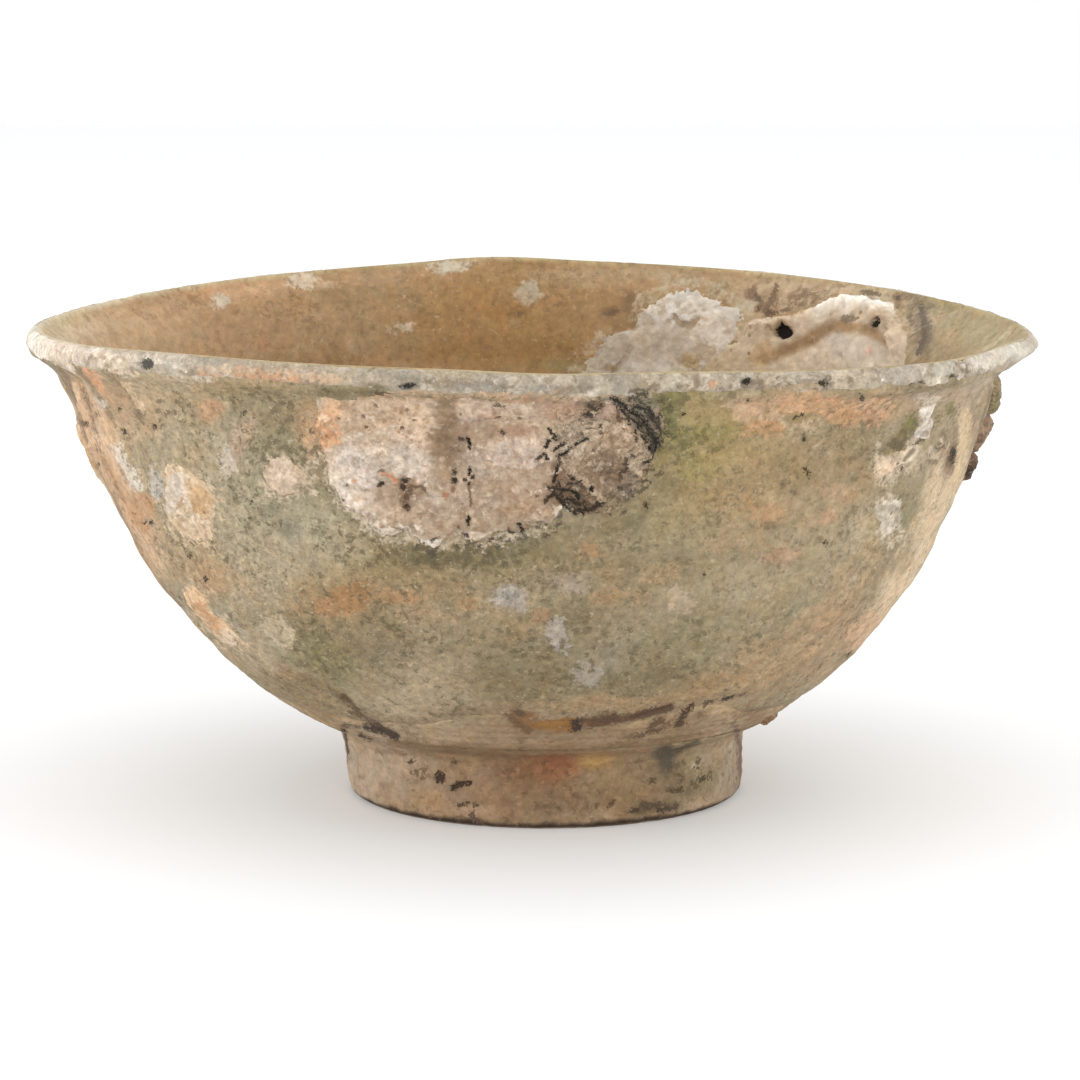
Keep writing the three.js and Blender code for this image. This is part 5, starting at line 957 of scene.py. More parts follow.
def inside_paint(p, n, ph):
    c = Canvas(p, n, rgb("amber"), 51)
    d = np.degrees(np.arctan2(np.sin(ph), np.cos(ph)))
    left = sstep(115, 175, np.abs(d))
    right = sstep(55, 10, np.abs(d))
    n1, n2 = fbm(p, 26, 3, 400), fbm(p, 9, 3, 401)
    c.col = mix((152, 118, 76), (172, 138, 98), sstep(-0.45, 0.45, n1 * 0.8 + n2 * 0.5))
    c.col = mix(c.col, (194, 160, 124), 0.8 * left * sstep(45, 70, p[:, 2]))
    c.col = mix(c.col, (176, 158, 122), 0.8 * right * sstep(45, 70, p[:, 2]))
    full = 1 - 0.7 * c.seen
    c.col = mix(c.col, (146, 128, 84), 0.6 * full * sstep(0.1, 0.5, fbm(p, 18, 3, 402)))
    c.col = mix(c.col, (186, 138, 96), 0.5 * full * sstep(0.2, 0.5, fbm(p, 10, 3, 403)))
    c.col = mix(c.col, (196, 180, 158), 0.6 * full * sstep(0.34, 0.46, fbm(p, 7, 2, 404)))
    # floor and lower wall: pooled darker glaze round the floor, silt, lime spots and dark pits
    low = sstep(60, 24, p[:, 2] + 10 * fbm(p, 15, 3, 411)) * np.maximum(1 - c.seen, sstep(390, 410, c.y))
    r = np.hypot(p[:, 0], p[:, 1]) + 4.0 * fbm(p, 16, 3, 405)
    c.col = mix(c.col, (118, 95, 58), 0.5 * low * np.exp(-((r - 33) / 7.0) ** 2))
    c.col = mix(c.col, (186, 166, 132), 0.6 * low * sstep(0.05, 0.45, fbm(p, 13, 3, 406)))
    c.col = mix(c.col, (124, 110, 68), 0.5 * low * sstep(0.08, 0.45, fbm(p, 19, 3, 407)))
    c.col = mix(c.col, (182, 132, 90), 0.5 * low * sstep(0.15, 0.45, fbm(p, 8, 3, 408)))
    c.lay(INSIDE_MARKS)
    off = 6.0 * sstep(0.5, 0.0, low)
    c.flecks(3.0 * (fbm(p, 6.5, 3, 409) - 0.41) - off, (204, 188, 162), 0.65, 1)
    c.flecks(1.6 * (fbm(p, 2.4, 2, 410) - 0.49) - off, (86, 69, 47), 0.75)
    return c


# ------------------------------------------------------------------ outside glaze
def build_outside():
    N, R = 860, 205
    phi = front_dense(N, 3.0)
    t0 = np.interp(glaze_edge(phi), outer.z, outer.t)
    t1 = outer.at_z(79.2)
    k = np.linspace(0, 1, R) ** 0.97
    t = t0[None] + (t1 - t0)[None] * k[:, None]
    ph = np.broadcast_to(phi, t.shape)
    p, n = place(outer, t.ravel(), ph.ravel())
    c = outside_paint(p, n)
    # the glaze thins out to the clay's colour at its lower edge
    run = (t - t0[None]).ravel()
    thin = sstep(6.0, 0.6, run + 3.0 * fbm(p, 5, 3, 41))
    bare = mix((150, 127, 99), (172, 149, 119), sstep(-0.4, 0.4, fbm(p, 12, 3, 330)))
    c.col = mix(c.col, bare, 0.85 * thin)
    grade(c, 70)
    d = wall_relief(p, t.ravel(), 100) + c.h
    edge = sstep(0, 4.5, run)
    d = d * (0.3 + 0.7 * edge) - 0.3 * (1 - edge)
    top = sstep(0, 1.2, (t1 - t).ravel())
    d = d * (0.4 + 0.6 * top) - 0.25 * (1 - top)
    p, _ = place(outer, t.ravel(), ph.ravel(), d)
    back = []
    for kk in np.linspace(1.0, 0.0, 16):
        tb = t0 + (t1 - t0) * kk
        back.append(place(outer, tb, phi, -0.8)[0])
    rings = np.concatenate([p.reshape(R, N, 3), np.array(back)])
    v, q, tr, uv = grid(rings, loop=True)
    me = make_mesh("outside_glaze_coat", v, q, tr, uv)
    set_paint(me, [paint_of(c), plain(len(v) - len(p), "clay")], G_WALL)
    return add_piece("outside_glaze_coat", me, "outside_glaze", M_WALL)


# ------------------------------------------------------------------ thrown body
def build_body():
    N = 580
    phi = front_dense(N, 2.2)
    tz = outer.at_z
    ta = np.linspace(0, tz(25.0), 84)
    tb = np.r_[np.linspace(tz(26.0), tz(73.0), 12), np.linspace(tz(74.0), outer.length, 16)]
    rings, parts = [], []
    # underside of the base, from the middle out to the foot joint
    under = np.concatenate([np.linspace(0.8, 26.6, 24), np.linspace(27.5, 34.4, 4)])
    uz = np.interp(under, [0, 25.7, 34.6], [8.4, 8.9, 12.6])
    x = under[:, None] * np.cos(phi)
    y = under[:, None] * np.sin(phi)
    z = np.broadcast_to(uz[:, None], x.shape)
    pu = np.stack([x + FOOT_OFFSET, y, z], -1).reshape(-1, 3)
    turn = 0.10 * np.sin(np.repeat(under, N) * 2 * np.pi / 3.2) * sstep(25.5, 23, np.repeat(under, N))
    pu[:, 2] += (turn + 0.16 * fbm(pu, 6, 3, 300) + 0.06 * fbm(pu, 1.6, 2, 301)) * sstep(33, 24, np.repeat(under, N))
    cu = Canvas(pu, np.tile([0, 0, -1.0], (len(pu), 1)), rgb("clay"), 21)
    cu.col = mix((150, 122, 94), (182, 158, 128), sstep(-0.4, 0.4, fbm(pu, 12, 3, 310)))
    cu.col = mix(cu.col, (128, 98, 70), 0.7 * sstep(0.1, 0.45, fbm(pu, 9, 3, 311)))
    cu.col = mix(cu.col, (206, 194, 176), 0.7 * sstep(0.2, 0.42, fbm(pu, 7, 3, 312)))
    cu.col = mix(cu.col, (92, 74, 56), 0.7 * sstep(24.0, 26.0, np.repeat(under, N)))
    grade(cu, 320)
    rings.append(pu.reshape(len(under), N, 3)); parts.append(paint_of(cu))
    # bare band above the foot, slipping under the glaze
    t, ph = np.repeat(ta, N), np.tile(phi, len(ta))
    p, n = place(outer, t, ph)
    c = Canvas(p, n, rgb("clay"), 11, wrap=True)
    c.col = bare_clay(p)
    c.lay([m for m in WALL_MARKS if m[0] == "s" or m[2] > 600] + FOOT_MARKS)
    grade(c, 70)
    gt = np.interp(glaze_edge(ph), outer.z, outer.t)
    d = 0.16 * fbm(p, 9, 3, 340) + 0.07 * fbm(p, 2.2, 3, 341) + c.h * 0.7 - 0.05 - 0.55 * sstep(0.0, 2.5, t - gt)
    d = d + 0.06 * np.sin(t * 2 * np.pi / 2.4) - 0.25 * sstep(1.2, 0.0, t)
    p, _ = place(outer, t, ph, d)
    rings.append(p.reshape(len(ta), N, 3)); parts.append(paint_of(c))
    # the clay core under the coats
    for wall, ts, off in ((outer, tb, -0.95), (inner, np.r_[np.linspace(inner.length, inner.length - 12, 12), np.linspace(inner.length - 15, 6, 18)], -0.95)):
        t, ph = np.repeat(ts, N), np.tile(phi, len(ts))
        p, n = place(wall, t, ph, off)
        rings.append(p.reshape(len(ts), N, 3)); parts.append(plain(len(p), "clay"))
    rings = np.concatenate(rings)
    mid = place(inner, 0.0, 0.0, -0.95)[0]
    v, q, tr, uv = grid(rings, start=(FOOT_OFFSET, 0, 8.4), end=mid)
    me = make_mesh("thrown_body", v, q, tr, uv)
    set_paint(me, parts + [plain(2, "clay")], G_CLAY)
    return add_piece("thrown_body", me, "bowl_body", M_CLAY)


# ------------------------------------------------------------------ foot ring
def build_foot():
    N = 560
    phi = front_dense(N, 1.4)
    to = np.linspace(0.75, footw.length, 76)
    t, ph = np.repeat(to, N), np.tile(phi, len(to))
    p, n = place(footw, t, ph)
    c = Canvas(p, n, rgb("clay"), 11, wrap=True)
    c.col = mix((150, 124, 96), (172, 148, 122), sstep(-0.4, 0.4, fbm(p, 14, 3, 350)))
    c.col = mix(c.col, rgb("claywarm"), 0.7 * (1 - 0.6 * c.seen) * sstep(0.1, 0.45, fbm(p, 11, 3, 351)))
    c.col = mix(c.col, (100, 82, 62), 0.6 * (1 - 0.8 * c.seen) * sstep(0.25, 0.45, fbm(p, 5, 3, 352)))
    c.col = mix(c.col, bare_clay(p), sstep(9.0, 12.6, p[:, 2]))
    c.lay([m for m in WALL_MARKS if m[0] == "s" or m[2] > 690] + FOOT_MARKS)
    # dark lower edge: painted contact shade where the ring meets the floor
    c.col = mix(c.col, (52, 40, 32), 0.93 * sstep(1.95, 0.85, t + 0.6 * fbm(p, 4, 3, 353)))
    grade(c, 70)
    f1, _, own = cells(p, 3.4, 361)
    pits = sstep(0.26, 0.10, f1) * (own > 0.84)
    c.flecks(np.where(own > 0.84, 0.14 - f1, -9) * 3.4, "umber", 0.85)
    d = 0.28 * fbm(p, 12, 3, 362) + 0.12 * fbm(p, 3.0, 3, 363) + 0.05 * fbm(p, 1.2, 2, 364) + c.h - 0.35 * pits
    d = d + 0.05 * np.sin(p[:, 2] * 2 * np.pi / 2.2 + fbm(p, 20, 2, 365) * 4)
    d = d * sstep(0.2, 1.8, t) * sstep(footw.length, footw.length - 4.0, t)
    p, _ = place(footw, t, ph, d)
    rows = [p.reshape(len(to), N, 3)]
    parts = [paint_of(c)]
    # top of the ring, inner wall and resting face
    sect = np.concatenate([
        np.stack([np.linspace(33.6, 26.4, 8), np.linspace(12.1, 8.95, 8)], -1),
        np.stack([np.linspace(25.95, 26.25, 26), np.linspace(8.5, 1.4, 26)], -1),
        np.stack([np.linspace(26.5, 27.6, 6), np.linspace(0.85, 0.06, 6)], -1),
        np.stack([np.linspace(28.2, 32.5, 16), np.zeros(16)], -1)])
    r, z = np.repeat(sect[:, 0], N), np.repeat(sect[:, 1], N)
    ph = np.tile(phi, len(sect))
    q = np.stack([r * np.cos(ph) + FOOT_OFFSET, r * np.sin(ph), z], -1)
    inside = sstep(0.6, 2.0, z) * (r < 27)
    rr = r - inside * (0.22 * fbm(q, 8, 3, 370) + 0.10 * fbm(q, 2.4, 3, 371))
    zz = np.maximum(z + 0.0, 0) + (z < 0.01) * np.abs(0.10 * fbm(q, 3.5, 3, 372)) * sstep(0.3, 1.2, np.minimum(r - 27.6, 33.0 - r) + 0.3)
    q = np.stack([rr * np.cos(ph) + FOOT_OFFSET, rr * np.sin(ph), zz], -1)
    cb = Canvas(q, np.tile([0, 0, -1.0], (len(q), 1)), rgb("clay"), 33)
    cb.col = mix((148, 122, 94), (182, 158, 130), sstep(-0.4, 0.4, fbm(q, 10, 3, 373)))
    cb.col = mix(cb.col, (112, 88, 64), 0.7 * sstep(0.15, 0.45, fbm(q, 6, 3, 374)))
    cb.col = mix(cb.col, (204, 190, 170), 0.6 * sstep(0.22, 0.42, fbm(q, 5, 3, 375)))
    grade(cb, 376)
    rows.append(q.reshape(len(sect), N, 3)); parts.append(paint_of(cb))
    v, qd, tr, uv = grid(np.concatenate(rows), loop=True)
    me = make_mesh("turned_foot", v, qd, tr, uv)
    set_paint(me, parts, G_CLAY)
    return add_piece("turned_foot", me, "foot_ring", M_CLAY)


# ------------------------------------------------------------------ inside glaze
def build_inside():
    N, R = 640, 132
    phi = front_dense(N, 1.8, middle=90)
    coat = Wall(INSIDE[:-1] + [(83.2, 81.6), (83.75, 81.5), (84.0, 81.38)], -1)
    top = coat.length
    k = np.linspace(0, 1, R)
    ts = top - (top - 1.2) * k ** 1.15
    t, ph = np.repeat(ts, N), np.tile(phi, R)
    p, n = place(coat, t, ph)
    c = inside_paint(p, n, ph)
    # thin yellow-green line where the glaze runs over the lip
    line = sstep(2.2, 1.0, top - t)
    pale = mix((178, 156, 112), (198, 182, 144), sstep(-0.3, 0.3, fbm(p, 12, 2, 405)))
    pale = mix(pale, (222, 210, 184), sstep(-0.5, -0.95, np.cos(ph)))
    c.col = mix(c.col, pale, 0.8 * line)
    grade(c, 410, 0.7)
    f1, _, own = cells(p, 2.6, 411)
    pits = sstep(0.22, 0.10, f1) * (own > 0.8)
    c.flecks(np.where(own > 0.8, 0.13 - f1, -9) * 2.6, (108, 82, 54), 0.7)
    dd = (inside_relief(p, t) + c.h - 0.15 * pits) * sstep(1.2, 4.0, top - t)
    p, _ = place(coat, t, ph, dd)
    back = []
    for tb in np.r_[2.0, np.linspace(8, top - 12, 10), np.linspace(top - 10, top - 0.1, 12)]:
        back.append(place(coat, np.full(N, tb), phi, -0.7)[0])
    mid = place(inner, 0.0, 0.0, 0.0)[0]
    # the coat's hidden face, closed under it
    rings = np.concatenate([np.array(back), p.reshape(R, N, 3)])
    v, q, tr, uv = grid(rings, start=place(inner, 0.0, 0.0, -0.7)[0], end=mid)
    me = make_mesh("inside_glaze_coat", v, q, tr, uv)
    set_paint(me, [plain(len(back) * N, "clay"), paint_of(c), plain(1, "clay"), plain(1, "amber")], G_IN)
    return add_piece("inside_glaze_coat", me, "inside_glaze", M_IN)


# ------------------------------------------------------------------ lime on the lip
def build_lip():
    N, R = 1100, 54
    phi = front_dense(N, 1.3)
    ring = np.stack([85 * np.cos(phi), 85 * np.sin(phi), 0 * phi], -1)
    t0, t1 = outer.at_z(77.7), outer.length - 0.15 - 0.35 * (0.5 + 0.5 * np.clip(fbm(ring, 9, 3, 501) * 2, -1, 1))
    low = 0.9 * fbm(ring, 13, 2, 502) + 0.7 * fbm(ring, 5, 3, 500) + 0.3 * fbm(ring, 1.6, 2, 503)
    at = lambda m, wide: np.exp(-(((np.degrees(phi) - m + 540) % 360 - 180) / wide) ** 2)
    ta = t0 + np.clip(low, -1.3, 0.9) + 1.0 * at(-124, 11) + 0.9 * at(-60, 14) - 2.6 * at(-17, 8)
    k = np.linspace(0, 1, R)
    t = (ta[None] + (t1 - ta)[None] * k[:, None]).ravel()
    ph = np.tile(phi, R)
    t1f = np.tile(t1, R)
    p, n = place(outer, t, ph)
    c = Canvas(p, n, rgb("greywhite"), 61)
    n1 = fbm(p, 16, 3, 510) * 0.8 + fbm(p, 5, 3, 511) * 0.7
    c.col = mix((178, 165, 147), (212, 199, 180), sstep(-0.4, 0.4, n1))
    # plates of lime, parted by cracks across the lip
    q = np.stack([p[:, 0], p[:, 1], p[:, 2] * 0.55], -1)
    f1, f2, own = cells(q, 9.0, 512)
    plate = (own - 0.5)
    crack = sstep(0.06, 0.0, f2 - f1) * sstep(-0.25, 0.15, fbm(p, 9, 2, 515))
    c.col = c.col * (1 + 0.17 * plate[:, None])
    c.col = mix(c.col, (128, 112, 94), 0.62 * crack)
    c.col = mix(c.col, (176, 160, 132), 0.5 * sstep(0.28, 0.5, fbm(p, 6, 3, 513)))
    low_edge = sstep(1.5, 0.2, t - np.tile(ta, R))
    c.col = mix(c.col, (172, 148, 120), 0.5 * low_edge * sstep(-0.2, 0.3, fbm(p, 5, 2, 514)))
    c.col = mix(c.col, (150, 136, 118), 0.55 * sstep(0.2, 0.42, fbm(p, 2.6, 3, 516)))
    c.col = mix(c.col, (232, 222, 206), 0.55 * sstep(0.22, 0.42, fbm(p, 2.2, 3, 517)))
    c.lay(LIP_MARKS)
    # yellow glaze showing at the front edge of the rim
    gold = sstep(0.85, 0.35, t1f - t) * sstep(-0.35, -0.75, np.sin(ph))
    c.col = mix(c.col, (202, 186, 142), 0.75 * gold)
    grade(c, 520)
    dd = 0.16 * plate - 0.22 * crack + 0.18 * fbm(p, 4.5, 3, 521) + 0.10 * fbm(p, 1.6, 3, 522) + c.h
    f1, _, _ = cells(p, 1.1, 523)
    dd = dd + 0.07 * (0.5 - f1)
    ends = sstep(0.0, 1.1, t - np.tile(ta, R)) * sstep(0.0, 0.7, t1f - t)
    dd = np.maximum(dd, -0.3) * (0.35 + 0.65 * ends) + 0.12 * ends - 0.26 * (1 - ends)
    p, _ = place(outer, t, ph, dd)
    back = [place(outer, ta + (t1 - ta) * kk, phi, -0.55)[0] for kk in (0.97, 0.7, 0.4, 0.15)]
    v, qd, tr, uv = grid(np.concatenate([p.reshape(R, N, 3), np.array(back)]), loop=True)
    me = make_mesh("lip_lime_band", v, qd, tr, uv)
    set_paint(me, [paint_of(c), plain(len(v) - len(p), "greywhite")], G_LIP)
    return add_piece("lip_lime_band", me, "lip_lime_crust", M_LIP)


# ------------------------------------------------------------------ crusts
def crust(name, node, slot, material, wall, centre, outline, thick, marks=(), base="coral", seed=0, n_ang=220, n_rad=70,
          relief=None, lobes=0.5, shoulder=0.8, polygon=None, sink=0.3, tone=None, gain=None, rough=1.0, grow=1.05, melt=1.5, lipped=False):
    """A grown crust on a wall. The outline is a polygon in the view, or radii in millimetres round (azimuth, height)."""
    a = np.linspace(0, 2 * np.pi, n_ang, endpoint=False)
    if polygon is not None:
        f0, t0 = seek(wall, *centre)
        q = np.array([seek(wall, x, y) for x, y in polygon])
        u, v = (q[:, 0] - f0) * wall.at(q[:, 1])[0], q[:, 1] - t0
        R = np.zeros(n_ang)
        for i in range(len(u)):
            ax, ay, bx, by = u[i], v[i], u[(i + 1) % len(u)], v[(i + 1) % len(u)]
            ex, ey = bx - ax, by - ay
            det = np.cos(a) * -ey + np.sin(a) * ex
            det = np.where(np.abs(det) < 1e-9, 1e-9, det)
            s = (ax * -ey + ay * ex) / det
            k = (np.cos(a) * ay - np.sin(a) * ax) / det
            hit = (s > 0) & (k >= -1e-6) & (k <= 1 + 1e-6)
            R = np.where(hit, np.maximum(R, s), R)
        miss = R <= 0
        if miss.any():
            R[miss] = np.interp(a[miss], a[~miss], R[~miss], period=2 * np.pi)
        win = np.array([1, 2, 3, 2, 1.0]) / 9
        R = sum(w * np.roll(R, s) for w, s in zip(win, (-2, -1, 0, 1, 2)))
    else:
        f0, t0 = math.radians(centre[0]), wall.at_z(centre[1])
        o = np.array(outline, float)
        R = np.interp(a, np.linspace(0, 2 * np.pi, len(o) + 1), np.r_[o, o[0]])
        win = np.exp(-(np.arange(-9, 10) / (n_ang / len(o) * 0.45)) ** 2)
        R = sum(w * np.roll(R, s) for w, s in zip(win / win.sum(), range(-9, 10)))
    ring = np.stack([R * np.cos(a) + seed * 13.7, R * np.sin(a), 0 * a + seed * 3.1], -1)
    R = R * grow + lobes * (0.9 * fbm(ring, 3.6, 3, seed + 600) + 0.6 * fbm(ring, 1.2, 2, seed + 601))
    rho = np.linspace(0, 1, n_rad + 1)[1:] ** 0.8
    u = (rho[:, None] * (R * np.cos(a))[None]).ravel()
    v = (rho[:, None] * (R * np.sin(a))[None]).ravel()
    rr = np.repeat(rho, n_ang)
    t = np.clip(t0 + v, 0.05, wall.length - 0.05)
    ph = f0 + u / wall.at(t)[0]
    p, n = place(wall, t, ph)
    c = Canvas(p, n, rgb(base), seed + 700, fade=3.5)
    tone = tone or (base, "coralpale", "coralpink")
    c.col = mix(rgb(tone[0]), rgb(tone[1]), sstep(-0.1, 0.45, fbm(p, 5.5, 3, seed + 602)))
    c.col = mix(c.col, rgb(tone[2]), 0.8 * sstep(0.0, 0.5, fbm(p, 7.5, 3, seed + 603)))
    c.lay(marks)
    f1, f2, own = cells(p, 2.3, seed + 604)
    pores = sstep(0.24, 0.08, f1) * (own > 0.62)
    g1, _, gown = cells(p, 0.95, seed + 605)
    rag = 0.6 * fbm(p, 1.1, 3, seed + 620) + 0.5 * fbm(p, 3.2, 2, seed + 621)
    body = 1 - sstep(shoulder, 1.0, rr + 0.16 * rag * sstep(0.4, 0.8, rr))
    gain = gain or (G_CHALK if wall is inner else G_CRUST)
    if melt:
        # the rim thins to the colour of the wall it grew on
        cw, gw = (outside_paint(p, n), G_WALL) if wall is outer else (inside_paint(p, n, ph), G_IN)
        ratio = (np.array(gw) / np.array(gain)) ** (1 / 2.2)
        m = sstep(melt, 0.0, (1 - rr) * np.tile(R, n_rad) + 1.3 * melt * rag)
        if lipped:
            m = m * sstep(391, 401, c.y)
        c.col = mix(c.col, cw.col * ratio, m)
        for mine, below in zip(c.over, cw.over):
            swap = (m > 0.5) & (below[1] >= mine[1])
            mine[0][swap], mine[1][swap] = below[0][swap] * ratio, below[1][swap]
        c.over[0][1][m > 0.5] *= 0.6
    bumpy = 0.55 * fbm(p, 4.6, 3, seed + 606) + 0.34 * fbm(p, 2.0, 3, seed + 607) + 0.20 * (0.55 - g1) + 0.12 * fbm(p, 0.8, 2, seed + 608) - 0.38 * pores
    bumpy = bumpy * rough
    base_h = wall_relief(p, t, 100) if wall is outer else inside_relief(p, t)
    h = thick * body * (0.85 + 0.3 * fbm(p, 8, 2, seed + 609)) + bumpy * np.minimum(1, thick / 1.1) * body + c.h * body
    if relief is not None:
        h = h + relief(c, u, v, rr) * body
    if lipped:
        # it thins where it runs up under the lip
        h = h * (1 - 0.8 * sstep(75.0, 77.2, wall.at(t)[1]))
    h = np.maximum(h, 0.1 * body) - sink * (1 - body) + base_h
    # painted shade and light: pores and hollows darker, crests paler, the colour following the relief
    c.flecks(np.where(own > 0.62, 0.13 - f1, -9) * 2.3 - 3 * (1 - c.tex), (118, 96, 72), 0.75)
    c.scale((1 + 0.10 * np.clip(bumpy, -1, 1))[:, None] * (1 + 0.10 * (gown - 0.5))[:, None])
    grade(c, seed + 610, 0.8)
    p, _ = place(wall, t, ph, h)
    top = p.reshape(n_rad, n_ang, 3)
    pole = top[0].mean(0)
    under = []
    for f in np.r_[0.985, np.linspace(0.9, 0.08, 12)]:
        tb = np.clip(t0 + f * R * np.sin(a), 0.05, wall.length - 0.05)
        pb = f0 + f * R * np.cos(a) / wall.at(tb)[0]
        under.append(place(wall, tb, pb, -sink - 0.75)[0])
    under = np.array(under)
    low = place(wall, t0, f0, -sink - 0.75)[0]
    # from the hidden face outwards and over the top; the turn is mirrored on the inside wall
    turn = -1 if wall is inner else 1
    rings = np.concatenate([under[::-1], top[::-1]])[:, ::turn]
    vtx, q, tr, uv = grid(rings, start=low, end=pole)
    order = np.arange(n_rad * n_ang).reshape(n_rad, n_ang)[::-1, ::turn].ravel()
    me = make_mesh(name, vtx, q, tr, uv)
    set_paint(me, [plain(len(under) * n_ang, base), paint_of(c, order), plain(1, base), paint_of(c, np.array([0]))], gain)
    return add_piece(name, me, node, material)


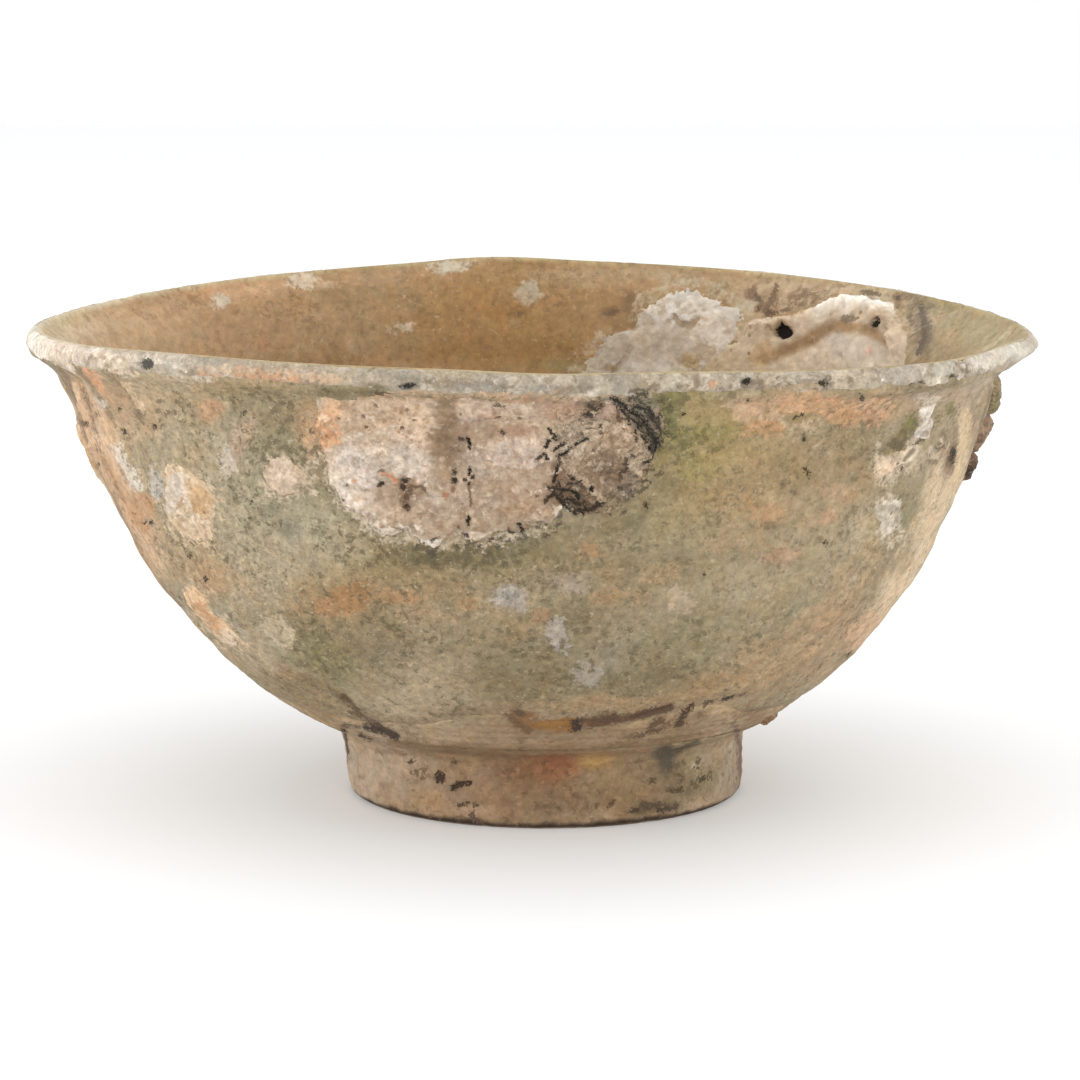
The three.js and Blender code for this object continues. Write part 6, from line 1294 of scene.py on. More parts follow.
FRONT_CORAL = [(319, 397), (340, 396), (358, 396), (380, 396), (416, 395), (450, 395), (470, 395), (518, 395), (566, 395), (590, 396), (584, 424), (580, 448),
               (582, 465), (578, 482), (570, 499), (560, 513), (549, 524), (525, 530), (501, 535), (479, 540), (455, 536), (436, 546), (424, 542),
               (407, 530), (392, 536), (378, 535), (370, 526), (351, 509), (334, 489), (328, 470), (326, 455), (322, 446), (316, 431), (318, 414)]
FRONT_CORAL_MARKS = [
    ("b", 330, 424, 16, 28, 6, (226, 182, 142), 0.85, {"edge": 0.6}), ("b", 334, 432, 5, 6, 0, (210, 154, 112), 0.6, {"edge": 0.7}), ("s", [(322, 412), (329, 409), (334, 414), (331, 420), (324, 419)], 1.2, (206, 146, 102), 0.7, {"layer": 1, "warp": 0.8}), ("s", [(321, 425), (328, 423), (333, 428), (330, 436), (323, 434)], 1.2, (204, 142, 98), 0.7, {"layer": 1, "warp": 0.8}), ("s", [(333, 421), (339, 424), (340, 432), (335, 438)], 1.2, (208, 150, 108), 0.65, {"layer": 1, "warp": 0.8}), ("b", 327, 414, 3.4, 3, 0, (236, 206, 172), 0.7, {"layer": 1}), ("b", 326, 430, 3.2, 3.6, 0, (234, 200, 164), 0.7, {"layer": 1}), ("b", 327, 443, 6, 4, 0, (226, 176, 134), 0.7),
    ("b", 338, 408, 16, 8, 0, (218, 172, 132), 0.7, {"edge": 0.7}), ("b", 326, 414, 5, 6, 0, (240, 208, 176), 0.8), ("b", 341, 441, 5, 3, 0, (222, 170, 128), 0.7),
    ("b", 385, 425, 52, 24, 0, (202, 175, 147), 0.75, {"edge": 0.7}), ("b", 363, 425, 12, 8, 0, (184, 154, 124), 0.65, {"edge": 0.7, "layer": 0}), ("b", 395, 415, 14, 8, 0, (196, 160, 126), 0.5, {"edge": 0.7, "layer": 0}),
    ("b", 420, 418, 20, 16, 0, (214, 188, 160), 0.7, {"edge": 0.7}), ("b", 408, 432, 14, 10, 0, (206, 176, 152), 0.6, {"edge": 0.7, "layer": 0}),
    ("b", 352, 480, 28, 34, 20, (230, 213, 196), 0.9, {"edge": 0.6}), ("b", 366, 459, 17, 9, 0, (204, 194, 184), 0.85, {"edge": 0.6, "layer": 0}), ("b", 388, 463, 12, 8, 0, (202, 186, 172), 0.7, {"edge": 0.6, "layer": 0}),
    ("b", 410, 462, 18, 16, 30, (218, 204, 188), 0.85, {"edge": 0.6}), ("b", 432, 482, 12, 16, 0, (214, 194, 172), 0.75, {"edge": 0.6}), ("b", 434, 498, 12, 6, 0, (222, 208, 194), 0.7, {"edge": 0.6, "layer": 0}),
    ("b", 383, 493, 20, 12, 0, (174, 149, 126), 0.9, {"h": -0.35, "tex": 0.55, "edge": 0.6}), ("b", 405, 520, 50, 12, 6, (187, 165, 141), 0.75, {"edge": 0.7}), ("b", 385, 530, 16, 7, 0, (222, 208, 190), 0.85, {"edge": 0.5}),
    ("b", 432, 541, 12, 5, 0, (216, 206, 194), 0.9), ("b", 480, 534, 30, 5, 0, (206, 188, 168), 0.7),
    ("s", [(451, 396), (452, 418), (450, 436)], 8.5, (156, 130, 105), 0.88, {"h": -0.35, "edge": 0.6, "warp": 0.7, "tex": 0.7, "layer": 0}), ("s", [(450, 436), (448, 452), (444, 468)], 12, (152, 126, 101), 0.9, {"h": -0.4, "edge": 0.6, "warp": 0.7, "tex": 0.7, "layer": 0}), ("b", 447, 474, 12, 8, 0, (172, 146, 120), 0.7, {"edge": 0.8, "layer": 0}),
    ("s", [(458, 426), (476, 433), (496, 431)], 6, (164, 136, 111), 0.8, {"h": -0.35, "edge": 0.8, "tex": 0.6, "layer": 0}), ("s", [(498, 429), (520, 427), (546, 430)], 4, (182, 150, 128), 0.65, {"edge": 0.8, "layer": 0}), ("b", 462, 446, 8, 20, 0, (156, 132, 110), 0.7, {"h": -0.25, "edge": 0.7, "layer": 0}),
    ("b", 478, 410, 16, 12, 0, (204, 178, 156), 0.85, {"edge": 0.6}), ("b", 520, 410, 34, 9, 4, (206, 182, 158), 0.8, {"edge": 0.6}), ("b", 492, 414, 10, 6, 0, (196, 160, 136), 0.6, {"edge": 0.7, "layer": 0}),
    ("s", [(562, 398), (520, 397), (470, 396)], 3.4, (168, 136, 106), 0.75, {"layer": 1}), ("s", [(440, 396), (400, 395), (340, 394)], 2.8, (158, 130, 98), 0.7, {"layer": 1}),
    ("b", 517, 452, 25, 18, 0, (204, 184, 166), 0.9, {"h": 0.45, "edge": 0.45, "layer": 1}), ("b", 477, 455, 14, 14, 0, (206, 190, 172), 0.8, {"edge": 0.6}), ("b", 530, 430, 16, 5, 12, (184, 150, 130), 0.7, {"edge": 0.7, "layer": 0}),
    ("b", 518, 492, 40, 28, 0, (169, 147, 123), 0.85, {"edge": 0.8}), ("b", 530, 508, 22, 10, 0, (186, 153, 120), 0.75, {"edge": 0.8}), ("b", 440, 512, 40, 12, 0, (180, 156, 132), 0.7, {"edge": 0.8}),
    ("b", 487, 474, 10, 8, 0, (176, 156, 138), 0.6, {"edge": 0.8, "layer": 0}), ("b", 500, 485, 14, 10, 0, (170, 142, 116), 0.5, {"edge": 0.8, "layer": 0}),
    ("b", 473, 447, 14, 24, 0, (154, 132, 112), 0.6, {"edge": 0.8, "layer": 0}), ("b", 382, 459, 24, 12, 0, (188, 168, 150), 0.6, {"edge": 0.8, "layer": 0}), ("b", 508, 525, 44, 9, -4, (149, 132, 109), 0.72, {"edge": 0.8, "layer": 0}), ("b", 436, 478, 12, 13, 0, (174, 157, 139), 0.5, {"edge": 0.8, "layer": 0}), ("b", 447, 504, 38, 14, 4, (168, 148, 127), 0.55, {"edge": 0.8, "layer": 0}), ("b", 364, 480, 16, 16, 0, (200, 182, 163), 0.5, {"edge": 0.8, "layer": 0}), ("b", 320, 436, 8, 16, 0, (222, 176, 134), 0.7, {"edge": 0.6, "layer": 0}),
    # hollow with brown painted shade round its dark core, small holes and the row of dark pricks
    ("b", 413, 489, 14, 10, 0, (142, 114, 90), 0.85, {"h": -0.4, "edge": 0.8, "layer": 0}), ("s", [(405, 478), (405, 490), (408, 505)], 4.6, (118, 95, 74), 0.7, {"edge": 0.8, "layer": 0, "h": -0.3}), ("b", 407, 479, 3.0, 3.4, 20, (54, 43, 34), 0.92, {"warp": 0.8}), ("b", 405, 487, 2.6, 3.8, -10, (64, 50, 38), 0.9, {"warp": 0.8}), ("b", 408, 497, 2.0, 3.4, 10, (92, 72, 54), 0.82), ("b", 412, 489, 2.4, 4, 20, (98, 80, 62), 0.75), ("s", [(416, 486), (424, 484), (427, 488)], 1.4, (104, 82, 62), 0.75),
    ("b", 409, 506, 3.0, 2.0, 40, (72, 58, 46), 0.85, {"h": -0.3}), ("b", 426, 486, 2, 5, 0, (120, 96, 76), 0.8), ("b", 383, 482, 3.2, 2.2, -30, (60, 48, 36), 0.9, {"h": -0.3}), ("b", 384, 468, 2.4, 1.6, 0, (110, 92, 76), 0.8),
    ("s", [(356, 478), (366, 477), (372, 479)], 1.3, (214, 150, 116), 0.8, {"layer": 1}), ("s", [(386, 471), (394, 473), (398, 478)], 1.6, (206, 138, 100), 0.85, {"layer": 1}),
    ("b", 470, 440, 2.0, 5, -14, (26, 22, 18), 0.97, {"h": -0.4}), ("b", 463, 438, 3, 1.6, 0, (66, 54, 42), 0.85), ("b", 471, 470, 1.4, 3.2, 8, (40, 34, 28), 0.95, {"h": -0.4}), ("b", 467, 478, 2.2, 1.6, 30, (58, 50, 42), 0.9), ("b", 474, 476, 1.9, 1.8, -30, (50, 42, 34), 0.9), ("b", 471, 482, 1.5, 2.2, 0, (46, 40, 32), 0.92), ("b", 471, 487, 1.2, 4, 0, (110, 84, 64), 0.8),
    ("b", 456, 470, 2.2, 3.6, 10, (58, 48, 40), 0.9), ("b", 456, 479, 3, 2.8, 0, (50, 42, 34), 0.9, {"h": -0.3}), ("b", 448, 491, 3.4, 3, 0, (166, 112, 82), 0.8), ("b", 455, 487, 2, 3, 0, (130, 96, 72), 0.8), ("b", 457, 450, 4, 1.4, 10, (110, 92, 76), 0.7),
    ("b", 472, 499, 1.4, 3, 0, (110, 84, 66), 0.85), ("b", 470, 517, 1.6, 4, 4, (34, 28, 24), 0.95, {"h": -0.3}), ("b", 468, 533, 3.6, 3.2, 0, (66, 58, 48), 0.85, {"h": -0.3}), ("b", 478, 443, 5, 1.6, 0, (222, 200, 176), 0.8), ("b", 480, 418, 2, 4, 0, (140, 112, 92), 0.6),
    ("b", 468, 422, 3, 4, 0, (140, 108, 86), 0.6), ("b", 503, 430, 2.6, 2.2, 0, (62, 54, 46), 0.85), ("b", 500, 404, 4, 1.6, 0, (96, 80, 66), 0.8), ("b", 538, 493, 2, 1.6, 0, (110, 86, 66), 0.8), ("b", 416, 425, 1.6, 1.6, 0, (150, 118, 92), 0.7),
    ("s", [(520, 521), (524, 527), (530, 530), (538, 528)], 1.8, (40, 34, 28), 0.92, {"h": -0.3}), ("b", 513, 531, 5, 2.8, 10, (78, 70, 56), 0.9, {"h": -0.3}), ("b", 521, 533, 4, 2.6, 0, (64, 56, 44), 0.85),
    ("s", [(395, 524), (402, 526), (405, 530)], 1.2, (112, 98, 84), 0.85), ("b", 436, 536, 3.4, 2, -20, (84, 76, 64), 0.85), ("b", 424, 541, 4, 1.4, 0, (84, 76, 66), 0.85), ("b", 437, 548, 4, 1.6, 0, (92, 84, 70), 0.8), ("b", 486, 535, 3, 1.4, 0, (110, 94, 78), 0.8),
    *crumbs([(356, 410), (400, 440), (440, 480), (470, 512)], 70, (0.6, 1.2), 54, 108, (150, 121, 97), 0.6, layer=1), *crumbs([(334, 468), (350, 500), (380, 524), (430, 534)], 44, (1.2, 2.7), 9, 109, (234, 224, 211), 0.65, layer=1), *crumbs([(366, 418), (400, 424), (424, 436)], 24, (1.2, 2.8), 20, 111, (230, 212, 192), 0.5, layer=1), *crumbs([(504, 436), (530, 444), (560, 448)], 20, (1.2, 2.8), 14, 112, (228, 212, 194), 0.5, layer=1), ("s", [(446, 402), (445, 432), (451, 464)], 9, (146, 124, 97), 0.5, {"edge": 0.7, "layer": 0}), ("b", 482, 430, 14, 12, 0, (172, 148, 122), 0.45, {"edge": 0.8, "layer": 0}),
] + specks(356, 470, 30, 40, 26, (2.0, 4.2), 24, (232, 216, 199), 0.5, layer=1) + specks(410, 440, 40, 34, 30, (1.8, 3.8), 25, (216, 194, 170), 0.5, layer=1) + specks(515, 470, 44, 56, 34, (1.8, 4.0), 26, (198, 177, 154), 0.5, layer=1) + specks(440, 505, 70, 30, 36, (1.5, 3.4), 27, (156, 132, 108), 0.65, layer=1) + specks(400, 425, 60, 24, 16, (0.6, 1.2), 21, (150, 112, 84), 0.7) + specks(515, 490, 38, 30, 20, (0.6, 1.3), 22, (130, 102, 80), 0.7) + specks(520, 410, 40, 10, 8, (0.6, 1.2), 23, (130, 104, 84), 0.7) \
  + specks(445, 520, 60, 14, 12, (0.6, 1.2), 24, (128, 106, 86), 0.7) + specks(352, 480, 24, 30, 10, (0.6, 1.1), 25, (196, 162, 134), 0.7)

OYSTER = [(560, 397), (591, 394), (615, 392), (639, 391), (660, 396), (665, 421), (664, 443), (653, 465), (641, 487), (626, 507), (604, 514), (581, 519),
          (560, 508), (548, 499), (554, 482), (556, 465), (545, 450), (552, 424)]
INK = (34, 30, 25)
OYSTER_MARKS = [
    ("b", 600, 455, 60, 60, 0, (166, 145, 118), 0.8, {"edge": 0.8}), ("b", 590, 448, 30, 24, 0, (176, 154, 129), 0.9, {"edge": 0.6, "tex": 0.8}),
    ("b", 622, 434, 18, 18, 0, (180, 152, 123), 0.8, {"edge": 0.7}), ("b", 609, 470, 20, 18, -20, (140, 114, 90), 0.85, {"edge": 0.6, "h": -0.25}), ("b", 640, 452, 8, 14, 0, (190, 168, 142), 0.7, {"edge": 0.7, "layer": 0}),
    ("b", 565, 408, 24, 8, -4, (178, 142, 114), 0.8, {"edge": 0.7}), ("b", 606, 406, 12, 8, 0, (178, 148, 134), 0.75, {"edge": 0.7}), ("b", 580, 420, 26, 8, -4, (188, 166, 140), 0.75, {"edge": 0.7}), ("b", 548, 440, 14, 22, 0, (194, 172, 148), 0.75, {"edge": 0.7}),
    ("b", 650, 480, 14, 26, 24, (158, 138, 104), 0.85, {"edge": 0.7}), ("b", 622, 500, 24, 10, -20, (150, 134, 104), 0.85, {"edge": 0.7}), ("b", 564, 512, 8, 8, 20, (206, 192, 174), 0.8), ("b", 634, 464, 8, 5, 40, (194, 176, 152), 0.7),
    ("s", [(562, 458), (580, 476), (602, 498)], 3.2, (186, 162, 136), 0.7, {"h": 0.25, "layer": 1}),
    ("b", 578, 477, 14, 10, 20, (126, 102, 78), 0.6, {"edge": 0.8, "layer": 0}),
    # dark wedge below the plate
    ("b", 572, 494, 26, 16, 20, (118, 96, 74), 0.85, {"edge": 0.5, "h": -0.5, "layer": 0}), ("b", 558, 472, 6, 14, -14, (112, 88, 66), 0.8, {"edge": 0.5, "layer": 0}), ("b", 590, 502, 14, 7, -14, (104, 84, 64), 0.85, {"edge": 0.5, "layer": 0}),
    ("b", 569, 478, 9, 6, 10, (156, 128, 104), 0.75, {"edge": 0.6, "layer": 0}), ("b", 573, 493, 7, 4, 10, (134, 112, 86), 0.75, {"edge": 0.6, "layer": 0}), ("b", 588, 492, 6, 4, 0, (140, 112, 86), 0.6, {"edge": 0.6, "layer": 0}),
    ("s", [(560, 460), (557, 470), (554, 480)], 1.5, (48, 38, 30), 0.92, {"warp": 0.6}), ("b", 574, 475, 3.0, 2.6, 0, (44, 36, 28), 0.9), ("s", [(568, 481), (575, 482), (581, 480)], 1.4, (54, 44, 34), 0.9),
    ("s", [(562, 487), (570, 487), (576, 491), (579, 496)], 1.7, INK, 0.95, {"h": 0.15}), ("s", [(565, 498), (571, 498), (576, 502)], 1.6, INK, 0.92, {"h": 0.15}), ("s", [(549, 495), (556, 492), (561, 499), (566, 506), (576, 511)], 1.9, (44, 35, 27), 0.95, {"warp": 0.7, "h": 0.2}),
    ("s", [(576, 508), (590, 507), (602, 501)], 1.6, (54, 43, 33), 0.92, {"warp": 0.7}), ("b", 592, 488, 2.4, 2.6, 20, (24, 20, 16), 0.97, {"h": -0.3}), ("b", 583, 514, 2.2, 3.4, 10, (24, 20, 16), 0.97), ("s", [(553, 486), (558, 485), (562, 487)], 1.6, (60, 48, 38), 0.9), ("b", 546, 499, 2, 2.4, 0, (70, 56, 44), 0.85),
    # dashes on the left
    ("s", [(550, 424), (552, 429), (556, 432)], 1.5, INK, 0.92), ("s", [(555, 435), (549, 438), (547, 444)], 1.7, INK, 0.94), ("s", [(556, 446), (560, 442), (565, 440)], 1.5, (44, 38, 31), 0.94), ("s", [(559, 453), (565, 450), (571, 445)], 1.7, INK, 0.95),
    ("s", [(537, 457), (541, 453), (545, 450)], 1.2, (54, 46, 38), 0.9), ("b", 547, 455, 1.8, 2.2, -20, (24, 20, 17), 0.97), ("s", [(577, 441), (582, 439), (586, 437)], 1.5, INK, 0.92), ("b", 588, 437, 1.6, 1.8, 0, (40, 34, 28), 0.9), ("b", 589, 426, 2.2, 1.2, 0, (92, 78, 64), 0.8),
    ("b", 601, 424, 1.4, 1.8, 0, (54, 46, 38), 0.85), ("b", 601, 430, 1.2, 1.6, 0, (74, 62, 50), 0.8), ("s", [(558, 452), (561, 459)], 1.5, (70, 58, 46), 0.85), ("s", [(582, 430), (584, 436)], 1.0, (84, 70, 56), 0.8), ("b", 541, 464, 3.4, 1.2, 0, (120, 98, 78), 0.7), ("b", 612, 440, 1.2, 6, -8, (128, 100, 78), 0.7),
    # smear above, strokes right
    ("b", 596, 403, 9, 9, 0, (96, 78, 60), 0.8, {"edge": 0.7, "layer": 0}), ("b", 588, 410, 4.4, 2, 0, (52, 42, 32), 0.9), ("s", [(590, 404), (598, 408), (602, 404)], 1.6, (64, 52, 40), 0.85), ("s", [(619, 409), (620, 419)], 1.8, (92, 68, 54), 0.85),
    ("b", 633, 454, 1.6, 2, 0, (62, 52, 42), 0.9), ("s", [(644, 460), (650, 457), (656, 453)], 1.5, (46, 38, 30), 0.92), ("b", 653, 464, 1.4, 1.8, 0, (50, 42, 34), 0.9), ("s", [(627, 460), (626, 468), (621, 474)], 2.0, (86, 66, 50), 0.85), ("b", 628, 487, 8, 9, 10, (110, 97, 82), 0.85, {"edge": 0.6, "layer": 0}),
    ("b", 620, 486, 2, 1.8, 0, (60, 50, 42), 0.85), ("b", 647, 506, 2.2, 1.8, 0, (66, 54, 40), 0.9), ("b", 611, 493, 2.4, 1.4, 0, (92, 76, 60), 0.8), ("b", 632, 472, 3, 6, 20, (138, 124, 108), 0.7),
    # black scratchy fan, upper right
    ("b", 643, 417, 13, 11, 40, (118, 110, 92), 0.75, {"edge": 0.6, "h": 0.35, "layer": 0}), ("b", 653, 438, 7, 15, -6, (112, 102, 84), 0.75, {"edge": 0.6, "h": 0.35, "layer": 0}), ("b", 652, 399, 14, 6, 0, (122, 116, 94), 0.7, {"edge": 0.7, "layer": 0}),
    ("s", [(612, 398), (619, 400), (627, 404)], 1.8, INK, 0.97), ("s", [(620, 402), (632, 408), (641, 410), (646, 415)], 1.3, (26, 23, 20), 0.97, {"h": 0.25}), ("s", [(622, 407), (632, 414), (640, 420)], 1.5, INK, 0.95, {"h": 0.2}), ("s", [(636, 404), (645, 405)], 1.4, INK, 0.95, {"h": 0.2}),
    ("s", [(648, 404), (653, 410)], 1.6, INK, 0.92), ("s", [(642, 411), (647, 420), (648, 429)], 1.6, (44, 40, 34), 0.94, {"h": 0.25}), ("s", [(646, 406), (653, 413), (658, 424)], 1.5, (50, 46, 38), 0.92, {"h": 0.25}), ("s", [(636, 422), (641, 427)], 1.4, INK, 0.95), ("s", [(640, 432), (645, 437)], 1.5, INK, 0.96),
    ("s", [(651, 429), (654, 436), (653, 444)], 2.2, (38, 34, 28), 0.95, {"h": 0.2}), ("b", 648, 443, 2.2, 2.4, 0, (24, 21, 18), 0.97), ("s", [(656, 412), (660, 428), (662, 434)], 1.5, (58, 52, 44), 0.9), ("s", [(630, 399), (631, 394), (636, 391)], 1.4, (56, 52, 44), 0.92, {"h": 0.2}), ("s", [(636, 398), (641, 394), (647, 393)], 1.4, (54, 50, 42), 0.9, {"h": 0.2}),
] + scratches([(616, 400), (632, 410), (645, 426), (655, 448)], 24, (6, 13), (0.5, 0.95), 9, 20, 31, (46, 42, 35), 0.9, h=0.15) + scratches([(634, 396), (648, 400), (660, 412), (661, 440)], 16, (5, 11), (0.5, 0.9), 6, 26, 32, (58, 54, 45), 0.88, h=0.15) \
  + scratches([(552, 484), (566, 496), (580, 506), (598, 500)], 14, (5, 10), (0.5, 0.95), 8, 24, 33, (46, 37, 29), 0.9, h=0.12) + specks(598, 452, 40, 40, 26, (0.6, 1.2), 34, (110, 88, 68), 0.75) + scratches([(578, 470), (598, 448), (624, 426)], 34, (5, 12), (0.7, 1.3), 30, 24, 36, (132, 108, 82), 0.75, layer=1) + scratches([(572, 456), (596, 436), (622, 418)], 30, (5, 12), (0.8, 1.5), 26, 24, 37, (204, 184, 158), 0.75, layer=1) + scratches([(600, 490), (618, 470), (634, 450)], 16, (4, 9), (0.7, 1.3), 14, 26, 38, (112, 92, 70), 0.8, layer=1) + specks(600, 460, 44, 44, 26, (1.6, 3.2), 39, (198, 178, 152), 0.7, layer=1) + specks(640, 480, 22, 24, 14, (0.6, 1.2), 35, (106, 90, 68), 0.7)

IN_CORAL = [(572, 373), (582, 357), (594, 345), (601, 333), (618, 331), (630, 326), (633, 316), (642, 301), (659, 295), (675, 289), (696, 286), (710, 289),
            (720, 297), (730, 302), (742, 306), (751, 314), (748, 325), (743, 335), (736, 348), (727, 357), (714, 364), (702, 373), (694, 387), (676, 400), (655, 394), (636, 408), (612, 397), (592, 401), (580, 387)]
IN_CORAL_MARKS = [
    ("b", 680, 305, 50, 22, 0, (190, 174, 156), 0.8, {"edge": 0.7}), ("b", 695, 296, 24, 10, 0, (194, 182, 168), 0.8), ("b", 735, 314, 18, 8, 10, (194, 182, 168), 0.8),
    ("b", 660, 345, 40, 16, 0, (172, 154, 134), 0.8, {"edge": 0.7}), ("b", 612, 346, 20, 14, 0, (164, 148, 128), 0.9, {"edge": 0.5}), ("b", 590, 365, 14, 9, -20, (170, 154, 132), 0.8),
    # painted shadow: the brown crescent under the small ledge at x 674 to 698, the notch at (610, 368) and the brown
    # hollow at (704, 352)
    ("s", [(674, 319), (681, 325), (690, 327), (698, 321)], 3.0, (156, 134, 108), 0.85, {"h": -0.4, "layer": 1}), ("s", [(680, 319), (690, 321), (700, 316)], 2.2, (206, 194, 180), 0.8, {"layer": 1}), ("s", [(624, 356), (617, 365), (611, 374)], 1.4, (124, 104, 82), 0.75, {"layer": 1, "warp": 0.9}), ("s", [(614, 371), (625, 361), (631, 349)], 2.4, (148, 129, 108), 0.6, {"h": -0.15, "layer": 0}), ("b", 610, 368, 8, 4, 0, (140, 114, 80), 0.6),
    ("b", 712, 336, 26, 14, -10, (206, 189, 170), 0.85, {"edge": 0.7, "layer": 0}), ("b", 745, 312, 12, 8, 0, (200, 183, 163), 0.8, {"edge": 0.7, "layer": 0}), ("b", 704, 352, 12, 7, 0, (178, 156, 128), 0.7, {"h": -0.3}), ("b", 690, 362, 10, 8, 0, (166, 138, 96), 0.7), ("b", 712, 340, 8, 4, 0, (196, 180, 160), 0.5), ("b", 676, 370, 16, 4, 0, (196, 180, 156), 0.7)] + specks(690, 305, 50, 20, 40, (2.2, 4.6), 51, (204, 192, 178), 0.7, layer=1) + specks(680, 325, 50, 24, 40, (1.8, 3.8), 52, (164, 144, 120), 0.6, layer=1) + specks(612, 348, 22, 14, 14, (2.0, 3.8), 53, (180, 166, 148), 0.6, layer=1)

IN_WORM = [(746, 320), (769, 316), (792, 313), (815, 306), (834, 299), (856, 293), (876, 294), (892, 299), (903, 314), (910, 331), (914, 348), (912, 363),
           (909, 380), (893, 398), (873, 391), (854, 411), (829, 403), (808, 419), (783, 405), (763, 413), (743, 398), (717, 402), (700, 389), (690, 372), (702, 357), (718, 350), (730, 337), (740, 324)]
WORM_RIDGE = [(746, 328), (770, 323), (792, 321), (817, 313), (843, 304), (868, 304), (886, 314), (897, 332), (900, 350)]
IN_WORM_MARKS = [
    ("b", 770, 340, 40, 20, 0, (186, 162, 134), 0.8, {"edge": 0.8}), ("b", 740, 362, 30, 14, 0, (180, 156, 126), 0.8, {"edge": 0.8}), ("b", 715, 368, 14, 10, 0, (176, 152, 118), 0.7),
    # the whitest strokes along the ridge's crest are its pale tube with a painted highlight on top
    ("s", [(760, 316), (790, 311), (815, 303), (836, 296)], 4, (160, 134, 106), 0.85, {"edge": 0.8, "layer": 0}), ("s", [(852, 291), (876, 292), (896, 300), (906, 318)], 5, (176, 154, 128), 0.8, {"edge": 0.8, "layer": 0}), ("s", [(878, 304), (892, 311), (901, 324), (905, 340)], 7.0, (218, 202, 181), 0.85, {"edge": 0.8, "layer": 0, "tex": 0.6}), ("b", 891, 335, 10, 13, 0, (154, 131, 105), 0.8, {"edge": 0.8, "layer": 0}), ("s", [(834, 312), (846, 309), (862, 310), (876, 314)], 4.0, (230, 216, 198), 0.3, {"edge": 0.9, "layer": 0}), ("s", [(822, 310), (836, 305), (852, 301), (872, 302), (882, 306)], 8.2, (244, 233, 218), 0.95, {"edge": 0.8, "layer": 0, "tex": 0.6}),
    ("b", 864, 292, 5, 2.4, 8, (72, 58, 44), 0.9), ("b", 847, 293, 3, 1.8, 0, (104, 86, 66), 0.8), ("b", 884, 297, 4.4, 2.2, 20, (86, 70, 54), 0.85), ("b", 897, 305, 2.6, 4, 0, (94, 78, 60), 0.85), ("s", [(820, 300), (832, 296)], 1.5, (112, 90, 68), 0.8),
    # the last stroke, pale on the ridge's left end, is made paler to make up for the slope's shading: painted light
    ("b", 838, 298, 10, 3, -14, (160, 132, 102), 0.75, {"layer": 1}), ("b", 872, 298, 8, 2.6, 8, (152, 124, 96), 0.7, {"layer": 1}), ("b", 905, 320, 7, 11, 0, (164, 140, 112), 0.85, {"edge": 0.8, "layer": 0}), ("b", 912, 342, 8, 16, 0, (146, 126, 102), 0.85, {"edge": 0.8, "layer": 0}), ("s", [(756, 323), (786, 322), (812, 315)], 7, (216, 193, 166), 0.85, {"edge": 0.8, "layer": 0}),
    ("b", 845, 350, 54, 18, -4, (193, 176, 158), 0.9, {"edge": 0.8, "tex": 0.7}), ("b", 800, 362, 40, 12, -6, (194, 172, 144), 0.7, {"edge": 0.8}), ("b", 900, 345, 10, 20, -10, (200, 178, 152), 0.8),
    # painted shadow: the brown lines under the ridge where it overhangs the hollow
    ("s", [(766, 361), (785, 352), (804, 344), (826, 333), (846, 327)], 6.0, (138, 108, 76), 0.92, {"edge": 0.8, "layer": 0}), ("s", [(846, 327), (860, 329), (876, 336), (894, 346)], 4.6, (150, 120, 88), 0.85, {"edge": 0.8, "layer": 0}), ("b", 764, 356, 16, 10, -30, (172, 140, 102), 0.6),
    ("b", 849, 320, 7, 3.4, 0, (112, 98, 82), 0.85), ("b", 874, 330, 10, 4, 14, (128, 102, 74), 0.7), ("b", 872, 352, 3, 3, 0, (206, 160, 140), 0.7), ("b", 842, 356, 2, 2, 0, (150, 130, 112), 0.6),
    ("b", 785, 333, 9.2, 6.0, 0, (24, 18, 14), 0.99, {"h": -1.3, "edge": 0.3, "warp": 0.4}), ("b", 785, 337, 2.8, 1.8, 0, (116, 104, 88), 0.9, {"layer": 2}), ("b", 772, 330, 3, 2, 0, (120, 100, 78), 0.6), ("b", 878, 325, 5.5, 4.2, 0, (32, 26, 20), 0.97, {"h": -1.5, "edge": 0.3, "warp": 0.3}),
    ("b", 760, 316, 6, 2.4, -10, (140, 112, 84), 0.6), ("b", 905, 326, 4, 6, 0, (172, 140, 104), 0.6)]


def worm_relief(c, u, v, rr):
    pts = np.array(WORM_RIDGE, float)
    d = np.full(len(c.x), 1e9)
    for a, b in zip(pts[:-1], pts[1:]):
        e = b - a
        k = np.clip(((c.x - a[0]) * e[0] + (c.y - a[1]) * e[1]) / (e @ e), 0, 1)
        # seen at a low angle, so heights in the view count for more
        d = np.minimum(d, np.hypot(c.x - a[0] - k * e[0], (c.y - a[1] - k * e[1]) * 1.25))
    return 1.7 * np.exp(-(d / 10.5) ** 2) * (0.3 + 0.7 * sstep(910, 880, c.x))


def oyster_relief(c, u, v, rr):
    """Shell plates: thin steps round a flat middle."""
    d = rr * 9 + 0.8 * c.sx * 3
    saw = d - np.floor(d)
    return 0.32 * (1 - saw) * sstep(0.35, 0.6, rr) + 0.25 * sstep(0.5, 0.8, rr)


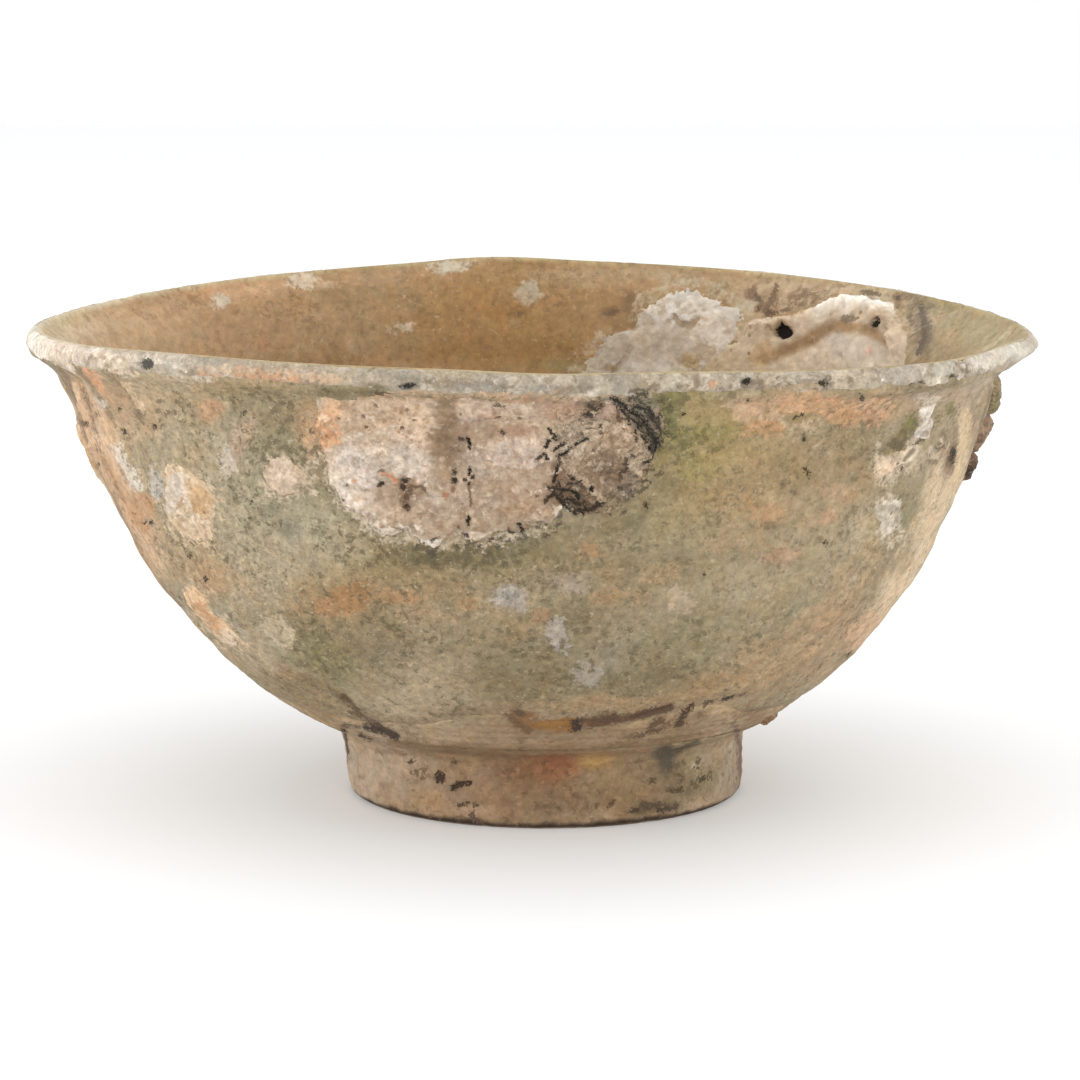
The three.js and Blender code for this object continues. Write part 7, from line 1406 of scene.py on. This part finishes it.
def build_crusts():
    crust("front_coral", "front_coral_crust", "coral_crust", M_CORAL, outer, (437, 468), None, 1.05, FRONT_CORAL_MARKS + [m for m in worn(OYSTER_MARKS, 1.0, 91) if (m[1] if m[0] == "b" else m[1][0][0]) < 590], "coral", 1, 440, 130, polygon=FRONT_CORAL, lobes=0.7, shoulder=0.86, lipped=True)
    crust("front_oyster", "front_oyster_shell", "shell", M_SHELL, outer, (604, 458), None, 0.8, worn(OYSTER_MARKS, 1.0, 91), "shell", 2, 380, 110, polygon=OYSTER, lobes=1.0, relief=oyster_relief, lipped=True, melt=1.2,
          tone=("shell", (184, 162, 136), "shellgrey"))
    crust("inside_coral", "inside_coral_crust", "lime_crust", M_CHALK, inner, (668, 340), None, 0.8, IN_CORAL_MARKS, "greywhite", 3, 380, 100, polygon=IN_CORAL, lobes=0.8, rough=0.5, shoulder=0.5, grow=1.09, melt=1.8,
          tone=((180, 164, 146), (196, 184, 170), (170, 152, 132)))
    crust("inside_worm", "inside_worm_crust", "coral_crust", M_CHALK, inner, (815, 345), None, 0.9, IN_WORM_MARKS, "sand", 4, 340, 110, polygon=IN_WORM, lobes=0.7, relief=worm_relief, rough=0.45, shoulder=0.6, grow=1.08, melt=3.2,
          tone=((190, 168, 142), (208, 190, 168), (178, 152, 122)))
    patch = lambda name, node, centre, poly, thick, base, seed, marks=(), slot="coral_crust", mat=M_CORAL, tone=None, **kw: crust(
        name, node, slot, mat, outer, centre, None, thick, marks, base, seed, kw.pop("n_ang", 150), kw.pop("n_rad", 44), polygon=poly, tone=tone, shoulder=0.45, lobes=0.9, grow=kw.pop("grow", 1.4), melt=kw.pop("melt", 2.3), **kw)
    patch("patch_left_upper", "left_upper_patch", (191, 505), [(169, 466), (181, 467), (196, 476), (208, 487), (215, 501), (214, 516), (212, 528), (214, 539), (201, 541), (189, 539), (178, 532), (171, 519), (165, 505), (167, 487)],
          0.3, "peach", 5, [("b", 176, 490, 9, 22, 10, (214, 198, 180), 0.85), ("b", 202, 500, 10, 16, -10, (200, 164, 122), 0.8), ("b", 196, 505, 4, 8, 0, (178, 138, 98), 0.7), ("b", 196, 532, 14, 9, 0, (212, 186, 154), 0.7)] + crumbs([(176, 476), (188, 500), (200, 532)], 30, (0.8, 1.7), 17, 101, (158, 120, 86), 0.6, layer=1) + crumbs([(176, 476), (188, 500), (200, 532)], 26, (1.3, 2.9), 16, 102, (234, 216, 192), 0.65, layer=1),
          tone=((214, 187, 153), (226, 203, 173), (204, 172, 136)), melt=1.7)
    patch("patch_front_left", "front_left_patch", (286, 475), [(267, 464), (281, 453), (292, 459), (301, 467), (310, 476), (306, 484), (298, 487), (303, 494), (290, 496), (274, 492), (269, 484), (264, 473)],
          0.3, "cream", 6, [("b", 283, 470, 12, 10, 0, (216, 192, 166), 0.7), ("b", 292, 496, 8, 2.6, 0, (120, 100, 80), 0.7), ("b", 300, 486, 5, 3, 0, (150, 128, 104), 0.6)], tone=((206, 182, 156), (216, 196, 174), (196, 166, 138)))
    patch("patch_left_lower", "left_lower_patch", (211, 617), [(183, 591), (194, 587), (206, 600), (217, 616), (231, 630), (244, 642), (239, 648), (228, 646), (214, 634), (199, 617), (189, 605)],
          0.27, "peachpale", 7, [("s", [(198, 602), (207, 613), (217, 625)], 3.4, (206, 154, 110), 0.7, {"edge": 0.8}), ("b", 192, 596, 8, 8, 0, (226, 192, 152), 0.7), ("b", 232, 638, 10, 6, 40, (230, 206, 178), 0.85)] + crumbs([(190, 594), (212, 618), (236, 644)], 18, (0.8, 1.6), 9, 103, (178, 136, 98), 0.55, layer=1), tone=((222, 190, 152), (228, 204, 174), (212, 176, 138)), melt=0.8)
    patch("patch_right_upper", "right_upper_patch", (926, 421), [(920, 407), (929, 404), (938, 400), (934, 413), (934, 427), (928, 440), (918, 440), (914, 434), (920, 426), (917, 417)],
          0.2, "limewhite", 8, [("b", 924, 434, 5, 4, 0, (150, 138, 122), 0.6), ("b", 921, 420, 2, 3, 0, (120, 104, 80), 0.7, {"layer": 1}), ("s", [(926, 428), (930, 420)], 1.2, (168, 150, 126), 0.7, {"layer": 1})], "lime_crust", M_CORAL, tone=((222, 210, 195), (234, 222, 206), (204, 192, 174)))
    patch("patch_right_middle", "right_middle_patch", (893, 462), [(876, 458), (886, 456), (899, 452), (908, 447), (919, 443), (921, 452), (914, 463), (903, 463), (896, 470), (887, 477), (880, 479), (877, 472)],
          0.2, "cream", 9, [("s", [(905, 459), (914, 450)], 2, (110, 96, 78), 0.7), ("b", 886, 468, 8, 6, -20, (228, 198, 164), 0.8)], tone=((214, 192, 164), (224, 206, 182), (206, 178, 146)))
    patch("patch_right_lower", "right_lower_patch", (890, 518), [(877, 505), (884, 500), (893, 497), (903, 500), (901, 510), (902, 520), (897, 530), (889, 538), (881, 540), (878, 531), (881, 522), (876, 520)],
          0.2, "greywhite", 10, [("b", 894, 509, 6, 4, 0, (150, 138, 120), 0.5), ("b", 887, 528, 9, 9, 0, (216, 203, 184), 0.7), ("b", 898, 520, 3, 5, 0, (164, 150, 128), 0.7, {"layer": 1}), ("b", 883, 508, 3, 3, 0, (170, 154, 130), 0.6, {"layer": 1})], "lime_crust", M_CORAL, tone=((204, 190, 169), (216, 204, 186), (188, 173, 150)))
    side = lambda name, node, az, z, outline, thick, base, seed, tone, slot="shell", mat=M_SHELL, **kw: crust(
        name, node, slot, mat, outer, (az, z), outline, thick, kw.pop("marks", ()), base, seed, 130, 40, tone=tone, shoulder=0.55, melt=kw.pop("melt", 0.6), **kw)
    brown = ((150, 124, 100), (176, 150, 122), (112, 90, 70))
    side("shell_right_upper", "right_shell_upper", -9, 71.6, [3.6, 3.4, 3.8, 4.4, 4.6, 4.4, 4.2, 4.0, 3.8, 4.4, 4.8, 4.0], 1.35, "shell", 12, ((140, 126, 92), (160, 142, 112), (92, 80, 52)), lobes=1.0, marks=[("b", 984, 392, 10, 8, 0, (104, 100, 62), 0.8, {"layer": 1}), ("s", [(999, 382), (1002, 396), (998, 410)], 3.0, (62, 50, 36), 0.92), ("s", [(980, 408), (988, 411), (996, 412)], 2.2, (60, 48, 36), 0.9)] + specks(988, 396, 12, 14, 14, (0.9, 1.8), 41, (66, 56, 38), 0.88))
    side("shell_right_middle", "right_shell_middle", -8, 64.8, [3.2, 3.2, 3.8, 4.4, 4.4, 4.0, 3.8, 3.8, 4.0, 4.4, 4.4, 3.6], 1.6, "shell", 13, brown, lobes=1.0, marks=[("s", [(991, 416), (993, 428), (988, 440)], 2.6, (72, 54, 42), 0.9), ("b", 980, 424, 7, 9, 10, (176, 150, 122), 0.7, {"layer": 1})] + specks(984, 428, 10, 12, 12, (0.9, 1.7), 42, (74, 56, 42), 0.88))
    side("shell_right_lower", "right_shell_lower", -8.6, 58.4, [2.6, 2.8, 3.4, 3.8, 3.6, 3.0, 2.6, 2.4, 2.6, 3.0, 3.0, 2.6], 1.35, "shell", 14, ((112, 88, 72), (140, 112, 92), (70, 54, 44)), lobes=1.0, marks=[("s", [(977, 455), (976, 466), (969, 478)], 2.8, (48, 36, 30), 0.92), ("b", 964, 478, 5, 3, 0, (40, 32, 26), 0.92)] + specks(968, 466, 9, 12, 12, (0.9, 1.8), 43, (52, 40, 32), 0.9))
    side("crust_left_edge", "left_edge_crust", -171, 60.6, [4.8, 5.2, 6.2, 7.4, 6.6, 5.6, 5.0, 5.2, 6.4, 7.6, 6.6, 5.2], 0.6, "peach", 15, ((206, 172, 136), (220, 194, 162), (186, 148, 112)), "coral_crust", M_CORAL)
    side("lump_above_foot", "foot_lump", -24.8, 15.6, [3.4, 3.0, 2.4, 1.8, 1.8, 2.4, 3.2, 3.6, 3.2, 2.6, 1.8, 1.5, 1.5, 1.8, 2.4, 3.0], 0.75, "claywarm", 16, ((150, 118, 90), (164, 134, 104), (112, 86, 62)))
    side("coral_back", "back_coral_crust", 64, 60, [9.0, 11.6, 9.4, 7.0, 8.6, 7.2, 9.6, 12.4, 11.4, 8.2, 9.4, 6.4, 7.0, 8.6, 7.8, 10.2], 1.0, "coral", 17, None, "coral_crust", M_CORAL, lobes=2.0, melt=2.4, grow=1.12)
    side("patch_back_left", "back_left_patch", 128, 52, [5.0, 6.4, 4.6, 4.2, 3.4, 5.0, 5.0, 6.6, 5.2, 4.2, 5.0, 3.4, 4.0, 5.6, 4.6, 5.2], 0.35, "greywhite", 18, ((190, 177, 156), (206, 194, 176), (172, 158, 136)), "lime_crust", M_CORAL, lobes=1.6, melt=2.4, grow=1.2)
    side("patch_back_low", "back_low_patch", 98, 34, [4.2, 5.0, 3.2, 2.8, 3.4, 2.8, 4.4, 5.2, 4.2, 4.4, 3.0, 2.6, 3.4, 2.8, 4.2, 4.6], 0.3, "cream", 19, ((200, 176, 146), (212, 190, 162), (186, 156, 124)), "coral_crust", M_CORAL, lobes=1.4, melt=2.2, grow=1.2)


build_outside()
build_body()
build_foot()
build_inside()
build_lip()
build_crusts()

# ------------------------------------------------------------------ floor, light and camera
scene = bpy.context.scene
floor_mat = Nodes("pale_floor")
floor_mat.bsdf.inputs["Base Color"].default_value = (0.80, 0.805, 0.812, 1)
# the floor glows faintly: painted light that lifts the shadow round the bowl and lights it from below
floor_mat.bsdf.inputs["Emission Color"].default_value = (0.98, 0.985, 0.99, 1)
floor_mat.bsdf.inputs["Emission Strength"].default_value = 0.125
floor_mat.bsdf.inputs["Roughness"].default_value = 0.7
floor_mat.bsdf.inputs["Specular IOR Level"].default_value = 0.1
s = 1.6
fm = make_mesh("floor", np.array([(-s, -s, 0), (s, -s, 0), (s, s, 0), (-s, s, 0)]) * 1000.0, np.array([[0, 1, 2, 3]]))
floor = bpy.data.objects.new("floor", fm)
fm.materials.append(floor_mat.mat)
scene.collection.objects.link(floor)

world = bpy.data.worlds.new("studio")
scene.world = world
world.use_nodes = True
bg = world.node_tree.nodes["Background"]
bg.inputs["Color"].default_value = (1.0, 1.0, 1.0, 1)
bg.inputs["Strength"].default_value = 1.0


def softbox(name, at, aim, size, power, colour=(1, 1, 1)):
    li = bpy.data.lights.new(name, "AREA")
    li.shape = "RECTANGLE"
    li.size, li.size_y = size
    li.energy = power
    li.color = colour
    ob = bpy.data.objects.new(name, li)
    ob.location = at
    ob.rotation_euler = (Vector(aim) - Vector(at)).to_track_quat("-Z", "Y").to_euler()
    scene.collection.objects.link(ob)


softbox("top_soft", (0.0, 0.1, 1.3), (0, 0, 0.03), (1.6, 1.4), 3.5)
softbox("left_soft", (-1.15, -0.35, 0.38), (0, 0, 0.03), (0.9, 0.7), 5.0)
softbox("right_soft", (1.15, -0.3, 0.38), (0, 0, 0.03), (0.9, 0.7), 4.5)
softbox("front_soft", (0.0, -1.7, 0.5), (0, 0, 0.03), (1.6, 0.8), 6.5)

cam = bpy.data.cameras.new("view")
cam.sensor_width = 36.0
cam.sensor_fit = "HORIZONTAL"
cam.lens = FOCAL * 36.0 / 1080.0
cam.clip_start, cam.clip_end = 0.01, 50
cob = bpy.data.objects.new("view", cam)
shift = (540.0 - CENTRE[0]) / FOCAL * np.linalg.norm(AIM - CAM) * 0.001
cob.location = (CAM[0] * 0.001 + shift, CAM[1] * 0.001, CAM[2] * 0.001)
cob.rotation_euler = Vector(FW).to_track_quat("-Z", "Y").to_euler()
scene.collection.objects.link(cob)
scene.camera = cob
scene.view_settings.view_transform = "Standard"
scene.view_settings.look = "None"

bpy.context.view_layer.update()
